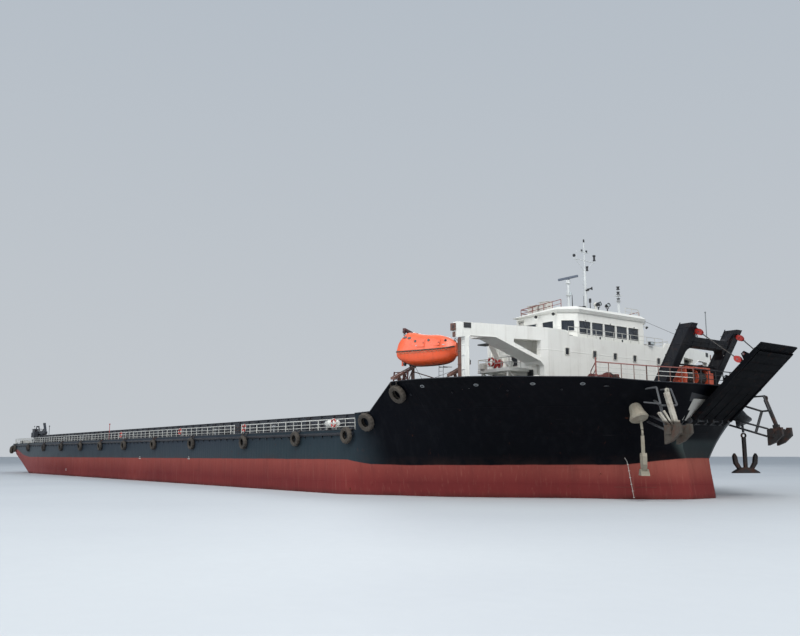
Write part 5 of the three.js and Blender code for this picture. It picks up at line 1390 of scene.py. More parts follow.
# ---------------------------------------------------------------- cargo deck
def bollards(m, x, y, z, mat=0, r=0.17, h=0.55, gap=0.85, along="x"):
    ex = Vector((1, 0, 0)) if along == "x" else Vector((0, 1, 0))
    ey = Vector((0, 1, 0)) if along == "x" else Vector((1, 0, 0))
    m.obox((x, y, z + 0.05), ex, ey, (0, 0, 1), (gap / 2 + 0.36, 0.32, 0.05), 0.02, mat)
    for k in (-1, 1):
        c = Vector((x, y, z)) + ex * (k * gap / 2)
        m.lathe([(0.0, 0.05), (r * 1.15, 0.05), (r, 0.16), (r, h - 0.08), (r * 1.25, h - 0.05), (r * 1.25, h), (r * 0.9, h + 0.05), (0.0, h + 0.05)], c, (0, 0, 1), 16, mat)
        m.tube([c - ex * (r * 1.5) + Vector((0, 0, h * 0.55)), c + ex * (r * 1.5) + Vector((0, 0, h * 0.55))], 0.03, 6, mat=mat)


def cargo_walls_dress():
    m = Mesh()
    for side in (-1, 1):
        ws = lambda y: side * y
        # flange along the top and a longitudinal half way, both faces
        m.box(-141.5, -23.1, ws(17.02), ws(17.5), 7.5, 7.56, 0.012, 0)
        m.box(-141.5, -23.1, ws(17.4), ws(17.5), 6.72, 6.78, 0.012, 0)
        x = -140.3
        i = 0
        while x < -23.6:
            m.box(x - 0.03, x + 0.03, ws(17.4), ws(17.56), DECK_Z, 7.5, 0.008, 0)
            m.box(x - 0.03, x + 0.03, ws(16.9), ws(17.05), DECK_Z, 7.5, 0.008, 0)
            if i % 3 == 0:
                m.slab([(x - 0.03, ws(17.05), DECK_Z), (x - 0.03, ws(16.45), DECK_Z), (x - 0.03, ws(17.05), DECK_Z + 1.1)], (0.06, 0, 0), 0)
            x += 2.3
            i += 1
    m.box(-141.9, -141.5, -17.4, 17.4, 7.5, 7.56, 0.012, 0)
    for k in range(15):
        y = -16.1 + 2.3 * k
        m.box(-142.02, -141.86, y - 0.03, y + 0.03, DECK_Z, 7.5, 0.008, 0)
        m.box(-141.5, -141.34, y - 0.03, y + 0.03, DECK_Z, 7.5, 0.008, 0)
    make("cargo_wall_stiffeners", m, [WALL_P])

    m = Mesh()
    rnd = random.Random(8)
    # lashing pots, hatches and doubling plates over the open deck
    for i in range(19):
        for j in range(7):
            x, y = -138.0 + i * 6.2, -14.4 + j * 4.8
            m.lathe([(0.0, 0.0), (0.16, 0.0), (0.14, 0.03), (0.08, 0.03), (0.07, 0.012), (0.0, 0.012)], (x, y, DECK_Z), (0, 0, 1), 10, 0)
            m.tube([(x - 0.09, y, DECK_Z + 0.02), (x, y, DECK_Z + 0.05), (x + 0.09, y, DECK_Z + 0.02)], 0.014, 5, mat=0)
    for i in range(9):
        for y in (-16.2, 16.2):
            x = -134 + i * 12.4
            m.lathe([(0.0, 0.0), (0.36, 0.0), (0.36, 0.07), (0.33, 0.09), (0.0, 0.10)], (x, y, DECK_Z), (0, 0, 1), 18, 1)
            bolt_row(m, (x - 0.24, y, DECK_Z + 0.09), (x + 0.24, y, DECK_Z + 0.09), 5, 0.025, (0, 0, 1), 0)
    for i in range(60):
        x, y = rnd.uniform(-139, -26), rnd.uniform(-14.5, 14.5)
        a, b = rnd.uniform(0.3, 1.2), rnd.uniform(0.25, 0.8)
        m.box(x - a, x + a, y - b, y + b, DECK_Z, DECK_Z + 0.018, 0.006, 1)
    make("cargo_deck_fittings", m, [DARK, DECK])

    # side decks: bollards, vents, pipes; and the raft canister
    m = Mesh()
    for side in (-1, 1):
        for x in (-151.0, -126.0, -99.5, -75.5, -52.0, -31.8):
            bollards(m, x, side * 18.5, DECK_Z, 0)
        for x in (-144.0, -121.0, -110.0, -89.0, -66.0, -56.0, -41.0):
            m.lathe([(0.0, 0.0), (0.15, 0.0), (0.12, 0.05), (0.12, 0.62), (0.24, 0.68), (0.26, 0.78), (0.18, 0.9), (0.0, 0.94)], (x, side * 18.1, DECK_Z), (0, 0, 1), 14, 1)
        m.tube([(-142.0, side * 17.85, DECK_Z + 0.14), (-26.0, side * 17.85, DECK_Z + 0.14)], 0.06, 8, mat=1)
        x = -141.0
        while x < -26:
            m.box(x - 0.04, x + 0.04, side * 17.85 - 0.12, side * 17.85 + 0.12, DECK_Z, DECK_Z + 0.1, 0.01, 1)
            x += 4.1
        m.tube([(-92.7, side * 19.16, DECK_Z), (-92.7, side * 19.16, 8.35)], 0.045, 8, mat=2)
        m.lathe([(0.0, 0.0), (0.09, 0.02), (0.09, 0.2), (0.0, 0.24)], (-92.7, side * 19.16, 8.3), (0, 0, 1), 10, 2)
    make("side_deck_fittings", m, [DARK, GREY, RED])
    m = Mesh()
    for side in (-1, 1):
        c = Vector((-28.6, side * 18.45, 6.62))
        prof = [(0.0, -1.02), (0.2, -1.02), (0.34, -0.9), (0.38, -0.72)]
        for k in range(7):
            h = -0.66 + k * 0.22
            prof += [(0.38, h - 0.03), (0.4, h - 0.02), (0.4, h + 0.02), (0.38, h + 0.03)]
        prof += [(0.38, 0.72), (0.34, 0.9), (0.2, 1.02), (0.0, 1.02)]
        m.lathe(prof, c, (1, 0, 0), 24, 0)
        for k in (-0.6, 0.6):
            m.slab([c + Vector((k - 0.04, -0.42, -0.1)), c + Vector((k - 0.04, -0.42, -0.72)), c + Vector((k - 0.04, 0.42, -0.72)), c + Vector((k - 0.04, 0.42, -0.1)),
                    c + Vector((k - 0.04, 0.28, -0.3)), c + Vector((k - 0.04, -0.28, -0.3))], (0.08, 0, 0), 1)
            m.tube([c + Vector((k, 0.42 * math.cos(a), 0.42 * math.sin(a))) for a in [math.radians(-15 + 14 * q) for q in range(15)]], 0.02, 5, mat=1)
    make("raft_canisters", m, [WHITE, GREY])


cargo_walls_dress()


# ---------------------------------------------------------------- forecastle rails and deck gear
def in_rail_line(side):
    return [(-1.28, 11.7 * side, 9.64), (0.85, 8.2 * side, 9.38), (2.69, 4.7 * side, 9.22)]


def bow_rails():
    m = Mesh()
    for side in (-1, 1):
        pts = in_rail_line(side)
        for f, r, mt in ((1.15, 0.045, 0 if side < 0 else 1), (0.78, 0.028, 1), (0.42, 0.028, 1)):
            m.tube([Vector(p) + Vector((0, 0, f)) for p in pts], r, 8, mat=mt)
        for a, b in zip(pts, pts[1:]):
            a, b = Vector(a), Vector(b)
            k = max(1, round((b - a).length / 1.05))
            for i in range(k + 1):
                p = a + (b - a) * (i / k)
                r = 0.05 if i in (0, k) else 0.034
                m.tube([p - Vector((0, 0, 0.02)), p + Vector((0, 0, 1.15 + (0.05 if i in (0, k) else 0)))], r, 8, mat=3 if (a.x + b.x) / 2 > -1.6 else (0 if (i == 0 and a.x < 0) else 1))
                m.box(p.x - 0.08, p.x + 0.08, p.y - 0.08, p.y + 0.08, p.z - 0.02, p.z + 0.012, 0.006, 1)
        # its aft end comes down to the deck inside the bulwark
        e = Vector(pts[0])
        m.tube([e + Vector((0, 0, 1.5)), e + Vector((0, 0, -0.02))], 0.06, 8, mat=0)
        m.tube([e + Vector((0, 0, 1.15)), e + Vector((-0.9, -side * 0.5, 0.55)), e + Vector((-1.35, -side * 0.75, -0.75))], 0.04, 8, mat=0)
        m.tube([e + Vector((0, 0, 0.62)), e + Vector((-0.62, -side * 0.35, 0.1)), e + Vector((-0.95, -side * 0.55, -0.75))], 0.032, 8, mat=0)
    a, b = Vector(in_rail_line(-1)[2]), Vector(in_rail_line(1)[2])
    for f, r in ((1.15, 0.042), (0.78, 0.03), (0.42, 0.03)):
        m.tube([a + Vector((0, 0, f)), b + Vector((0, 0, f))], r, 8, mat=2)
    for i in range(1, 9):
        p = a + (b - a) * (i / 9)
        m.tube([p - Vector((0, 0, 0.02)), p + Vector((0, 0, 1.15))], 0.036, 8, mat=2)
    make("bow_rail_dress", m, [RAIL_RED, RAIL_P, DARK, DAVIT_BROWN], replaces=["bow_rail"])

    m = Mesh()
    for side in (-1, 1):
        for x, y in ((-13.2, 17.6), (-8.4, 15.7), (-4.9, 13.1), (-1.9, 10.4)):
            bollards(m, x, side * y, FORE_TOP, 0, 0.19, 0.6, 0.9)
        # the chain stopper and its cable from the windlass to the pipe in the bow
        chain = [(-3.4, side * 7.65, 10.3), (-2.5, side * 7.6, 9.9), (-1.55, side * 7.5, 9.35), (-1.0, side * 7.45, FORE_TOP + 0.14)]
        link_chain(m, chain, 0.34, 0.06, 1, 6)
        m.lathe([(0.30, 0.0), (0.44, 0.0), (0.46, 0.10), (0.40, 0.2), (0.30, 0.2), (0.30, 0.0)], (-0.95, side * 7.45, FORE_TOP), (0, 0, 1), 18, 2)
        m.lathe([(0.0, 0.0), (0.30, 0.0), (0.30, 0.03), (0.0, 0.03)], (-0.95, side * 7.45, FORE_TOP), (0, 0, 1), 18, 3)
        for k in (-1, 1):
            m.slab([(-2.35, side * 7.55 + k * 0.24, FORE_TOP), (-1.65, side * 7.55 + k * 0.24, FORE_TOP), (-1.75, side * 7.55 + k * 0.24, FORE_TOP + 0.62), (-2.2, side * 7.55 + k * 0.24, FORE_TOP + 0.62)], (0, 0.05 * k, 0), 2)
        m.tube([(-1.95, side * 7.55 - 0.3, FORE_TOP + 0.5), (-1.95, side * 7.55 + 0.3, FORE_TOP + 0.5)], 0.09, 10, mat=2)
        # low machinery and stores lockers in front of the house
        m.box(-5.9, -5.1, side * 3.7, side * 5.0, FORE_TOP, FORE_TOP + 0.75, 0.04, 4)
        m.box(-6.0, -5.0, side * 3.6, side * 5.1, FORE_TOP + 0.75, FORE_TOP + 0.82, 0.02, 4)
        m.lathe([(0.0, 0.0), (0.2, 0.0), (0.16, 0.06), (0.16, 0.85), (0.32, 0.92), (0.34, 1.06), (0.24, 1.2), (0.0, 1.25)], (-6.9, side * 12.4, FORE_TOP), (0, 0, 1), 16, 4)
        m.lathe([(0.0, 0.0), (0.2, 0.0), (0.16, 0.06), (0.16, 0.85), (0.32, 0.92), (0.34, 1.06), (0.24, 1.2), (0.0, 1.25)], (-10.4, side * 15.2, FORE_TOP), (0, 0, 1), 16, 4)
        m.box(-9.0, -8.2, side * 13.0, side * 13.9, FORE_TOP, FORE_TOP + 0.5, 0.03, 4)
        for k in range(3):  # reels and coamings by the bulwark
            m.lathe([(0.0, -0.42), (0.42, -0.42), (0.42, -0.36), (0.2, -0.34), (0.2, 0.34), (0.42, 0.36), (0.42, 0.42), (0.0, 0.42)], (-4.2 - 1.5 * k, side * (10.9 + 0.8 * k), FORE_TOP + 0.52), (0.5, side * 0.85, 0), 18, 0)
            for q in (-1, 1):
                c = Vector((-4.2 - 1.5 * k, side * (10.9 + 0.8 * k), FORE_TOP)) + Vector((0.5, side * 0.85, 0)).normalized() * (0.5 * q)
                m.beam(c, c + Vector((0, 0, 0.62)), 0.1, 0.06, 0.01, 0)
    make("forecastle_fittings", m, [DARK, CHAIN, GREY, LOUVRE, WHITE_OLD, MACHINE])


bow_rails()


# ---------------------------------------------------------------- gantry
G_BASE, G_TOP = Vector((-1.4, 0, 8.904)), Vector((1.75, 0, 14.35))
G_DIR = (G_TOP - G_BASE).normalized()
G_FWD = Vector((G_DIR.z, 0, -G_DIR.x))


def on_gantry(f, fwd=0.0, y=0.0):
    """A point a fraction up the leaning line, out along its front, and across."""
    p = G_BASE + (G_TOP - G_BASE) * f + G_FWD * fwd
    return Vector((p.x, y, p.z))


def sheave(m, c, axis, R, w, mat=0, cheek=1):
    """A grooved wheel between two cheek plates."""
    m.lathe([(0.0, -w / 2), (R, -w / 2), (R, -w * 0.32), (R * 0.82, 0.0), (R, w * 0.32), (R, w / 2), (0.0, w / 2)], c, axis, 24, mat)
    d = Vector(axis).normalized()
    for s in (-1, 1):
        m.lathe([(0.0, 0.0), (R * 1.12, 0.0), (R * 1.12, s * 0.035), (0.0, s * 0.035)], Vector(c) + d * (s * w * 0.62), d, 20, cheek)
        m.lathe([(0.0, 0.0), (R * 0.28, 0.0), (R * 0.2, s * 0.07), (0.0, s * 0.07)], Vector(c) + d * (s * (w * 0.62 + 0.03)), d, 12, cheek)


def hook_block(m, c, d, mat=0, pin=1, R=0.2):
    """A small hoist block hung along d."""
    c, d = Vector(c), Vector(d).normalized()
    side = Vector((0, 1, 0))
    f = side.cross(d).normalized()
    for s in (-1, 1):
        out = []
        for k in range(16):
            a = 2 * math.pi * k / 16
            out.append(c + side * (s * 0.1) + d * (math.cos(a) * R * 1.5) + f * (math.sin(a) * R))
        m.slab(out, side * (s * 0.035), mat)
    m.lathe([(0.0, -0.09), (R * 0.85, -0.09), (R * 0.66, 0.0), (R * 0.85, 0.09), (0.0, 0.09)], c, side, 18, pin)
    m.lathe([(0.0, -0.17), (0.05, -0.17), (0.05, 0.17), (0.0, 0.17)], c, side, 8, pin)
    e = c + d * (R * 1.55)
    m.tube([e + side * (0.09 * math.cos(2 * math.pi * k / 12)) + d * (0.1 + 0.12 * math.sin(2 * math.pi * k / 12)) for k in range(12)], 0.026, 6, closed=True, mat=pin)


def ramp_point(u, v, y=0.0):
    c, s = math.cos(math.radians(40.7)), math.sin(math.radians(40.7))
    return Vector((0.72 + u * c - (v - 0.1) * s, y, 6.42 + u * s + (v - 0.1) * c))


GANTRY_EYE = {-1: on_gantry(0.93, 0.50, -2.76), 1: on_gantry(0.93, 0.50, 3.3)}


def gantry_dress():
    m = Mesh()
    for y in (-3.3, 3.3):
        s = 1 if y > 0 else -1
        # flanges along the posts' edges, and diaphragm lines across them
        for fwd in (-0.56, 0.33):
            for e in (-0.44, 0.44):
                a, b = on_gantry(0.02, fwd, y + e), on_gantry(0.95, fwd, y + e)
                m.beam(a, b, 0.05, 0.09, 0.012, 0, up=G_FWD)
        for f in (0.12, 0.3, 0.48, 0.84):
            for e in (-1, 1):
                m.beam(on_gantry(f, -0.70, y + e * 0.43), on_gantry(f, 0.34, y + e * 0.43), 0.03, 0.07, 0.006, 0, up=G_DIR)
        # foot brackets and doubler
        m.box(-2.45, -0.75, y - 0.62, y + 0.62, FORE_TOP, FORE_TOP + 0.06, 0.02, 0)
        for e in (-1, 1):
            m.slab([(-2.35, y + e * 0.3, FORE_TOP + 0.05), (-0.85, y + e * 0.3, FORE_TOP + 0.05), (-0.7, y + e * 0.3, FORE_TOP + 0.2), (-2.2, y + e * 0.3, FORE_TOP + 0.2)], (0, 0.05, 0), 0)
        m.slab([(-2.3, y - 0.03, FORE_TOP + 0.05), (-3.1, y - 0.03, FORE_TOP + 0.05), (-1.9, y - 0.03, FORE_TOP + 0.95)], (0, 0.06, 0), 0)
        ey = GANTRY_EYE[s].y
        m.slab([on_gantry(0.89, 0.20, ey - 0.12), on_gantry(0.97, 0.20, ey - 0.12), on_gantry(0.95, 0.62, ey - 0.12), on_gantry(0.91, 0.62, ey - 0.12)], (0, 0.18, 0), 0)
    # red blocks on the posts' heads and on the frame's inner corner
    for k in (-1, 1):
        hook_block(m, GANTRY_EYE[k] + Vector((0.22, 0, -0.17)), (0.8, 0, -0.6), 2, 3, 0.24)
    hook_block(m, on_gantry(0.90, 0.25, -2.62), (0.3, 0.3, -1), 2, 3, 0.2)
    m.slab([on_gantry(0.93, 0.3, -2.89), on_gantry(0.93, 0.3, -2.5), on_gantry(0.905, 0.3, -2.5), on_gantry(0.88, 0.3, -2.89)], G_FWD * -0.1, 0)
    # cross pipe, slim white pole on the far post's inner face, cleats and lamp
    m.beam(on_gantry(0.62, -0.60, 2.84), on_gantry(0.62, 0.36, 2.84), 0.10, 0.06, 0.012, 1)
    m.tube([on_gantry(0.40, -0.1, -2.88), on_gantry(0.40, -0.1, 2.88)], 0.07, 10, mat=0)
    m.tube([(0.9, 0.3, 13.1), (0.9, 0.3, 15.66)], 0.04, 8, mat=4)
    m.lathe([(0.0, 0.0), (0.07, 0.0), (0.07, 0.1), (0.0, 0.12)], (0.9, 0.3, 15.6), (0, 0, 1), 10, 4)
    # panels on the crossbeam's face
    for k in range(5):
        y = -2.3 + k * 1.15
        m.beam(on_gantry(0.67, 0.345, y), on_gantry(0.79, 0.345, y), 0.05, 0.04, 0.006, 0, up=G_FWD)
    make("gantry_dress", m, [GANTRY_P, WHITE_OLD, RED, DARK, GREY])


gantry_dress()


def winch_dress():
    """Drum gear of the ramp's winch: rope in turns, brake band, guards, levers."""
    m = Mesh()
    wx, wz = -0.75, FORE_TOP + 1.25
    for y0, y1 in ((-1.58, -0.12), (0.12, 1.58)):
        n = 15
        for k in range(n):
            y = y0 + (y1 - y0) * (k + 0.5) / n
            m.tube([(wx + 0.59 * math.cos(2 * math.pi * i / 20), y + 0.02 * math.sin(2 * math.pi * i / 20), wz + 0.59 * math.sin(2 * math.pi * i / 20)) for i in range(20)], 0.046, 6, closed=True, mat=2)
    for y in (-1.55, 1.55):
        m.lathe([(0.0, -0.03), (0.8, -0.03), (0.84, 0.0), (0.8, 0.03), (0.0, 0.03)], (wx, y, wz), (0, 1, 0), 28, 0)
    for y in (-1.62, 1.62):
        s = 1 if y > 0 else -1
        m.tube([(wx - 0.7, y + s * 0.28, FORE_TOP + 0.35), (wx + 0.7, y + s * 0.28, FORE_TOP + 0.35)], 0.06, 8, mat=1)
        m.lathe([(0.0, 0.0), (0.26, 0.0), (0.24, 0.1), (0.12, 0.16), (0.0, 0.16)], (wx, y + s * 0.24, wz), (0, s, 0), 18, 0)
        for k in range(6):
            a = 2 * math.pi * k / 6
            m.lathe([(0.0, 0.0), (0.03, 0.0), (0.03, 0.05), (0.0, 0.05)], (wx + 0.2 * math.cos(a), y + s * 0.30, wz + 0.2 * math.sin(a)), (0, s, 0), 6, 1)
    # the motor's cooling ribs, the lever and hand wheel of the brake
    for k in range(7):
        m.box(wx - 0.57 + 0.17 * k, wx - 0.54 + 0.17 * k, 1.78, 2.58, FORE_TOP + 0.28, FORE_TOP + 1.74, 0.008, 0)
    m.beam((wx - 0.6, -1.9, FORE_TOP + 0.4), (wx - 0.95, -1.9, FORE_TOP + 1.7), 0.06, 0.04, 0.01, 1)
    m.tube([(wx - 0.95 + 0.26 * math.cos(2 * math.pi * k / 16), -1.9, FORE_TOP + 1.75 + 0.26 * math.sin(2 * math.pi * k / 16)) for k in range(16)], 0.03, 6, closed=True, mat=1)
    m.box(wx - 0.3, wx + 0.3, -2.08, -1.86, FORE_TOP + 0.3, FORE_TOP + 0.9, 0.03, 0)
    # hand rail over the top plate
    m.tube([(wx - 0.7, -1.6, FORE_TOP + 2.1), (wx - 0.7, -1.6, FORE_TOP + 2.4), (wx - 0.7, 1.6, FORE_TOP + 2.4), (wx - 0.7, 1.6, FORE_TOP + 2.1)], 0.03, 6, mat=1)
    make("ramp_winch_dress", m, [WINCH, DARK, WIRE])


winch_dress()


def bow_front():
    """The pale patch beside the ramp's foot, on the raked front."""
    m = Mesh()
    for s in (-1, 1):
        quad = [Vector(p) for p in ((1.87, -3.61, 8.07), (1.87, -2.02, 8.07), (0.55, -2.4, 6.42), (0.55, -3.40, 6.42))]
        out = (quad[1] - quad[0]).cross(quad[3] - quad[0]).normalized()
        if out.x < 0:
            out = -out
        quad = [Vector((p.x, p.y * -s, p.z)) for p in quad]
        out = Vector((out.x, out.y * -s, out.z))
        m.slab([p + out * 0.035 for p in quad], out * -0.14, 0)
    make("bow_front_patches", m, [WHITE_OLD])


bow_front()


# ---------------------------------------------------------------- ramp
def ramp_dress():
    m = Mesh()
    hw = 2.68
    # underside (the face that looks forward and down): frames across and two stringers
    for u in [0.9 + 0.86 * k for k in range(9)]:
        m.slab([ramp_point(u - 0.035, 0.01, -hw + 0.2), ramp_point(u + 0.035, 0.01, -hw + 0.2), ramp_point(u + 0.035, -0.17, -hw + 0.2), ramp_point(u - 0.035, -0.17, -hw + 0.2)], (0, 2 * hw - 0.4, 0), 0)
    for y in (-1.45, 0.0, 1.45):
        m.slab([ramp_point(0.5, 0.01, y - 0.03), ramp_point(8.0, 0.01, y - 0.03), ramp_point(8.0, -0.13, y - 0.03), ramp_point(0.5, -0.22, y - 0.03)], (0, 0.06, 0), 0)
    m.slab([ramp_point(0.45, -0.12, -2.4), ramp_point(8.1, -0.12, -2.4), ramp_point(8.1, -0.17, -2.4), ramp_point(0.45, -0.17, -2.4)], (0, 4.8, 0), 0)
    # tread bars on the roadway (the face towards the gantry)
    for k in range(24):
        u = 0.8 + 0.31 * k
        for y0, y1 in ((-2.4, -0.25), (0.25, 2.4)):
            m.slab([ramp_point(u - 0.03, 0.15, y0), ramp_point(u + 0.03, 0.15, y0), ramp_point(u + 0.02, 0.195, y0), ramp_point(u - 0.02, 0.195, y0)], (0, y1 - y0, 0), 1)
    # kerbs at the sides, with rail sockets
    for s in (-1, 1):
        y = s * (hw - 0.08)
        m.slab([ramp_point(0.4, 0.15, y - 0.07), ramp_point(8.2, 0.15, y - 0.07), ramp_point(8.15, 0.2, y - 0.07), ramp_point(0.45, 0.2, y - 0.07)], (0, 0.14, 0), 0)
        m.tube([ramp_point(0.45, 0.2, y), ramp_point(8.15, 0.2, y)], 0.03, 8, mat=0)
        m.beam(ramp_point(0.5, 0.08, s * (hw + 0.005)), ramp_point(8.4, 0.08, s * (hw + 0.005)), 0.08, 0.03, 0.008, 0, up=(0, 1, 0))
        # reeving plates by the lugs
        m.slab([ramp_point(6.5, 0.14, s * 2.3), ramp_point(7.7, 0.14, s * 2.3), ramp_point(7.4, 0.32, s * 2.3), ramp_point(6.8, 0.32, s * 2.3)], (0, 0.04 * s, 0), 0)
        m.lathe([(0.0, -0.14), (0.1, -0.14), (0.1, 0.14), (0.0, 0.14)], ramp_point(7.1, 0.55, s * 2.45), (0, 1, 0), 12, 2)
        m.lathe([(0.0, -0.2), (0.055, -0.2), (0.055, 0.2), (0.0, 0.2)], ramp_point(7.1, 0.55, s * 2.45), (0, 1, 0), 8, 3)
        m.slab([ramp_point(6.28, 0.14, s * 2.45 - 0.05), ramp_point(6.80, 0.14, s * 2.45 - 0.05), ramp_point(6.62, 0.36, s * 2.45 - 0.05), ramp_point(6.46, 0.36, s * 2.45 - 0.05)], (0, 0.10, 0), 0)
        hook_block(m, ramp_point(6.54, 0.22, s * 2.45) + Vector((-0.34, 0, 0.26)), (0.79, 0, -0.61), 4, 3, 0.24)
        # lower pair of lugs, half way down
        m.slab([ramp_point(4.35, 0.14, s * 2.45 - 0.07), ramp_point(5.05, 0.14, s * 2.45 - 0.07), ramp_point(4.85, 0.5, s * 2.45 - 0.07), ramp_point(4.55, 0.5, s * 2.45 - 0.07)], (0, 0.14, 0), 0)
        m.lathe([(0.0, -0.16), (0.06, -0.16), (0.06, 0.16), (0.0, 0.16)], ramp_point(4.7, 0.4, s * 2.45), (0, 1, 0), 10, 3)
    # lip and its wear plate
    m.slab([ramp_point(8.25, 0.15, -hw + 0.05), ramp_point(8.25, 0.19, -hw + 0.05), ramp_point(8.78, 0.17, -hw + 0.05), ramp_point(8.78, 0.13, -hw + 0.05)], (0, 2 * hw - 0.1, 0), 1)
    for k in range(9):
        y = -2.4 + 0.6 * k
        m.lathe([(0.0, 0.0), (0.05, 0.0), (0.04, 0.03), (0.0, 0.03)], ramp_point(8.5, 0.16, y), (0.35, 0, 0.93), 8, 3)
    make("ramp_dress", m, [RAMP_P, DARK, MACHINE, GREY, RED], body="bow_ramp")


ramp_dress()


def hoist_wires():
    """Wires between the gantry's blocks and the ramp's lugs: one end on each body."""
    for s, tag in ((-1, "starboard"), (1, "port")):
        for which, eye, u, v in (("hoist", GANTRY_EYE[s], 6.54, 0.22),):
            a = eye + Vector((0.52, 0, -0.40))
            b = ramp_point(u, v, s * 2.45) + Vector((-0.62, 0, 0.48))
            m = Mesh()
            n = 14
            for off in (-0.06, 0.06):
                m.tube([a + (b - a) * (k / n) + Vector((0, off, 0)) for k in range(n + 1)], 0.03, 7, mat=0)
            obj = make("ramp_%s_wire_%s" % (which, tag), m, [WIRE], body=None)
            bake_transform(obj)


hoist_wires()


# ---------------------------------------------------------------- windows
def pane(m, c, across, up, out, w, h, frame=0.07, depth=0.05, glass=1, rim=0, mullion=False, rounded=0.12, recess=0.10):
    """A glazed opening: a frame with rounded corners standing proud, and the glass set back in it."""
    c, ax, u, o = Vector(c), Vector(across).normalized(), Vector(up).normalized(), Vector(out).normalized()

    def loop(dw, dh, off, r):
        pts = []
        for sx, sy, a0 in ((1, 1, 0), (-1, 1, 90), (-1, -1, 180), (1, -1, 270)):
            for k in range(5):
                a = math.radians(a0 + 22.5 * k)
                pts.append(c + ax * (sx * (w / 2 + dw - r) + math.cos(a) * r) + u * (sy * (h / 2 + dh - r) + math.sin(a) * r) + o * off)
        return pts
    inner, outer = loop(-0.012, -0.012, 0, rounded * 0.8), loop(frame, frame, 0, rounded + frame)
    rings = [[p + o * (depth * 0.3 - 0.02) for p in outer], [p + o * depth * 0.8 for p in outer],
             [p + o * depth for p in loop(frame * 0.8, frame * 0.8, 0, rounded + frame * 0.8)],
             [p + o * depth for p in loop(0.006, 0.006, 0, rounded)], [p + o * (depth * 0.6) for p in inner], [p - o * recess for p in inner]]
    n = len(outer)
    vs = [p for r in rings for p in r]
    fs = []
    for i in range(len(rings) - 1):
        for j in range(n):
            k = (j + 1) % n
            fs.append([i * n + j, i * n + k, (i + 1) * n + k, (i + 1) * n + j])
    # its back, against the wall
    base = [i for i in range(n)]
    back = [(len(rings) - 1) * n + i for i in range(n)]
    for j in range(n):
        k = (j + 1) % n
        fs.append([back[j], back[k], base[k], base[j]])
    m.add(vs, fs, rim)
    m.slab([p - o * (recess * 0.55) for p in loop(-0.008, -0.008, 0, rounded * 0.8)], o * 0.02, glass)
    if mullion:
        m.beam(c - u * (h / 2) - o * (recess * 0.4), c + u * (h / 2) - o * (recess * 0.4), 0.04, 0.05, 0.006, rim, up=o)
    return m


def wiper(m, c, across, up, out, w, h, mat=0):
    c, ax, u, o = Vector(c), Vector(across).normalized(), Vector(up).normalized(), Vector(out).normalized()
    piv = c + u * (h / 2 + 0.06) + o * 0.07
    tip = c - u * (h * 0.05) + ax * (w * 0.18) + o * 0.03
    m.lathe([(0.0, -0.03), (0.04, -0.03), (0.04, 0.04), (0.0, 0.04)], piv, o, 10, mat)
    m.tube([piv, tip], 0.014, 5, mat=mat)
    m.beam(tip - u * 0.26 + ax * 0.03, tip + u * 0.26 - ax * 0.03, 0.02, 0.04, 0.004, mat, up=o)


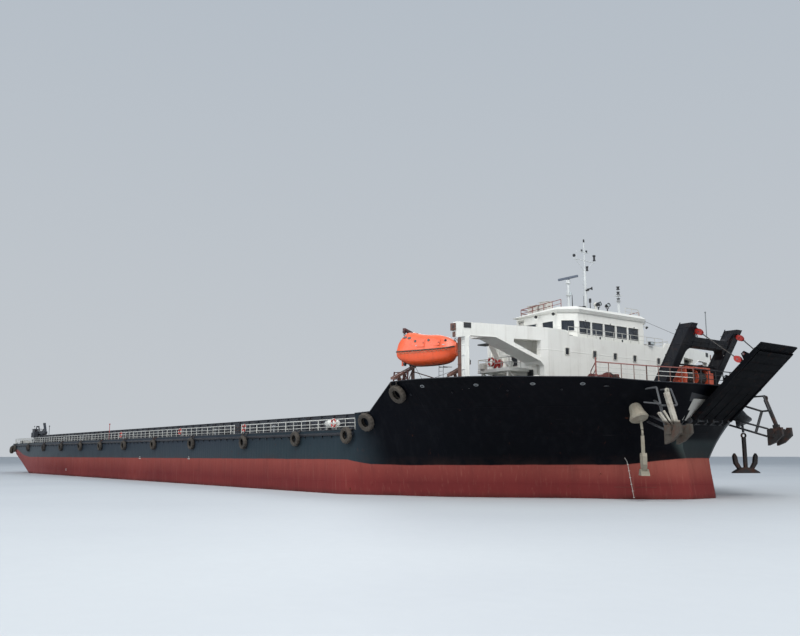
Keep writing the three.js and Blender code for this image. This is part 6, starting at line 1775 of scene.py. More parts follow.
def house_windows():
    m = Mesh()
    for y in (-7.3, -3.6, -0.7, 2.2, 5.9):
        pane(m, (-8.0, y, 12.6), (0, 1, 0), (0, 0, 1), (1, 0, 0), 0.52, 0.6, 0.075, 0.06, 1, 0, rounded=0.11)
    for y in (-6.9, -4.2, 4.2, 6.9):
        pane(m, (-15.6, y, 12.35), (0, 1, 0), (0, 0, 1), (-1, 0, 0), 0.8, 0.9, 0.07, 0.05, 1, 0)
    for s in (-1, 1):
        for x in (-10.2, -14.8):
            pane(m, (x, s * 9.7, 10.6), (1, 0, 0), (0, 0, 1), (0, s, 0), 0.8, 0.8, 0.07, 0.05, 1, 0)
        # door coaming, hood and handle rails
        m.box(-13.25, -12.1, s * 9.7, s * 9.78, 11.1, 11.22, 0.02, 0)
        m.box(-13.35, -12.0, s * 9.68, s * 10.05, 11.3, 11.36, 0.015, 0)
        for x in (-13.2, -12.15):
            m.box(x - 0.05, x + 0.05, s * 9.7, s * 9.77, 9.1, 11.15, 0.015, 0)
        m.box(-13.25, -12.1, s * 9.7, s * 9.85, 9.04, 9.12, 0.015, 0)
    make("house_window_frames", m, [WHITE_OLD, PORT_GLASS])

    m = Mesh()
    for y in (-3.85, -2.08, -0.3, 1.48, 3.25):
        pane(m, (-8.8, y, 15.11), (0, 1, 0), (0, 0, 1), (1, 0, 0), 1.6, 1.22, 0.085, 0.04, 1, 0, rounded=0.07, recess=0.13)
    for y in (-3.85, -0.3, 3.25):
        wiper(m, (-8.76, y, 15.11), (0, 1, 0), (0, 0, 1), (1, 0, 0), 1.6, 1.22, 2)
    for s in (-1, 1):
        d = Vector((-9.9 + 8.8, s * (6.3 - 4.8), 0)).normalized()
        o = Vector((d.y * s, -d.x * s, 0))
        if o.x < 0:
            o = -o
        pane(m, (-9.35, s * 5.55, 15.235), d, (0, 0, 1), o, 1.2, 0.97, 0.07, 0.035, 1, 0, rounded=0.07, recess=0.12)
        for x in (-11.1, -13.2):
            pane(m, (x, s * 6.3, 15.21), (1, 0, 0), (0, 0, 1), (0, s, 0), 1.32, 1.02, 0.08, 0.04, 1, 0, rounded=0.08, recess=0.12)
        for x in (-14.8, -14.06):
            m.box(x - 0.04, x + 0.04, s * 6.3, s * 6.36, 14.26, 16.15, 0.012, 0)
        m.box(-14.86, -14.0, s * 6.3, s * 6.36, 16.1, 16.2, 0.012, 0)
        m.box(-14.86, -14.0, s * 6.28, s * 6.62, 16.22, 16.27, 0.012, 0)
        m.box(-14.86, -14.0, s * 6.3, s * 6.42, 14.2, 14.28, 0.012, 0)
    for y in (-3.6, 0.0, 3.6):
        pane(m, (-15.1, y, 15.21), (0, 1, 0), (0, 0, 1), (-1, 0, 0), 1.8, 1.02, 0.08, 0.04, 1, 0, rounded=0.08, recess=0.12)
    make("wheelhouse_window_frames", m, [WHITE, GLASS, DARK])

    # what shows dimly through the glass
    m = Mesh()
    m.slab([(-9.3, -4.4, 14.32), (-9.3, -4.4, 14.95), (-9.9, -4.4, 15.1), (-10.5, -4.4, 14.9), (-10.5, -4.4, 14.32)], (0, 8.8, 0), 0)
    for y in (-3.0, -1.2, 1.2, 3.0):
        m.obox((-9.95, y, 15.15), Vector((0.8, 0, 0.6)), (0, 1, 0), Vector((-0.6, 0, 0.8)), (0.03, 0.34, 0.22), 0.02, 1)
    m.lathe([(0.0, 0.0), (0.3, 0.0), (0.2, 0.1), (0.14, 0.9), (0.2, 0.95), (0.0, 1.0)], (-11.2, 0, 14.32), (0, 0, 1), 14, 1)
    m.tube([(-11.05, 0.42 * math.cos(a), 15.2 + 0.42 * math.sin(a)) for a in [2 * math.pi * k / 20 for k in range(20)]], 0.03, 6, closed=True, mat=1)
    m.box(-12.6, -11.9, -0.3, 0.3, 14.32, 14.8, 0.05, 1)
    m.box(-12.7, -12.55, -0.3, 0.3, 14.8, 15.5, 0.05, 1)
    m.box(-14.85, -9.1, -6.0, 6.0, 14.26, 14.33, 0.01, 2)
    make("wheelhouse_console", m, [GREY, DARK, LOUVRE])


house_windows()


# ---------------------------------------------------------------- wings, arches and what stands in them
def wing_x(y):
    return -8.0 - 2.2 * (abs(y) - 9.7) / 8.6


def wing_dress():
    m = Mesh()
    r = Mesh()
    for s in (-1, 1):
        # a raised edge round the arch and its window, on the front face
        arch = [(10.15, 8.95), (10.15, 11.14), (10.5, 11.57), (14.7, 13.4), (17.05, 13.4), (17.2, 13.28), (17.2, 8.95)]
        m.tube([(wing_x(y) + 0.01, s * y, z) for y, z in arch], 0.045, 6, mat=0)
        # black square near the end with a blank face, and the side lamp's box
        c = Vector((wing_x(17.3) + 0.02, s * 17.3, 14.24))
        t = Vector((-2.2, s * 8.6, 0)).normalized()
        o = Vector((abs(t.y), s * 0.25, 0)).normalized()
        m.obox(c, t, o, (0, 0, 1), (0.34, 0.03, 0.22), 0.01, 2)
        m.obox(c + o * 0.02 + Vector((0, 0, 0.02)), t, o, (0, 0, 1), (0.12, 0.03, 0.07), 0.01, 6)
        e = Vector((wing_x(18.3) - 0.25, s * 18.3, 14.05))
        m.obox(e + Vector((0, s * 0.13, 0)), (1, 0, 0), (0, 1, 0), (0, 0, 1), (0.26, 0.09, 0.3), 0.02, 3)
        m.lathe([(0.0, 0.0), (0.09, 0.0), (0.09, 0.24), (0.0, 0.26)], e + Vector((0.12, s * 0.2, -0.14)), (0, 0, 1), 14, 2)
        m.obox(e + Vector((0.0, s * 0.02, -0.62)), (1, 0, 0), (0, 1, 0), (0, 0, 1), (0.16, 0.05, 0.2), 0.01, 3)
        # the outer post's fittings
        for z in (9.4, 10.6, 11.8):
            m.obox((wing_x(17.5) - 0.25, s * 17.52, z), (1, 0, 0), (0, 1, 0), (0, 0, 1), (0.18, 0.05, 0.05), 0.01, 0)
        # wing deck: edge flange and rail behind
        r0, r1 = 9.95, 15.5
        pts = [(wing_x(y) - 1.8, s * y, 13.57) for y in (r0, 12.6, r1)] + [(wing_x(r1) - 0.6, s * r1, 13.57)]
        hand_rail(r, pts, 1.05, 1.4, 0.036, (1.0, 0.5), 0)
        # platform abreast of the house under the arch, with its rail and raking column
        x0, x1, ya, yb, pz = -14.3, -10.3, 9.72, 12.2, 11.12
        # cut back over the house door's swing
        for xa, xb, yc, yd in ((x0, x1, 10.8, yb), (x0, -13.32, ya, 10.82), (-11.9, x1, ya, 10.82)):
            m.box(xa, xb, s * yc, s * yd, pz - 0.16, pz, 0.01, 0)
            m.box(xa, xb, s * yc, s * yd, pz - 0.30, pz - 0.16, 0.01, 0)
        for x in (x0 + 0.4, x1 - 0.4):
            m.beam((x, s * (yb - 0.3), pz - 0.28), (x, s * 9.72, pz - 1.9), 0.12, 0.12, 0.02, 0)
            m.beam((x, s * (yb - 0.2), 8.91), (x, s * (yb - 0.2), pz - 0.28), 0.14, 0.14, 0.02, 0)
        hand_rail(r, [(x1 - 0.05, s * (ya + 1.0), pz), (x1 - 0.05, s * (yb - 0.06), pz), (x0 + 0.05, s * (yb - 0.06), pz), (x0 + 0.05, s * (ya + 0.3), pz)], 0.9, 1.1, 0.034, (1.0, 0.5), 0)
        ladder(r, (x0 + 0.2, s * (ya + 0.12), pz), (x0 + 0.2, s * (ya + 0.12), 14.1), 0.5, (1, 0, 0), 0)
        m.beam((-13.1, s * 11.6, 13.42), (-13.65, s * 10.3, 12.3), 0.5, 0.3, 0.03, 0)
        m.beam((-13.65, s * 10.35, 12.36), (-13.65, s * 9.70, 12.1), 0.45, 0.3, 0.02, 0)
        m.box(-14.5, -12.6, s * 11.0, s * 12.0, 13.40, 13.52, 0.02, 2)
        m.beam((-13.3, s * 11.6, 13.42), (-13.3, s * 9.70, 13.3), 0.2, 0.14, 0.02, 0)
        # louvre and vent box on the house's side
        m.box(-12.35, -11.75, s * 9.70, s * 9.84, 11.5, 12.5, 0.02, 6)
        for k in range(7):
            m.obox((-12.05, s * 9.86, 11.6 + 0.13 * k), (1, 0, 0), Vector((0, 0.86 * s, -0.5)), Vector((0, 0.5 * s, 0.86)), (0.27, 0.05, 0.01), 0.003, 6)
        m.lathe([(0.0, -0.35), (0.2, -0.33), (0.25, -0.25), (0.25, 0.25), (0.2, 0.33), (0.0, 0.35)], (-11.15, s * 11.3, pz + 0.42), (1, 0, 0), 18, 0)
        for x in (-11.35, -10.95):
            m.box(x - 0.04, x + 0.04, s * 11.12, s * 11.48, pz - 0.01, pz + 0.24, 0.01, 0)
        # pipes up the side of the house
        for x in (-15.0, -9.3):
            m.tube([(x, s * 9.8, 8.95), (x, s * 9.8, 13.9)], 0.06, 8, mat=0)
            for z in (9.8, 11.4, 13.0):
                m.box(x - 0.1, x + 0.1, s * 9.69, s * 9.78, z - 0.03, z + 0.03, 0.008, 0)
        # the front of the house at the arch's foot: cleat and pipe
        m.tube([(wing_x(10) - 0.2, s * 10.25, 8.95), (wing_x(10) - 0.2, s * 10.25, 10.2)], 0.05, 8, mat=3)
    make("wing_dress", m, [WHITE, UNDERSIDE_SHADE_WHITE, DARK, DAVIT_BROWN, GREEN, RED_LENS, LOUVRE])
    make("wing_rails", r, [RAIL_P, RAIL_RED])
    # reels and buoys on the platforms
    m = Mesh()
    for s in (-1, 1):
        lifebuoy(m, (-12.5, s * 12.2, 11.72), (0, s, 0), 0.34, 0.08, 0, 1)
        m.lathe([(0.0, -0.3), (0.42, -0.3), (0.42, -0.24), (0.16, -0.22), (0.16, 0.22), (0.42, 0.24), (0.42, 0.3), (0.0, 0.3)], (-12.6, s * 11.35, 11.62), (0.2, 1, 0), 20, 0)
        for q in (-1, 1):
            m.beam((-12.6 - 0.06 * q, s * (11.35 + 0.36 * q), 11.1), (-12.6 - 0.06 * q, s * (11.35 + 0.36 * q), 11.66), 0.08, 0.05, 0.01, 0)
        m.box(-13.9, -13.4, s * 11.8, s * 12.4, 11.12, 11.7, 0.04, 1)
    make("platform_gear", m, [RED, WHITE_OLD])


wing_dress()


# ---------------------------------------------------------------- house top and wheelhouse roof
def roof_z(x):
    return 17.07 - (-8.8 - x) * 0.06


def house_top():
    m = Mesh()
    # the catwalk's rail before the wheelhouse and along the house's top
    hand_rail(m, [(-8.12, -6.9, 14.06), (-8.12, 6.9, 14.06)], 0.82, 1.25, 0.026, (1.0, 0.5), 0)
    for s in (-1, 1):
        hand_rail(m, [(-9.4, s * 9.55, 14.06), (-15.4, s * 9.55, 14.06), (-15.4, s * 0.9, 14.06)], 0.95, 1.5, 0.036, (1.0, 0.66, 0.34), 0)
    make("house_top_rails", m, [RAIL_P, RAIL_RED])

    m = Mesh()
    # reddish rail round the after part of the roof
    pts = [(-9.9, -5.75, roof_z(-9.9)), (-12.0, -5.8, roof_z(-12)), (-14.95, -5.8, roof_z(-14.95)), (-14.95, 5.8, roof_z(-14.95)), (-12.0, 5.8, roof_z(-12)), (-9.9, 5.75, roof_z(-9.9))]
    hand_rail(m, [(x, y, z - 0.04) for x, y, z in pts], 0.75, 1.35, 0.034, (1.0, 0.5), 0)
    hand_rail(m, [(-9.15, 2.6, roof_z(-9.15) - 0.04), (-9.15, 4.6, roof_z(-9.15) - 0.04), (-9.9, 5.75, roof_z(-9.9) - 0.04)], 0.7, 1.0, 0.03, (1.0, 0.5), 1)
    make("roof_rails", m, [RAIL_RED, RAIL_P])

    m = Mesh()
    R = lambda x: roof_z(x) - 0.02
    # lockers, vents and the deck of the roof
    for x, y, w, d, h in ((-13.6, -5.3, 0.6, 0.42, 0.86), (-12.2, -5.3, 0.5, 0.40, 0.95), (-14.3, -4.2, 0.4, 0.42, 0.8), (-13.2, 4.4, 0.7, 0.5, 0.5)):
        m.box(x - w, x + w, y - d, y + d, R(x) - 0.05, R(x) + h, 0.04, 0)
        m.box(x - w - 0.05, x + w + 0.05, y - d - 0.05, y + d + 0.05, R(x) + h, R(x) + h + 0.05, 0.02, 0)
        m.box(x + w - 0.02, x + w + 0.03, y - 0.12, y - 0.02, R(x) + h * 0.5, R(x) + h * 0.62, 0.01, 2)
    for x, y in ((-14.4, -2.2), (-14.4, 2.2)):
        m.lathe([(0.0, 0.0), (0.24, 0.0), (0.18, 0.06), (0.18, 0.5), (0.34, 0.56), (0.36, 0.68), (0.26, 0.8), (0.0, 0.84)], (x, y, R(x)), (0, 0, 1), 16, 0)
    m.lathe([(0.0, 0.0), (0.1, 0.0), (0.1, 0.35), (0.3, 0.4), (0.36, 0.55), (0.34, 0.7), (0.22, 0.86), (0.0, 0.92)], (-13.3, 1.4, R(-13.3)), (0, 0, 1), 20, 0)
    # compass stand on the middle line
    m.lathe([(0.0, 0.0), (0.2, 0.0), (0.12, 0.08), (0.12, 0.85), (0.22, 0.92), (0.22, 1.1), (0.12, 1.22), (0.0, 1.24)], (-10.6, 0, R(-10.6)), (0, 0, 1), 16, 0)
    # searchlights, dark
    for x, y, yaw in ((-9.3, -1.2, 10), (-9.3, 0.1, -14)):
        b = Vector((x, y, R(x)))
        m.lathe([(0.0, 0.0), (0.14, 0.0), (0.06, 0.08), (0.06, 0.4), (0.0, 0.4)], b, (0, 0, 1), 12, 2)
        for k in (-1, 1):
            m.beam(b + Vector((0, 0.2 * k, 0.38)), b + Vector((0, 0.2 * k, 0.72)), 0.04, 0.05, 0.006, 2)
        m.beam(b + Vector((0, -0.2, 0.38)), b + Vector((0, 0.2, 0.38)), 0.05, 0.04, 0.006, 2)
        d = Vector((math.cos(math.radians(yaw)), math.sin(math.radians(yaw)), 0.14)).normalized()
        c = b + Vector((0, 0, 0.66))
        m.lathe([(0.0, -0.3), (0.1, -0.28), (0.18, -0.1), (0.19, 0.2), (0.21, 0.24), (0.17, 0.24), (0.16, 0.14), (0.0, 0.1)], c, d, 20, 2)
        m.lathe([(0.0, 0.16), (0.165, 0.16), (0.165, 0.18), (0.0, 0.2)], c, d, 18, 3)
    # round dark aerials and boxes near the front edge
    m.lathe([(0.0, 0.0), (0.04, 0.0), (0.04, 0.8), (0.12, 0.82), (0.12, 1.2), (0.0, 1.22)], (-9.7, -1.9, R(-9.7)), (0, 0, 1), 12, 2)
    m.box(-10.3, -9.7, -3.4, -2.9, R(-10), R(-10) + 0.35, 0.03, 2)
    m.lathe([(0.0, 0.0), (0.05, 0.0), (0.03, 1.5), (0.0, 1.52)], (-10.4, -3.6, R(-10.4)), (0, 0, 1), 8, 2)
    # lamps on brackets over the side windows
    for s in (-1, 1):
        for x in (-10.0, -12.15):
            a = Vector((x, s * 6.3, 16.2))
            b = a + Vector((0.12, s * 0.55, 0.08))
            m.tube([a, (a + b) / 2 + Vector((0, 0, 0.1)), b], 0.035, 8, mat=0)
            m.lathe([(0.0, -0.1), (0.07, -0.08), (0.14, 0.02), (0.15, 0.11), (0.12, 0.11), (0.0, 0.08)], b, (0.3, s * 0.7, -0.75), 16, 2)
            m.lathe([(0.0, 0.08), (0.115, 0.08), (0.1, 0.12), (0.0, 0.13)], b, (0.3, s * 0.7, -0.75), 14, 2)
    # a low plate each side of the catwalk, falling from the wing's height
    for s in (-1, 1):
        m.slab([(-8.25, s * 9.72, 14.03), (-8.25, s * 9.72, 14.5), (-8.25, s * 7.3, 14.5), (-8.25, s * 6.9, 14.03)], (0.24, 0, 0), 4)
    # a floodlight low on the house's front corner and cleats on the catwalk
    m.obox((-7.85, 4.7, 14.25), (1, 0, 0), (0, 1, 0), (0, 0, 1), (0.14, 0.34, 0.16), 0.03, 2)
    m.obox((-7.72, 4.7, 14.25), (1, 0, 0), (0, 1, 0), (0, 0, 1), (0.02, 0.28, 0.11), 0.01, 3)
    for y in (-2.6, 0.6):
        m.beam((-8.1, y, 14.06), (-8.1, y, 14.3), 0.12, 0.1, 0.02, 2)
    # low vents on the house's top, behind the wheelhouse
    for s in (-1, 1):
        m.box(-15.3, -14.5, s * 7.4, s * 8.6, 14.04, 14.75, 0.06, 0)
        for k in range(4):
            m.obox((-14.48, s * 8.0, 14.22 + 0.13 * k), Vector((0.86, 0, -0.5)), (0, 1, 0), Vector((0.5, 0, 0.86)), (0.045, 0.5, 0.01), 0.003, 2)
    make("roof_gear", m, [WHITE_OLD, RAIL_P, DARK, CLEAR_LENS, WHITE])
    # ladders up the aft face
    m = Mesh()
    ladder(m, (-15.72, 2.3, 9.0), (-15.72, 2.3, 15.0), 0.5, (0, 1, 0), 0)
    ladder(m, (-15.22, -5.2, 14.1), (-15.22, -5.2, 17.2), 0.45, (0, 1, 0), 0)
    for s in (-1, 1):
        hand_rail(m, [(-18.35, s * 4.2, 8.91), (-18.35, s * 17.2, 8.91)], 1.0, 1.5, 0.038, (1.0, 0.66, 0.34), 0)
    hand_rail(m, [(-18.35, -4.2, 8.91), (-18.35, 4.2, 8.91)], 1.0, 1.5, 0.038, (1.0, 0.66, 0.34), 0)
    for s in (-1, 1):  # steps from the cargo deck up to the forecastle
        a, b = Vector((-21.6, s * 15.9, 5.91)), Vector((-18.7, s * 15.9, 8.95))
        for k in (-0.42, 0.42):
            m.beam(a + Vector((0, k, 0.05)), b + Vector((0, k, 0.0)), 0.05, 0.24, 0.01, 0)
            m.tube([a + Vector((0.1, k, 1.0)), b + Vector((0.2, k, 1.0))], 0.03, 6, mat=0)
            m.tube([a + Vector((0.2, k, 0.1)), a + Vector((0.2, k, 1.1))], 0.03, 6, mat=0)
        for i in range(10):
            p = a + (b - a) * ((i + 0.6) / 10.4)
            m.box(p.x - 0.13, p.x + 0.13, p.y - 0.4, p.y + 0.4, p.z - 0.02, p.z + 0.02, 0.006, 0)
    make("aft_ladders", m, [RAIL_P])


house_top()


# ---------------------------------------------------------------- masts
def masts():
    m = Mesh()
    x, r0 = -11.8, roof_z(-11.8)
    # base plates and rungs of the main mast
    m.lathe([(0.0, 0.0), (0.5, 0.0), (0.5, 0.05), (0.3, 0.12), (0.19, 0.5), (0.0, 0.5)], (x, 0, r0 - 0.02), (0, 0, 1), 16, 0)
    for k in range(4):
        a = math.pi / 2 * k + math.pi / 4
        d = Vector((math.cos(a), math.sin(a), 0))
        c = Vector((x, 0, r0 + 0.02))
        m.slab([c + d * 0.16, c + d * 0.46, c + d * 0.16 + Vector((0, 0, 0.5))], d.cross(Vector((0, 0, 1))) * 0.03, 0)
    for k in range(16):
        z = r0 + 0.5 + 0.28 * k
        m.tube([(x - 0.1, -0.14, z), (x - 0.26, -0.14, z), (x - 0.26, 0.14, z), (x - 0.1, 0.14, z)], 0.014, 5, mat=0)
    # crosstree ends: balls, lanterns, blocks
    m.lathe([(0.0, -0.16), (0.1, -0.13), (0.16, 0.0), (0.1, 0.13), (0.0, 0.16)], (x, -1.5, 22.87), (0, 0, 1), 14, 2)
    m.tube([(x, -1.5, 22.55), (x, -1.5, 22.85)], 0.03, 6, mat=0)
    m.tube([(x, 1.5, 22.5), (x, 1.5, 22.8)], 0.03, 6, mat=0)
    m.lathe([(0.0, 0.0), (0.14, 0.0), (0.14, 0.08), (0.10, 0.1), (0.10, 0.42), (0.15, 0.44), (0.15, 0.58), (0.0, 0.62)], (x, 1.5, 22.72), (0, 0, 1), 14, 2)
    for y, z, mt in ((-0.35, 23.4, 2), (0.35, 23.4, 2)):
        m.lathe([(0.0, 0.0), (0.09, 0.0), (0.09, 0.2), (0.0, 0.22)], (x, y, z + 0.02), (0, 0, 1), 12, mt)
    for a, b in (((x, 0, 21.4), (x, -1.3, 22.5)), ((x, 0, 21.4), (x, 1.3, 22.5))):
        m.tube([a, b], 0.025, 6, mat=0)
    m.lathe([(0.0, 0.0), (0.13, 0.0), (0.13, 0.07), (0.1, 0.08), (0.1, 0.34), (0.14, 0.36), (0.14, 0.46), (0.0, 0.5)], (x + 0.14, 0.2, 21.5), (0, 0, 1), 14, 2)
    m.beam((x, 0, 21.48), (x + 0.2, 0.22, 21.48), 0.1, 0.05, 0.008, 0)
    m.lathe([(0.0, 0.0), (0.07, 0.0), (0.09, 0.1), (0.07, 0.3), (0.0, 0.32)], (x, 0, 24.4), (0, 0, 1), 12, 2)
    # horn, dark bell, on its arm
    m.lathe([(0.0, -0.22), (0.04, -0.22), (0.05, 0.0), (0.08, 0.14), (0.17, 0.28), (0.18, 0.3), (0.16, 0.3), (0.0, 0.07)], (x + 0.4, 0.1, 19.66), (0.8, 0.45, 0.05), 20, 2)
    m.box(x + 0.1, x + 0.45, -0.1, 0.1, 19.44, 19.6, 0.02, 2)
    # whip aerials
    for y, z, h in ((-1.1, 22.57, 0.9), (1.0, 22.57, 0.7)):
        m.tube([(x, y, z), (x, y, z + h)], 0.014, 5, mat=0)
    # cluster of dark gear at the mast's foot
    for dx, dy, h in ((0.5, -0.9, 0.9), (0.9, -0.5, 0.6), (0.3, -1.3, 0.45), (0.8, 0.5, 0.5)):
        m.box(x + dx - 0.14, x + dx + 0.14, dy - 0.14, dy + 0.14, roof_z(x + dx) - 0.02, roof_z(x + dx) + h, 0.02, 2)
    m.tube([(x + 0.5, -0.9, r0 + 0.8), (x + 0.5, -0.9, r0 + 1.9)], 0.02, 6, mat=2)
    make("main_mast_dress", m, [MAST_P, RAIL_P, DARK, CLEAR_LENS, GREEN])

    m = Mesh()
    y = -2.5
    m.lathe([(0.0, 0.0), (0.3, 0.0), (0.3, 0.05), (0.18, 0.1), (0.14, 0.4), (0.0, 0.4)], (x, y, roof_z(x) - 0.02), (0, 0, 1), 16, 0)
    m.lathe([(0.0, 0.0), (0.2, 0.0), (0.24, 0.04), (0.24, 0.1), (0.14, 0.14), (0.0, 0.14)], (x, y, 18.7), (0, 0, 1), 16, 0)
    m.lathe([(0.0, 0.0), (0.1, 0.0), (0.1, 0.26), (0.0, 0.28)], (x + 0.26, y, 18.75), (0, 0, 1), 12, 1)
    m.beam((x, y, 18.72), (x + 0.32, y, 18.72), 0.08, 0.04, 0.008, 0)
    for k in range(8):
        z = roof_z(x) + 0.5 + 0.3 * k
        m.tube([(x - 0.1, y - 0.12, z), (x - 0.22, y - 0.12, z), (x - 0.22, y + 0.12, z), (x - 0.1, y + 0.12, z)], 0.014, 5, mat=0)
    # signal mast: lanterns one over the other
    sx, sy = -9.9, 2.6
    m.lathe([(0.0, 0.0), (0.32, 0.0), (0.32, 0.05), (0.2, 0.1), (0.15, 0.4), (0.0, 0.4)], (sx, sy, roof_z(sx) - 0.02), (0, 0, 1), 16, 0)
    for z in (18.45, 19.1, 19.62):
        m.lathe([(0.0, 0.0), (0.16, 0.0), (0.18, 0.03), (0.18, 0.06), (0.12, 0.07), (0.12, 0.26), (0.18, 0.28), (0.18, 0.31), (0.0, 0.34)], (sx, sy, z), (0, 0, 1), 16, 2)
    m.lathe([(0.0, 0.0), (0.26, 0.0), (0.26, 0.03), (0.0, 0.03)], (sx, sy, 18.4), (0, 0, 1), 16, 0)
    make("radar_and_signal_dress", m, [MAST_P, CLEAR_LENS, DARK])

    m = Mesh()
    m.obox((-11.8, -2.5, 20.47), (1, 0, 0), (0, 1, 0), (0, 0, 1), (1.21, 0.10, 0.105), 0.04, 0)
    m.obox((-11.8, -2.395, 20.47), (1, 0, 0), (0, 1, 0), (0, 0, 1), (1.1, 0.01, 0.04), 0.006, 1)
    m.lathe([(0.0, 0.0), (0.16, 0.0), (0.16, 0.06), (0.12, 0.12), (0.0, 0.12)], (-11.8, -2.5, 20.26), (0, 0, 1), 16, 0)
    make("radar_scanner_casing", m, [RADAR_G, DARK], body="radar_scanner")

    # wire stays
    m = Mesh()
    for a, b in (((-9.95, 6.0, 17.0), on_gantry(0.62, 0.0, 2.95)),):
        a, b = Vector(a), Vector(b)
        m.tube([a + (b - a) * (k / 8) for k in range(9)], 0.016, 5, mat=0)
        d = (b - a).normalized()
        m.lathe([(0.0, -0.12), (0.035, -0.1), (0.035, 0.1), (0.0, 0.12)], b - d * 0.3, d, 8, 0)
    make("mast_stays", m, [WIRE])


masts()


# ---------------------------------------------------------------- lifeboats
BOAT_AT, BOAT_YAW = Vector((-15.0, -17.4, 12.45)), math.radians(22.1)
BOAT_T = [
    [-2.9, 0.5, -0.3, -0.1, 0.1, 0.36, 0.5], [-2.62, 0.88, -0.6, -0.34, 0.08, 0.7, 1.0], [-2.2, 0.98, -0.82, -0.5, 0.07, 0.78, 1.5], [-1.7, 1.04, -1.0, -0.64, 0.06, 0.83, 1.74],
    [-1.15, 1.08, -1.14, -0.75, 0.05, 0.86, 1.74], [-0.5, 1.1, -1.18, -0.8, 0.05, 0.92, 1.56], [0.3, 1.09, -1.18, -0.78, 0.06, 0.9, 1.44], [1.2, 1.05, -1.15, -0.72, 0.08, 0.85, 1.38],
    [2.2, 0.8, -1.0, -0.5, 0.15, 0.6, 1.08], [2.85, 0.26, -0.47, -0.12, 0.3, 0.18, 0.62],
]


def from_boat(p):
    """From the starboard boat's own frame to the ship's."""
    c, s = math.cos(BOAT_YAW), math.sin(BOAT_YAW)
    return (p[0] * c - p[1] * s + BOAT_AT.x, p[0] * s + p[1] * c + BOAT_AT.y, p[2] + BOAT_AT.z)


def smooth_line(pts, per=4):
    """A Catmull-Rom line through the points."""
    out = []
    n = len(pts)
    for i in range(n - 1):
        p0, p1, p2, p3 = (Vector(pts[max(i - 1, 0)]), Vector(pts[i]), Vector(pts[i + 1]), Vector(pts[min(i + 2, n - 1)]))
        for k in range(per):
            t = k / per
            out.append(0.5 * ((2 * p1) + (p2 - p0) * t + (2 * p0 - 5 * p1 + 4 * p2 - p3) * t * t + (3 * p1 - p0 - 3 * p2 + p3) * t ** 3))
    out.append(Vector(pts[-1]))
    return out


def boat_row(x):
    xs = [r[0] for r in BOAT_T]
    return [pchip(xs, [r[k] for r in BOAT_T])(x) for k in range(1, 7)]


def boat_ring(x, grow=0.0):
    b, k, c, g, cw, cz = boat_row(x)
    b, cw = b + grow, cw + grow
    cz += grow
    half = [(0, k - grow * 0.5), (b * 0.55, k + 0.08), (b * 0.93, c), (b, g), (b * 0.985, g + 0.12), (cw * 1.02, g + (cz - g) * 0.55), (cw * 0.86, g + (cz - g) * 0.84), (cw * 0.5, cz + 0.01), (0, cz + 0.03)]
    line = smooth_line([(x, y, z) for y, z in half], 4)
    other = [Vector((p.x, -p.y, p.z)) for p in reversed(line[1:-1])]
    return line + other


def boat_side(x, z, s):
    """Where the boat's side is at a height (boat's frame)."""
    best = None
    for p in boat_ring(x):
        if p.y * s >= 0 and (best is None or abs(p.z - z) < abs(best.z - z)):
            best = p
    return best


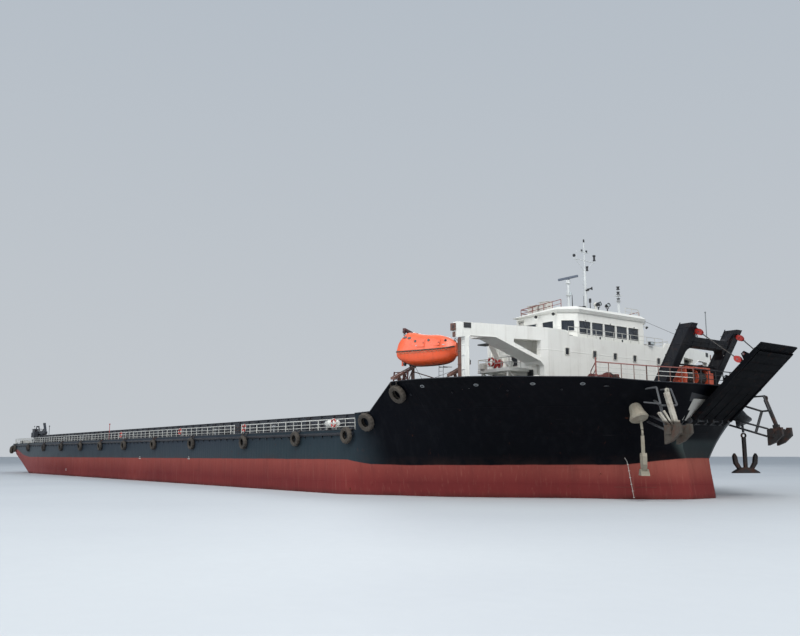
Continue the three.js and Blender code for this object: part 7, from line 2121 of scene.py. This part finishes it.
def lifeboats():
    m = Mesh()
    xs = [-2.9, -2.86, -2.8, -2.72, -2.62, -2.5, -2.35, -2.2, -2.05, -1.9, -1.7, -1.5, -1.3, -1.15, -1.0, -0.85, -0.6, -0.35, -0.05, 0.25, 0.6, 1.0, 1.4, 1.8, 2.1, 2.35, 2.55, 2.7, 2.79, 2.85]
    m.loft([boat_ring(x) for x in xs])
    # rub rail: dark band on the gunwale, lifting slightly forward
    for s in (-1, 1):
        line = []
        for i in range(30):
            x = -2.84 + 5.62 * i / 29
            b, k, c, g, cw, cz = boat_row(x)
            line.append(Vector((x, s * (b + 0.02), g + 0.03)))
        m.tube(line, 0.055, 8, mat=1)
        m.tube([p + Vector((0, 0, -0.16)) for p in line[2:-2]], 0.02, 6, mat=0)
        # grab line in bights
        for i in range(2, 27, 2):
            a, b2 = line[i], line[i + 2]
            pts = [a + (b2 - a) * (k / 6) + Vector((0, s * 0.05, -0.22 * math.sin(math.pi * k / 6) - 0.02)) for k in range(7)]
            m.tube(pts, 0.014, 5, mat=2)
    # side doors with their seams and handles
    for s in (-1, 1):
        for x0, w, h, z in ((-0.15, 0.38, 0.34, 0.62), (1.35, 0.3, 0.26, 0.62)):
            c = boat_side(x0, z, s)
            up = (boat_side(x0, z + 0.25, s) - boat_side(x0, z - 0.2, s)).normalized()
            ax = Vector((1, 0, 0))
            o = ax.cross(up) * (-s if ax.cross(up).y * s < 0 else 1)
            if o.y * s < 0:
                o = -o
            m.obox(c + o * 0.012, ax, up, o, (w, h, 0.022), 0.018, 0)
            m.obox(c + o * 0.036, ax, up, o, (w * 0.82, h * 0.8, 0.008), 0.006, 0)
            m.tube([c + ax * (w * 0.55) + o * 0.03, c + ax * (w * 0.55) + o * 0.09, c + ax * (w * 0.85) + o * 0.09, c + ax * (w * 0.85) + o * 0.03], 0.016, 6, mat=3)
        # row of small side lights
        for x in (-0.75, 0.55, 2.05):
            c = boat_side(x, 0.88, s)
            up = (boat_side(x, 1.05, s) - boat_side(x, 0.75, s))
            up = up.normalized() if up.length > 1e-4 else Vector((0, 0, 1))
            o = Vector((1, 0, 0)).cross(up)
            if o.y * s < 0:
                o = -o
            m.lathe([(0.0, -0.03), (0.115, -0.03), (0.115, 0.02), (0.09, 0.03), (0.085, 0.012), (0.0, 0.012)], c + o * 0.01, o, 14, 4)
        # windows of the steering cupola
        for x in (-1.85, -1.4):
            c = boat_side(x, 1.3, s)
            m.obox(c + Vector((0, s * 0.0, 0)), (1, 0, 0), Vector((0, -0.35 * s, 1)).normalized(), Vector((0, s, 0.35)).normalized(), (0.17, 0.09, 0.03), 0.02, 4)
    # the cupola's front and a hatch on its top
    for y in (-0.35, 0.0, 0.35):
        m.obox((-0.80, y, 1.655), (0, 1, 0), Vector((-1, 0, 0.3)).normalized(), Vector((0.3, 0, 1)).normalized(), (0.13, 0.07, 0.03), 0.02, 4)
    m.lathe([(0.0, 0.0), (0.3, 0.0), (0.3, 0.06), (0.24, 0.1), (0.0, 0.11)], (-1.75, 0.0, 1.72), (0, 0, 1), 20, 0)
    m.lathe([(0.0, 0.0), (0.22, 0.0), (0.22, 0.05), (0.18, 0.07), (0.0, 0.08)], (0.9, 0.0, 1.38), (0, 0, 1), 18, 0)
    # hooks fore and aft, keel band, stern gear
    for x, z in ((-2.25, 1.44), (2.62, 0.76)):
        m.box(x - 0.1, x + 0.1, -0.09, 0.09, z - 0.1, z + 0.10, 0.02, 3)
        m.tube([(x, 0, z + 0.08), (x, 0, z + 0.22), (x + 0.06, 0, z + 0.28), (x + 0.1, 0, z + 0.22)], 0.026, 8, mat=3)
    keel = [Vector((x, 0, boat_row(x)[1] - 0.02)) for x in [-2.6 + 0.26 * k for k in range(20)]]
    m.tube(keel, 0.045, 6, mat=1)
    m.beam((-2.05, 0, -0.86), (-2.5, 0, -0.92), 0.05, 0.09, 0.01, 3)
    m.slab([(-2.48, -0.02, -1.1), (-2.66, -0.02, -1.06), (-2.64, -0.02, -0.5), (-2.50, -0.02, -0.6)], (0, 0.04, 0), 0)
    m.lathe([(0.15, -0.06), (0.17, -0.06), (0.17, 0.06), (0.15, 0.06), (0.15, -0.06)], (-2.32, 0, -0.92), (1, 0, 0), 18, 3)
    for k in range(4):
        a = math.pi / 2 * k + 0.4
        d = Vector((0, math.cos(a), math.sin(a)))
        m.obox(Vector((-2.32, 0, -0.92)) + d * 0.08, d, Vector((0.5, -math.sin(a) * 0.86, math.cos(a) * 0.86)), Vector((0.86, math.sin(a) * 0.5, -math.cos(a) * 0.5)), (0.065, 0.035, 0.008), 0.004, 3)
    # light-reflecting bands and the light on the top
    for x in (-0.5, 1.9):
        for s in (-1, 1):
            c = boat_side(x, 0.45, s)
            m.obox(c + Vector((0, s * 0.012, 0)), (1, 0, 0), (0, 0, 1), (0, s, 0), (0.16, 0.03, 0.008), 0.004, 5)
    m.lathe([(0.0, 0.0), (0.06, 0.0), (0.06, 0.07), (0.04, 0.12), (0.0, 0.14)], (-1.4, 0.0, 1.77), (0, 0, 1), 12, 5)
    boat = Mesh().merge(m, from_boat)
    mats = [ORANGE, RUBBER, ROPE, DARK, PORT_GLASS, CLEAR_LENS]
    make("lifeboat_shell_starboard", boat, mats, body="lifeboat_starboard", replaces=["lifeboat_starboard"], sharp=38)
    make("lifeboat_shell_port", boat.mirrored(), mats, body="lifeboat_port", replaces=["lifeboat_port"], sharp=38)


lifeboats()


def davits():
    track = lambda y: -0.95 - (1.75 - y) * math.tan(math.radians(20))
    arms, base = Mesh(), Mesh()
    z0 = FORE_TOP - BOAT_AT.z
    for x, fore in ((-2.35, False), (3.1, True)):
        # rollers under the arms' feet, between cheek plates
        for y in ((1.05, 1.6) if fore else (1.3, 1.6)):
            c = Vector((x, y, track(y) + 0.2))
            for k in (-1, 1):
                arms.lathe([(0.0, -0.04), (0.1, -0.04), (0.1, 0.04), (0.0, 0.04)], c + Vector((k * 0.19, 0, 0.0)), (1, 0, 0), 14, 1)
        # fall block at the arm's tip and the fall down to the hook
        tip = Vector((x, -0.06, 0.93 if fore else 2.08))
        hook_block(arms, tip - Vector((0, 0, 0.10)), (0, 0, -1), 0, 1, 0.11)
        end = Vector((2.72, 0.0, 1.0)) if fore else Vector((x + 0.09, 0.0, 1.72))
        arms.tube([tip - Vector((0, 0, 0.2)), end], 0.018, 6, mat=2)
        # web stiffeners on the arm
        for f in ((0.35, 0.5), (0.75, 0.9)) if not fore else ((0.45, 0.55),):
            y = 1.5
            arms.box(x - 0.16, x + 0.16, y - 0.12, y + 0.12, f[0], f[1] - 0.08, 0.015, 0)
        arms.lathe([(0.0, -0.17), (0.12, -0.17), (0.12, 0.17), (0.0, 0.17)], (x, 1.42, -0.25), (1, 0, 0), 14, 1)
        # track: side flanges and end stops
        for k in (-1, 1):
            base.beam((x + k * 0.17, 1.75, track(1.75)), (x + k * 0.17, -2.05, track(-2.05)), 0.035, 0.22, 0.008, 0)
        if not fore:
            base.box(x - 0.2, x + 0.2, -2.1, -2.04, track(-2.05) - 0.1, track(-2.05) + 0.12, 0.015, 0)
        # braces between the legs, gussets at their feet
        base.tube([(x, 1.5, z0 + 0.2), (x, 0.0, track(0.0) - 0.15)], 0.05, 8, mat=0)
        base.tube([(x, -0.1, z0 + 0.25), (x, 1.45, track(1.5) - 0.2)], 0.045, 8, mat=0)
        base.tube([(x, -0.12, z0 + 1.1), (x, 1.5, z0 + 1.3)], 0.045, 8, mat=0)
        for y in (1.55, -0.1):
            base.slab([(x - 0.28, y - 0.02, z0 + 0.1), (x + 0.28, y - 0.02, z0 + 0.1), (x + 0.1, y - 0.02, z0 + 0.5), (x - 0.1, y - 0.02, z0 + 0.5)], (0, 0.04, 0), 0)
    # cross bracing between the two frames, the winch and its wheel
    base.tube([(-2.35, 1.52, z0 + 0.35), (3.1, 1.52, z0 + 2.1)], 0.045, 8, mat=0)
    base.tube([(3.1, 1.52, z0 + 0.35), (-2.35, 1.52, z0 + 2.1)], 0.045, 8, mat=0)
    base.box(-2.1, -0.9, 1.0, 1.9, z0, z0 + 0.3, 0.03, 3)
    base.lathe([(0.0, -0.45), (0.45, -0.45), (0.45, -0.39), (0.26, -0.37), (0.26, 0.37), (0.45, 0.39), (0.45, 0.45), (0.0, 0.45)], (-1.5, 1.45, z0 + 0.75), (1, 0, 0), 20, 3)
    base.box(-0.98, -0.72, 1.2, 1.7, z0 + 0.25, z0 + 1.15, 0.04, 3)
    # the dark frame and ladder under the boat's after end
    for x in (-3.3, -1.9):
        base.tube([(x, -0.55, z0 - 0.02), (x + 0.1, -0.35, z0 + 1.95)], 0.07, 8, mat=3)
        base.tube([(x, 0.5, z0 - 0.02), (x + 0.1, 0.3, z0 + 1.95)], 0.07, 8, mat=3)
    for z in (0.7, 1.3, 1.9):
        base.tube([(-3.27, -0.5 + 0.1 * z, z0 + z), (-1.83, -0.5 + 0.1 * z, z0 + z)], 0.04, 8, mat=3)
    base.tube([(-3.3, -0.52, z0 + 0.1), (-1.85, -0.4, z0 + 1.8)], 0.04, 8, mat=3)
    base.tube([(-1.9, -0.52, z0 + 0.1), (-3.25, -0.4, z0 + 1.8)], 0.04, 8, mat=3)
    ladder(base, (1.35, -0.2, z0), (1.35, -0.1, z0 + 2.3), 0.42, (1, 0, 0), 4)
    for x in (1.14, 1.56):
        base.tube([(x, -0.12, z0 + 2.2), (x, 0.9, z0 + 2.25), (x, 1.5, z0 + 2.3)], 0.03, 6, mat=4)
    wires = Mesh()
    for x in (-2.35, 3.1):
        wires.tube([(x + 0.14, 1.7, track(1.7) - 0.1), (-1.3 if x < 0 else -1.05, 1.5, z0 + 1.18)], 0.016, 5, mat=0)
    for tag, flip in (("starboard", False), ("port", True)):
        side = lambda q: (lambda w: w.mirrored() if flip else w)(Mesh().merge(q, from_boat))
        make("davit_arm_gear_" + tag, side(arms), [DAVIT, DARK, WIRE], body="lifeboat_" + tag)
        make("davit_frame_gear_" + tag, side(base), [DAVIT_BROWN, DARK, WIRE, DAVIT, GREY])
        make("davit_wires_" + tag, side(wires), [WIRE])
    # the brown post behind the wing's end post
    m = Mesh()
    m.box(-10.98, -10.52, -17.42, -17.20, FORE_TOP, 13.24, 0.03, 0)
    for x in (-11.02, -10.54):
        m.box(x, x + 0.06, -17.45, -17.17, FORE_TOP, 13.24, 0.02, 0)
    m.box(-11.0, -10.5, -17.36, -17.0, FORE_TOP - 0.02, FORE_TOP + 0.08, 0.02, 0)
    for z in (9.9, 11.0, 12.1):
        m.box(-11.06, -10.48, -17.46, -17.15, z, z + 0.09, 0.02, 0)
    make("wing_end_stanchions", m.both(), [DAVIT_BROWN])


davits()


# ---------------------------------------------------------------- crane
CX, CY, CTOP = -147.6, -16.2, 7.054


def crane():
    m = Mesh()
    # pedestal: ring flange with bolts, ladder
    m.lathe([(0.6, -0.12), (0.82, -0.12), (0.82, -0.01), (0.6, -0.01), (0.6, -0.12)], (CX, CY, CTOP), (0, 0, 1), 24, 0)
    for k in range(16):
        a = 2 * math.pi * k / 16
        m.lathe([(0.035, -0.01), (0.035, 0.04), (0.0, 0.05)], (CX + 0.88 * math.cos(a), CY + 0.88 * math.sin(a), 6.05), (0, 0, 1), 6, 1)
    for k in range(8):
        a = 2 * math.pi * k / 8
        d = Vector((math.cos(a), math.sin(a), 0))
        c = Vector((CX, CY, 6.04))
        m.slab([c + d * 0.66, c + d * 0.92, c + d * 0.66 + Vector((0, 0, 0.4))], d.cross(Vector((0, 0, 1))) * 0.03, 0)
    ladder(m, (CX - 0.3, CY - 0.95, 5.91), (CX - 0.3, CY - 0.80, 7.0), 0.4, (1, 0, 0), 1)
    make("crane_pedestal_dress", m, [CRANE_P, GREY])

    m = Mesh()
    z = CTOP
    # cab glazing, machinery louvres, exhaust, rails and the frame that carries the luffing blocks
    pane(m, (CX + 0.2, CY - 0.45, z + 1.6), (0, 1, 0), (0, 0, 1), (1, 0, 0), 0.46, 0.36, 0.05, 0.03, 1, 0, rounded=0.05, recess=0.01)
    for x in (CX - 1.1, CX - 0.35):
        pane(m, (x, CY - 0.8, z + 1.6), (1, 0, 0), (0, 0, 1), (0, -1, 0), 0.46, 0.36, 0.05, 0.03, 1, 0, rounded=0.05, recess=0.01)
    m.box(CX - 1.62, CX + 0.32, CY - 0.92, CY + 0.02, z + 1.93, z + 2.0, 0.02, 0)
    for k in range(6):
        m.obox((CX - 0.9, CY - 0.965, z + 0.4 + 0.11 * k), (1, 0, 0), Vector((0, -0.86, -0.5)), Vector((0, -0.5, 0.86)), (0.5, 0.035, 0.008), 0.003, 2)
        m.obox((CX - 0.9, CY + 0.965, z + 0.4 + 0.11 * k), (1, 0, 0), Vector((0, 0.86, -0.5)), Vector((0, 0.5, 0.86)), (0.5, 0.035, 0.008), 0.003, 2)
    m.tube([(CX - 1.35, CY + 0.5, z + 1.2), (CX - 1.35, CY + 0.5, z + 1.85), (CX - 1.5, CY + 0.5, z + 1.98)], 0.07, 10, mat=2)
    m.tube([(CX - 1.3, CY - 0.45, z + 1.9), (CX - 1.3, CY - 0.45, z + 2.75)], 0.02, 6, mat=2)
    m.lathe([(0.0, 0.0), (0.12, 0.02), (0.12, 0.14), (0.0, 0.18)], (CX - 1.3, CY - 0.45, z + 2.45), (0, 0, 1), 12, 2)
    hand_rail(m, [(CX - 1.65, CY + 0.1, z + 1.24), (CX - 1.65, CY + 0.9, z + 1.24), (CX + 0.45, CY + 0.9, z + 1.24)], 0.7, 0.8, 0.024, (1.0, 0.5), 3)
    top = Vector((CX - 0.5, CY, z + 2.5))
    for s in (-1, 1):
        m.beam((CX + 0.2, CY + s * 0.42, z + 1.2), (top.x, CY + s * 0.2, top.z), 0.1, 0.1, 0.015, 0)
        m.beam((CX - 1.5, CY + s * 0.42, z + 1.2), (top.x, CY + s * 0.2, top.z), 0.1, 0.1, 0.015, 0)
    m.lathe([(0.0, -0.3), (0.14, -0.3), (0.14, 0.3), (0.0, 0.3)], top, (0, 1, 0), 14, 2)
    make("crane_house_dress", m, [CRANE_P, PORT_GLASS, DARK, GREY], body="crane_house")

    m = Mesh()
    fx, fz, L = CX + 0.95, CTOP + 1.15, 5.2
    # flanges, ribs and the head sheave with its hook block
    for s in (-1, 1):
        for a, b in (((fx + 0.1, fz + 0.22), (fx + 2.5, fz + 0.31)), ((fx + 2.5, fz + 0.31), (fx + L, fz + 0.15)), ((fx + 0.1, fz - 0.2), (fx + 2.5, fz - 0.28)), ((fx + 2.5, fz - 0.28), (fx + L, fz - 0.12))):
            m.beam((a[0], CY + s * 0.245, a[1]), (b[0], CY + s * 0.245, b[1]), 0.03, 0.06, 0.006, 0)
        for k in range(5):
            x = fx + 0.9 + 0.85 * k
            h = 0.28 - 0.03 * max(0, k - 1)
            m.beam((x, CY + s * 0.25, fz - h + 0.04), (x, CY + s * 0.25, fz + h - 0.02), 0.04, 0.03, 0.004, 0, up=(0, 1, 0))
    # the folded jib's flanges, its head sheave and the cylinder that works it
    j0 = Vector((fx + L - 0.25, CY, fz))
    jd = Vector((-math.sin(0.62), 0, math.cos(0.62)))
    jn = Vector((math.cos(0.62), 0, math.sin(0.62)))
    for e in (-1, 1):
        m.beam(j0 + jd * 0.35 + jn * (e * 0.2), j0 + jd * 2.3 + jn * (e * 0.2), 0.05, 0.46, 0.01, 0, up=(0, 1, 0)) if False else m.obox(j0 + jd * 1.3 + jn * (e * 0.2), jd, (0, 1, 0), jn, (1.0, 0.2, 0.025), 0.008, 0)
    sheave(m, j0 + jd * 2.2, (0, 1, 0), 0.2, 0.3, 2, 0)
    m.tube([Vector((fx + 2.4, CY, fz + 0.3)), Vector((fx + 3.5, CY, fz + 0.75))], 0.11, 12, mat=2)
    m.tube([Vector((fx + 3.5, CY, fz + 0.75)), j0 + jd * 1.25 - jn * 0.16], 0.06, 10, mat=1)
    m.lathe([(0.0, -0.27), (0.12, -0.27), (0.12, 0.27), (0.0, 0.27)], j0, (0, 1, 0), 14, 2)
    sheave(m, (fx + L - 0.1, CY, fz - 0.05), (0, 1, 0), 0.26, 0.34, 2, 0)
    hook_block(m, (fx + L + 0.18, CY, fz - 0.62), (0, 0, -1), 2, 1, 0.15)
    for k in (-0.05, 0.05):
        m.tube([(fx + L + 0.16, CY + k, fz - 0.1), (fx + L + 0.18, CY + k, fz - 0.45)], 0.014, 5, mat=3)
    m.tube([(fx + L + 0.18, CY, fz - 0.98), (fx + L + 0.24, CY, fz - 1.1), (fx + L + 0.18, CY, fz - 1.2), (fx + L + 0.08, CY, fz - 1.14)], 0.03, 8, mat=1)
    m.slab([(fx + L - 1.9, CY - 0.06, fz + 0.16), (fx + L - 1.5, CY - 0.06, fz + 0.16), (fx + L - 1.7, CY - 0.06, fz + 0.42)], (0, 0.12, 0), 0)
    make("crane_boom_dress", m, [CRANE_P, GREY, DARK, WIRE], body="crane_boom")

    # luffing wires: from the house's frame to the boom's head
    m = Mesh()
    a, b = top, Vector((fx + L - 1.7, CY, fz + 0.36))
    for s in (-1, 1):
        m.tube([a + Vector((0, s * 0.16, 0)) + (b + Vector((0, s * 0.05, 0)) - a - Vector((0, s * 0.16, 0))) * (k / 12) for k in range(13)], 0.016, 5, mat=0)
    obj = make("crane_luffing_wires", m, [WIRE], body=None)
    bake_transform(obj)

    # post and whip aerials beside the boom rest, forward of the crane
    m = Mesh()
    m.tube([(-140.2, -15.9, DECK_Z), (-140.2, -15.9, 9.5)], 0.05, 8, mat=0)
    m.lathe([(0.0, 0.0), (0.12, 0.0), (0.12, 0.16), (0.0, 0.18)], (-140.2, -15.9, 9.4), (0, 0, 1), 10, 0)
    # mooring winches, lockers, hatch coamings and rails at the stern
    for s in (-1, 1):
        y = s * 9.0
        m.box(-150.6, -148.8, y - 1.9, y + 1.9, DECK_Z, DECK_Z + 0.2, 0.03, 1)
        m.lathe([(0.0, -1.0), (0.55, -1.0), (0.55, -0.94), (0.28, -0.92), (0.28, 0.92), (0.55, 0.94), (0.55, 1.0), (0.0, 1.0)], (-149.7, y, DECK_Z + 0.85), (0, 1, 0), 22, 1)
        for k in (-1.25, 1.25):
            m.box(-150.1, -149.3, y + k - 0.1, y + k + 0.1, DECK_Z + 0.15, DECK_Z + 1.2, 0.03, 1)
        m.lathe([(0.0, -0.3), (0.3, -0.3), (0.2, -0.05), (0.2, 0.1), (0.32, 0.3), (0.0, 0.3)], (-149.7, y + 1.75, DECK_Z + 0.85), (0, 1, 0), 16, 1)
        m.box(-151.9, -150.9, s * 17.2, s * 18.6, DECK_Z, DECK_Z + 0.85, 0.04, 2)
        m.box(-147.2, -145.6, s * 18.0, s * 18.9, DECK_Z, DECK_Z + 0.55, 0.04, 2)
        m.box(-146.2, -143.6, s * 4.0, s * 6.6, DECK_Z, DECK_Z + 0.6, 0.05, 2)
        m.box(-146.25, -143.55, s * 3.95, s * 6.65, DECK_Z + 0.6, DECK_Z + 0.7, 0.03, 2)
        bollards(m, -152.3, s * 13.6, DECK_Z, 0, along="y")
        bollards(m, -152.3, s * 5.5, DECK_Z, 0, along="y")
    m.box(-149.6, -147.6, -1.0, 1.0, DECK_Z, DECK_Z + 1.9, 0.06, 2)
    m.box(-149.7, -147.5, -1.1, 1.1, DECK_Z + 1.9, DECK_Z + 1.98, 0.03, 2)
    m.box(-147.6, -147.54, -0.4, 0.4, DECK_Z + 0.12, DECK_Z + 1.75, 0.02, 3)
    make("stern_deck_gear", m, [DARK, MACHINE, WHITE_OLD, GREY])
    m = Mesh()
    hand_rail(m, [(-153.3, -19.25, DECK_Z), (-153.3, -2.4, DECK_Z)], 1.06, 1.6, 0.045, (1.0, 0.66, 0.34), 0)
    hand_rail(m, [(-153.3, 2.4, DECK_Z), (-153.3, 19.25, DECK_Z)], 1.06, 1.6, 0.045, (1.0, 0.66, 0.34), 0)
    for k in range(5):
        m.tube([(-153.3, -2.4, DECK_Z + 0.3 * k + 0.2), (-153.3, 2.4, DECK_Z + 0.3 * k + 0.2)], 0.02, 5, mat=0) if k < 3 else None
    m.tube([(-153.3, 0, DECK_Z), (-153.3, 0, DECK_Z + 3.0)], 0.05, 8, mat=0)
    m.lathe([(0.0, 0.0), (0.12, 0.0), (0.12, 0.22), (0.0, 0.26)], (-153.2, 0, DECK_Z + 2.4), (0, 0, 1), 12, 0)
    ladder(m, (-153.72, 3.4, 4.9), (-153.72, 3.4, 6.0), 0.45, (0, 1, 0), 0)
    make("stern_rails", m, [RAIL_P])

    # rubbing bars down the raked stern, zinc blocks and rudder heads below the water
    m = Mesh()
    for s in (-1, 1):
        for k in range(5):
            x = -126.0 - 2.2 * k
            m.box(x - 0.3, x + 0.3, s * 8.2 - 0.42, s * 8.2 - 0.35, -2.3, -2.1, 0.02, 0)
        m.lathe([(0.0, 0.0), (0.5, 0.0), (0.42, 0.22), (0.3, 0.3), (0.0, 0.3)], (-146.6, s * 8.2, 1.3), (0, 0, 1), 16, 1)
        for x in (-12.0, -30.0, -60.0, -90.0, -120.0):
            m.box(x - 0.4, x + 0.4, s * 12.0 - 0.1 if x < -20 else s * 4.0 - 0.1, s * 12.0 + 0.1 if x < -20 else s * 4.0 + 0.1, -3.0, -2.93, 0.02, 0)
    make("underwater_fittings", m, [GREY, HULL])


crane()


# ---------------------------------------------------------------- rounded edges on the nodes that stay in sight
for name, width in (("deckhouse", 0.05), ("wing_arch_starboard", 0.04), ("wing_arch_port", 0.04), ("wheelhouse", 0.05), ("wheelhouse_roof", 0.05),
                    ("bow_gantry", 0.04), ("ramp_winch", 0.03), ("bow_ramp", 0.03), ("windlass_starboard", 0.03), ("windlass_port", 0.03),
                    ("plate_anchor_starboard", 0.05), ("plate_anchor_port", 0.05), ("hanging_anchor_starboard", 0.05), ("hanging_anchor_port", 0.05),
                    ("anchor_rack_starboard", 0.03), ("anchor_rack_port", 0.03), ("crane_house", 0.04), ("crane_boom", 0.03), ("boom_rest", 0.03),
                    ("davit_arms_starboard", 0.03), ("davit_arms_port", 0.03), ("davit_base_starboard", 0.025), ("davit_base_port", 0.025),
                    ("deckhouse_door_starboard", 0.02), ("deckhouse_door_port", 0.02), ("wheelhouse_door_starboard", 0.02), ("wheelhouse_door_port", 0.02),
                    ("cargo_wall_aft", 0.03), ("rudder_starboard", 0.03), ("rudder_port", 0.03), ("radar_mast", 0.02), ("signal_mast", 0.02), ("ramp_hinge", 0.03)):
    bevelled(name, width)


# ---------------------------------------------------------------- studio
def studio():
    # the floor stands at the waterline, like still pale water round the hull
    n = Nodes("studio_floor")
    soft = n.noise(0.5, 3, 0.5)
    fine = n.noise(14.0, 4, 0.55)
    color = n.mix(n.rng(soft, 0.3, 0.7), C(196, 200, 203), C(190, 194, 198))
    mat = n.done(color, n.rng(fine, 0.3, 0.7, 0.62, 0.7), n.bump(fine, 0.002, 0.2))
    me = bpy.data.meshes.new("floor")
    s, z = 160.0, 0.3
    me.from_pydata([(-s, -s, z), (s, -s, z), (s, s, z), (-s, s, z)], [], [(0, 1, 2, 3)])
    me.materials.append(mat)
    floor = bpy.data.objects.new("floor", me)
    scene.collection.objects.link(floor)

    world = bpy.data.worlds.new("soft_studio")
    scene.world = world
    world.use_nodes = True
    nt = world.node_tree
    nt.nodes.clear()
    out = nt.nodes.new("ShaderNodeOutputWorld")
    bg = nt.nodes.new("ShaderNodeBackground")
    tc = nt.nodes.new("ShaderNodeTexCoord")
    sep = nt.nodes.new("ShaderNodeSeparateXYZ")
    ramp = nt.nodes.new("ShaderNodeValToRGB")
    nt.links.new(tc.outputs["Generated"], sep.inputs[0])
    nt.links.new(sep.outputs[2], ramp.inputs[0])
    cr = ramp.color_ramp
    cr.elements[0].position, cr.elements[0].color = 0.0, C(196, 201, 206)
    cr.elements[1].position, cr.elements[1].color = 0.9, C(168, 180, 193)
    nt.links.new(ramp.outputs[0], bg.inputs[0])
    bg.inputs[1].default_value = 1.0
    nt.links.new(bg.outputs[0], out.inputs[0])

    def area(name, loc, aim, size, energy, color):
        l = bpy.data.lights.new(name, "AREA")
        l.shape, l.size, l.energy, l.color = "DISK", size, energy, color
        o = bpy.data.objects.new(name, l)
        o.location = loc
        o.rotation_euler = (Vector(aim) - Vector(loc)).to_track_quat("-Z", "Y").to_euler()
        scene.collection.objects.link(o)

    area("key", (17, -7, 15), (5.5, 0, 1.0), 12, 2600, (1.0, 0.985, 0.96))
    area("fill", (3, -17, 9), (1.0, 0, 0.8), 12, 1100, (0.95, 0.98, 1.0))
    area("back", (-14, 12, 12), (-3, 0, 0.8), 12, 900, (0.96, 0.98, 1.0))
    scene.view_settings.view_transform = "Standard"
    scene.view_settings.look = "None"


studio()
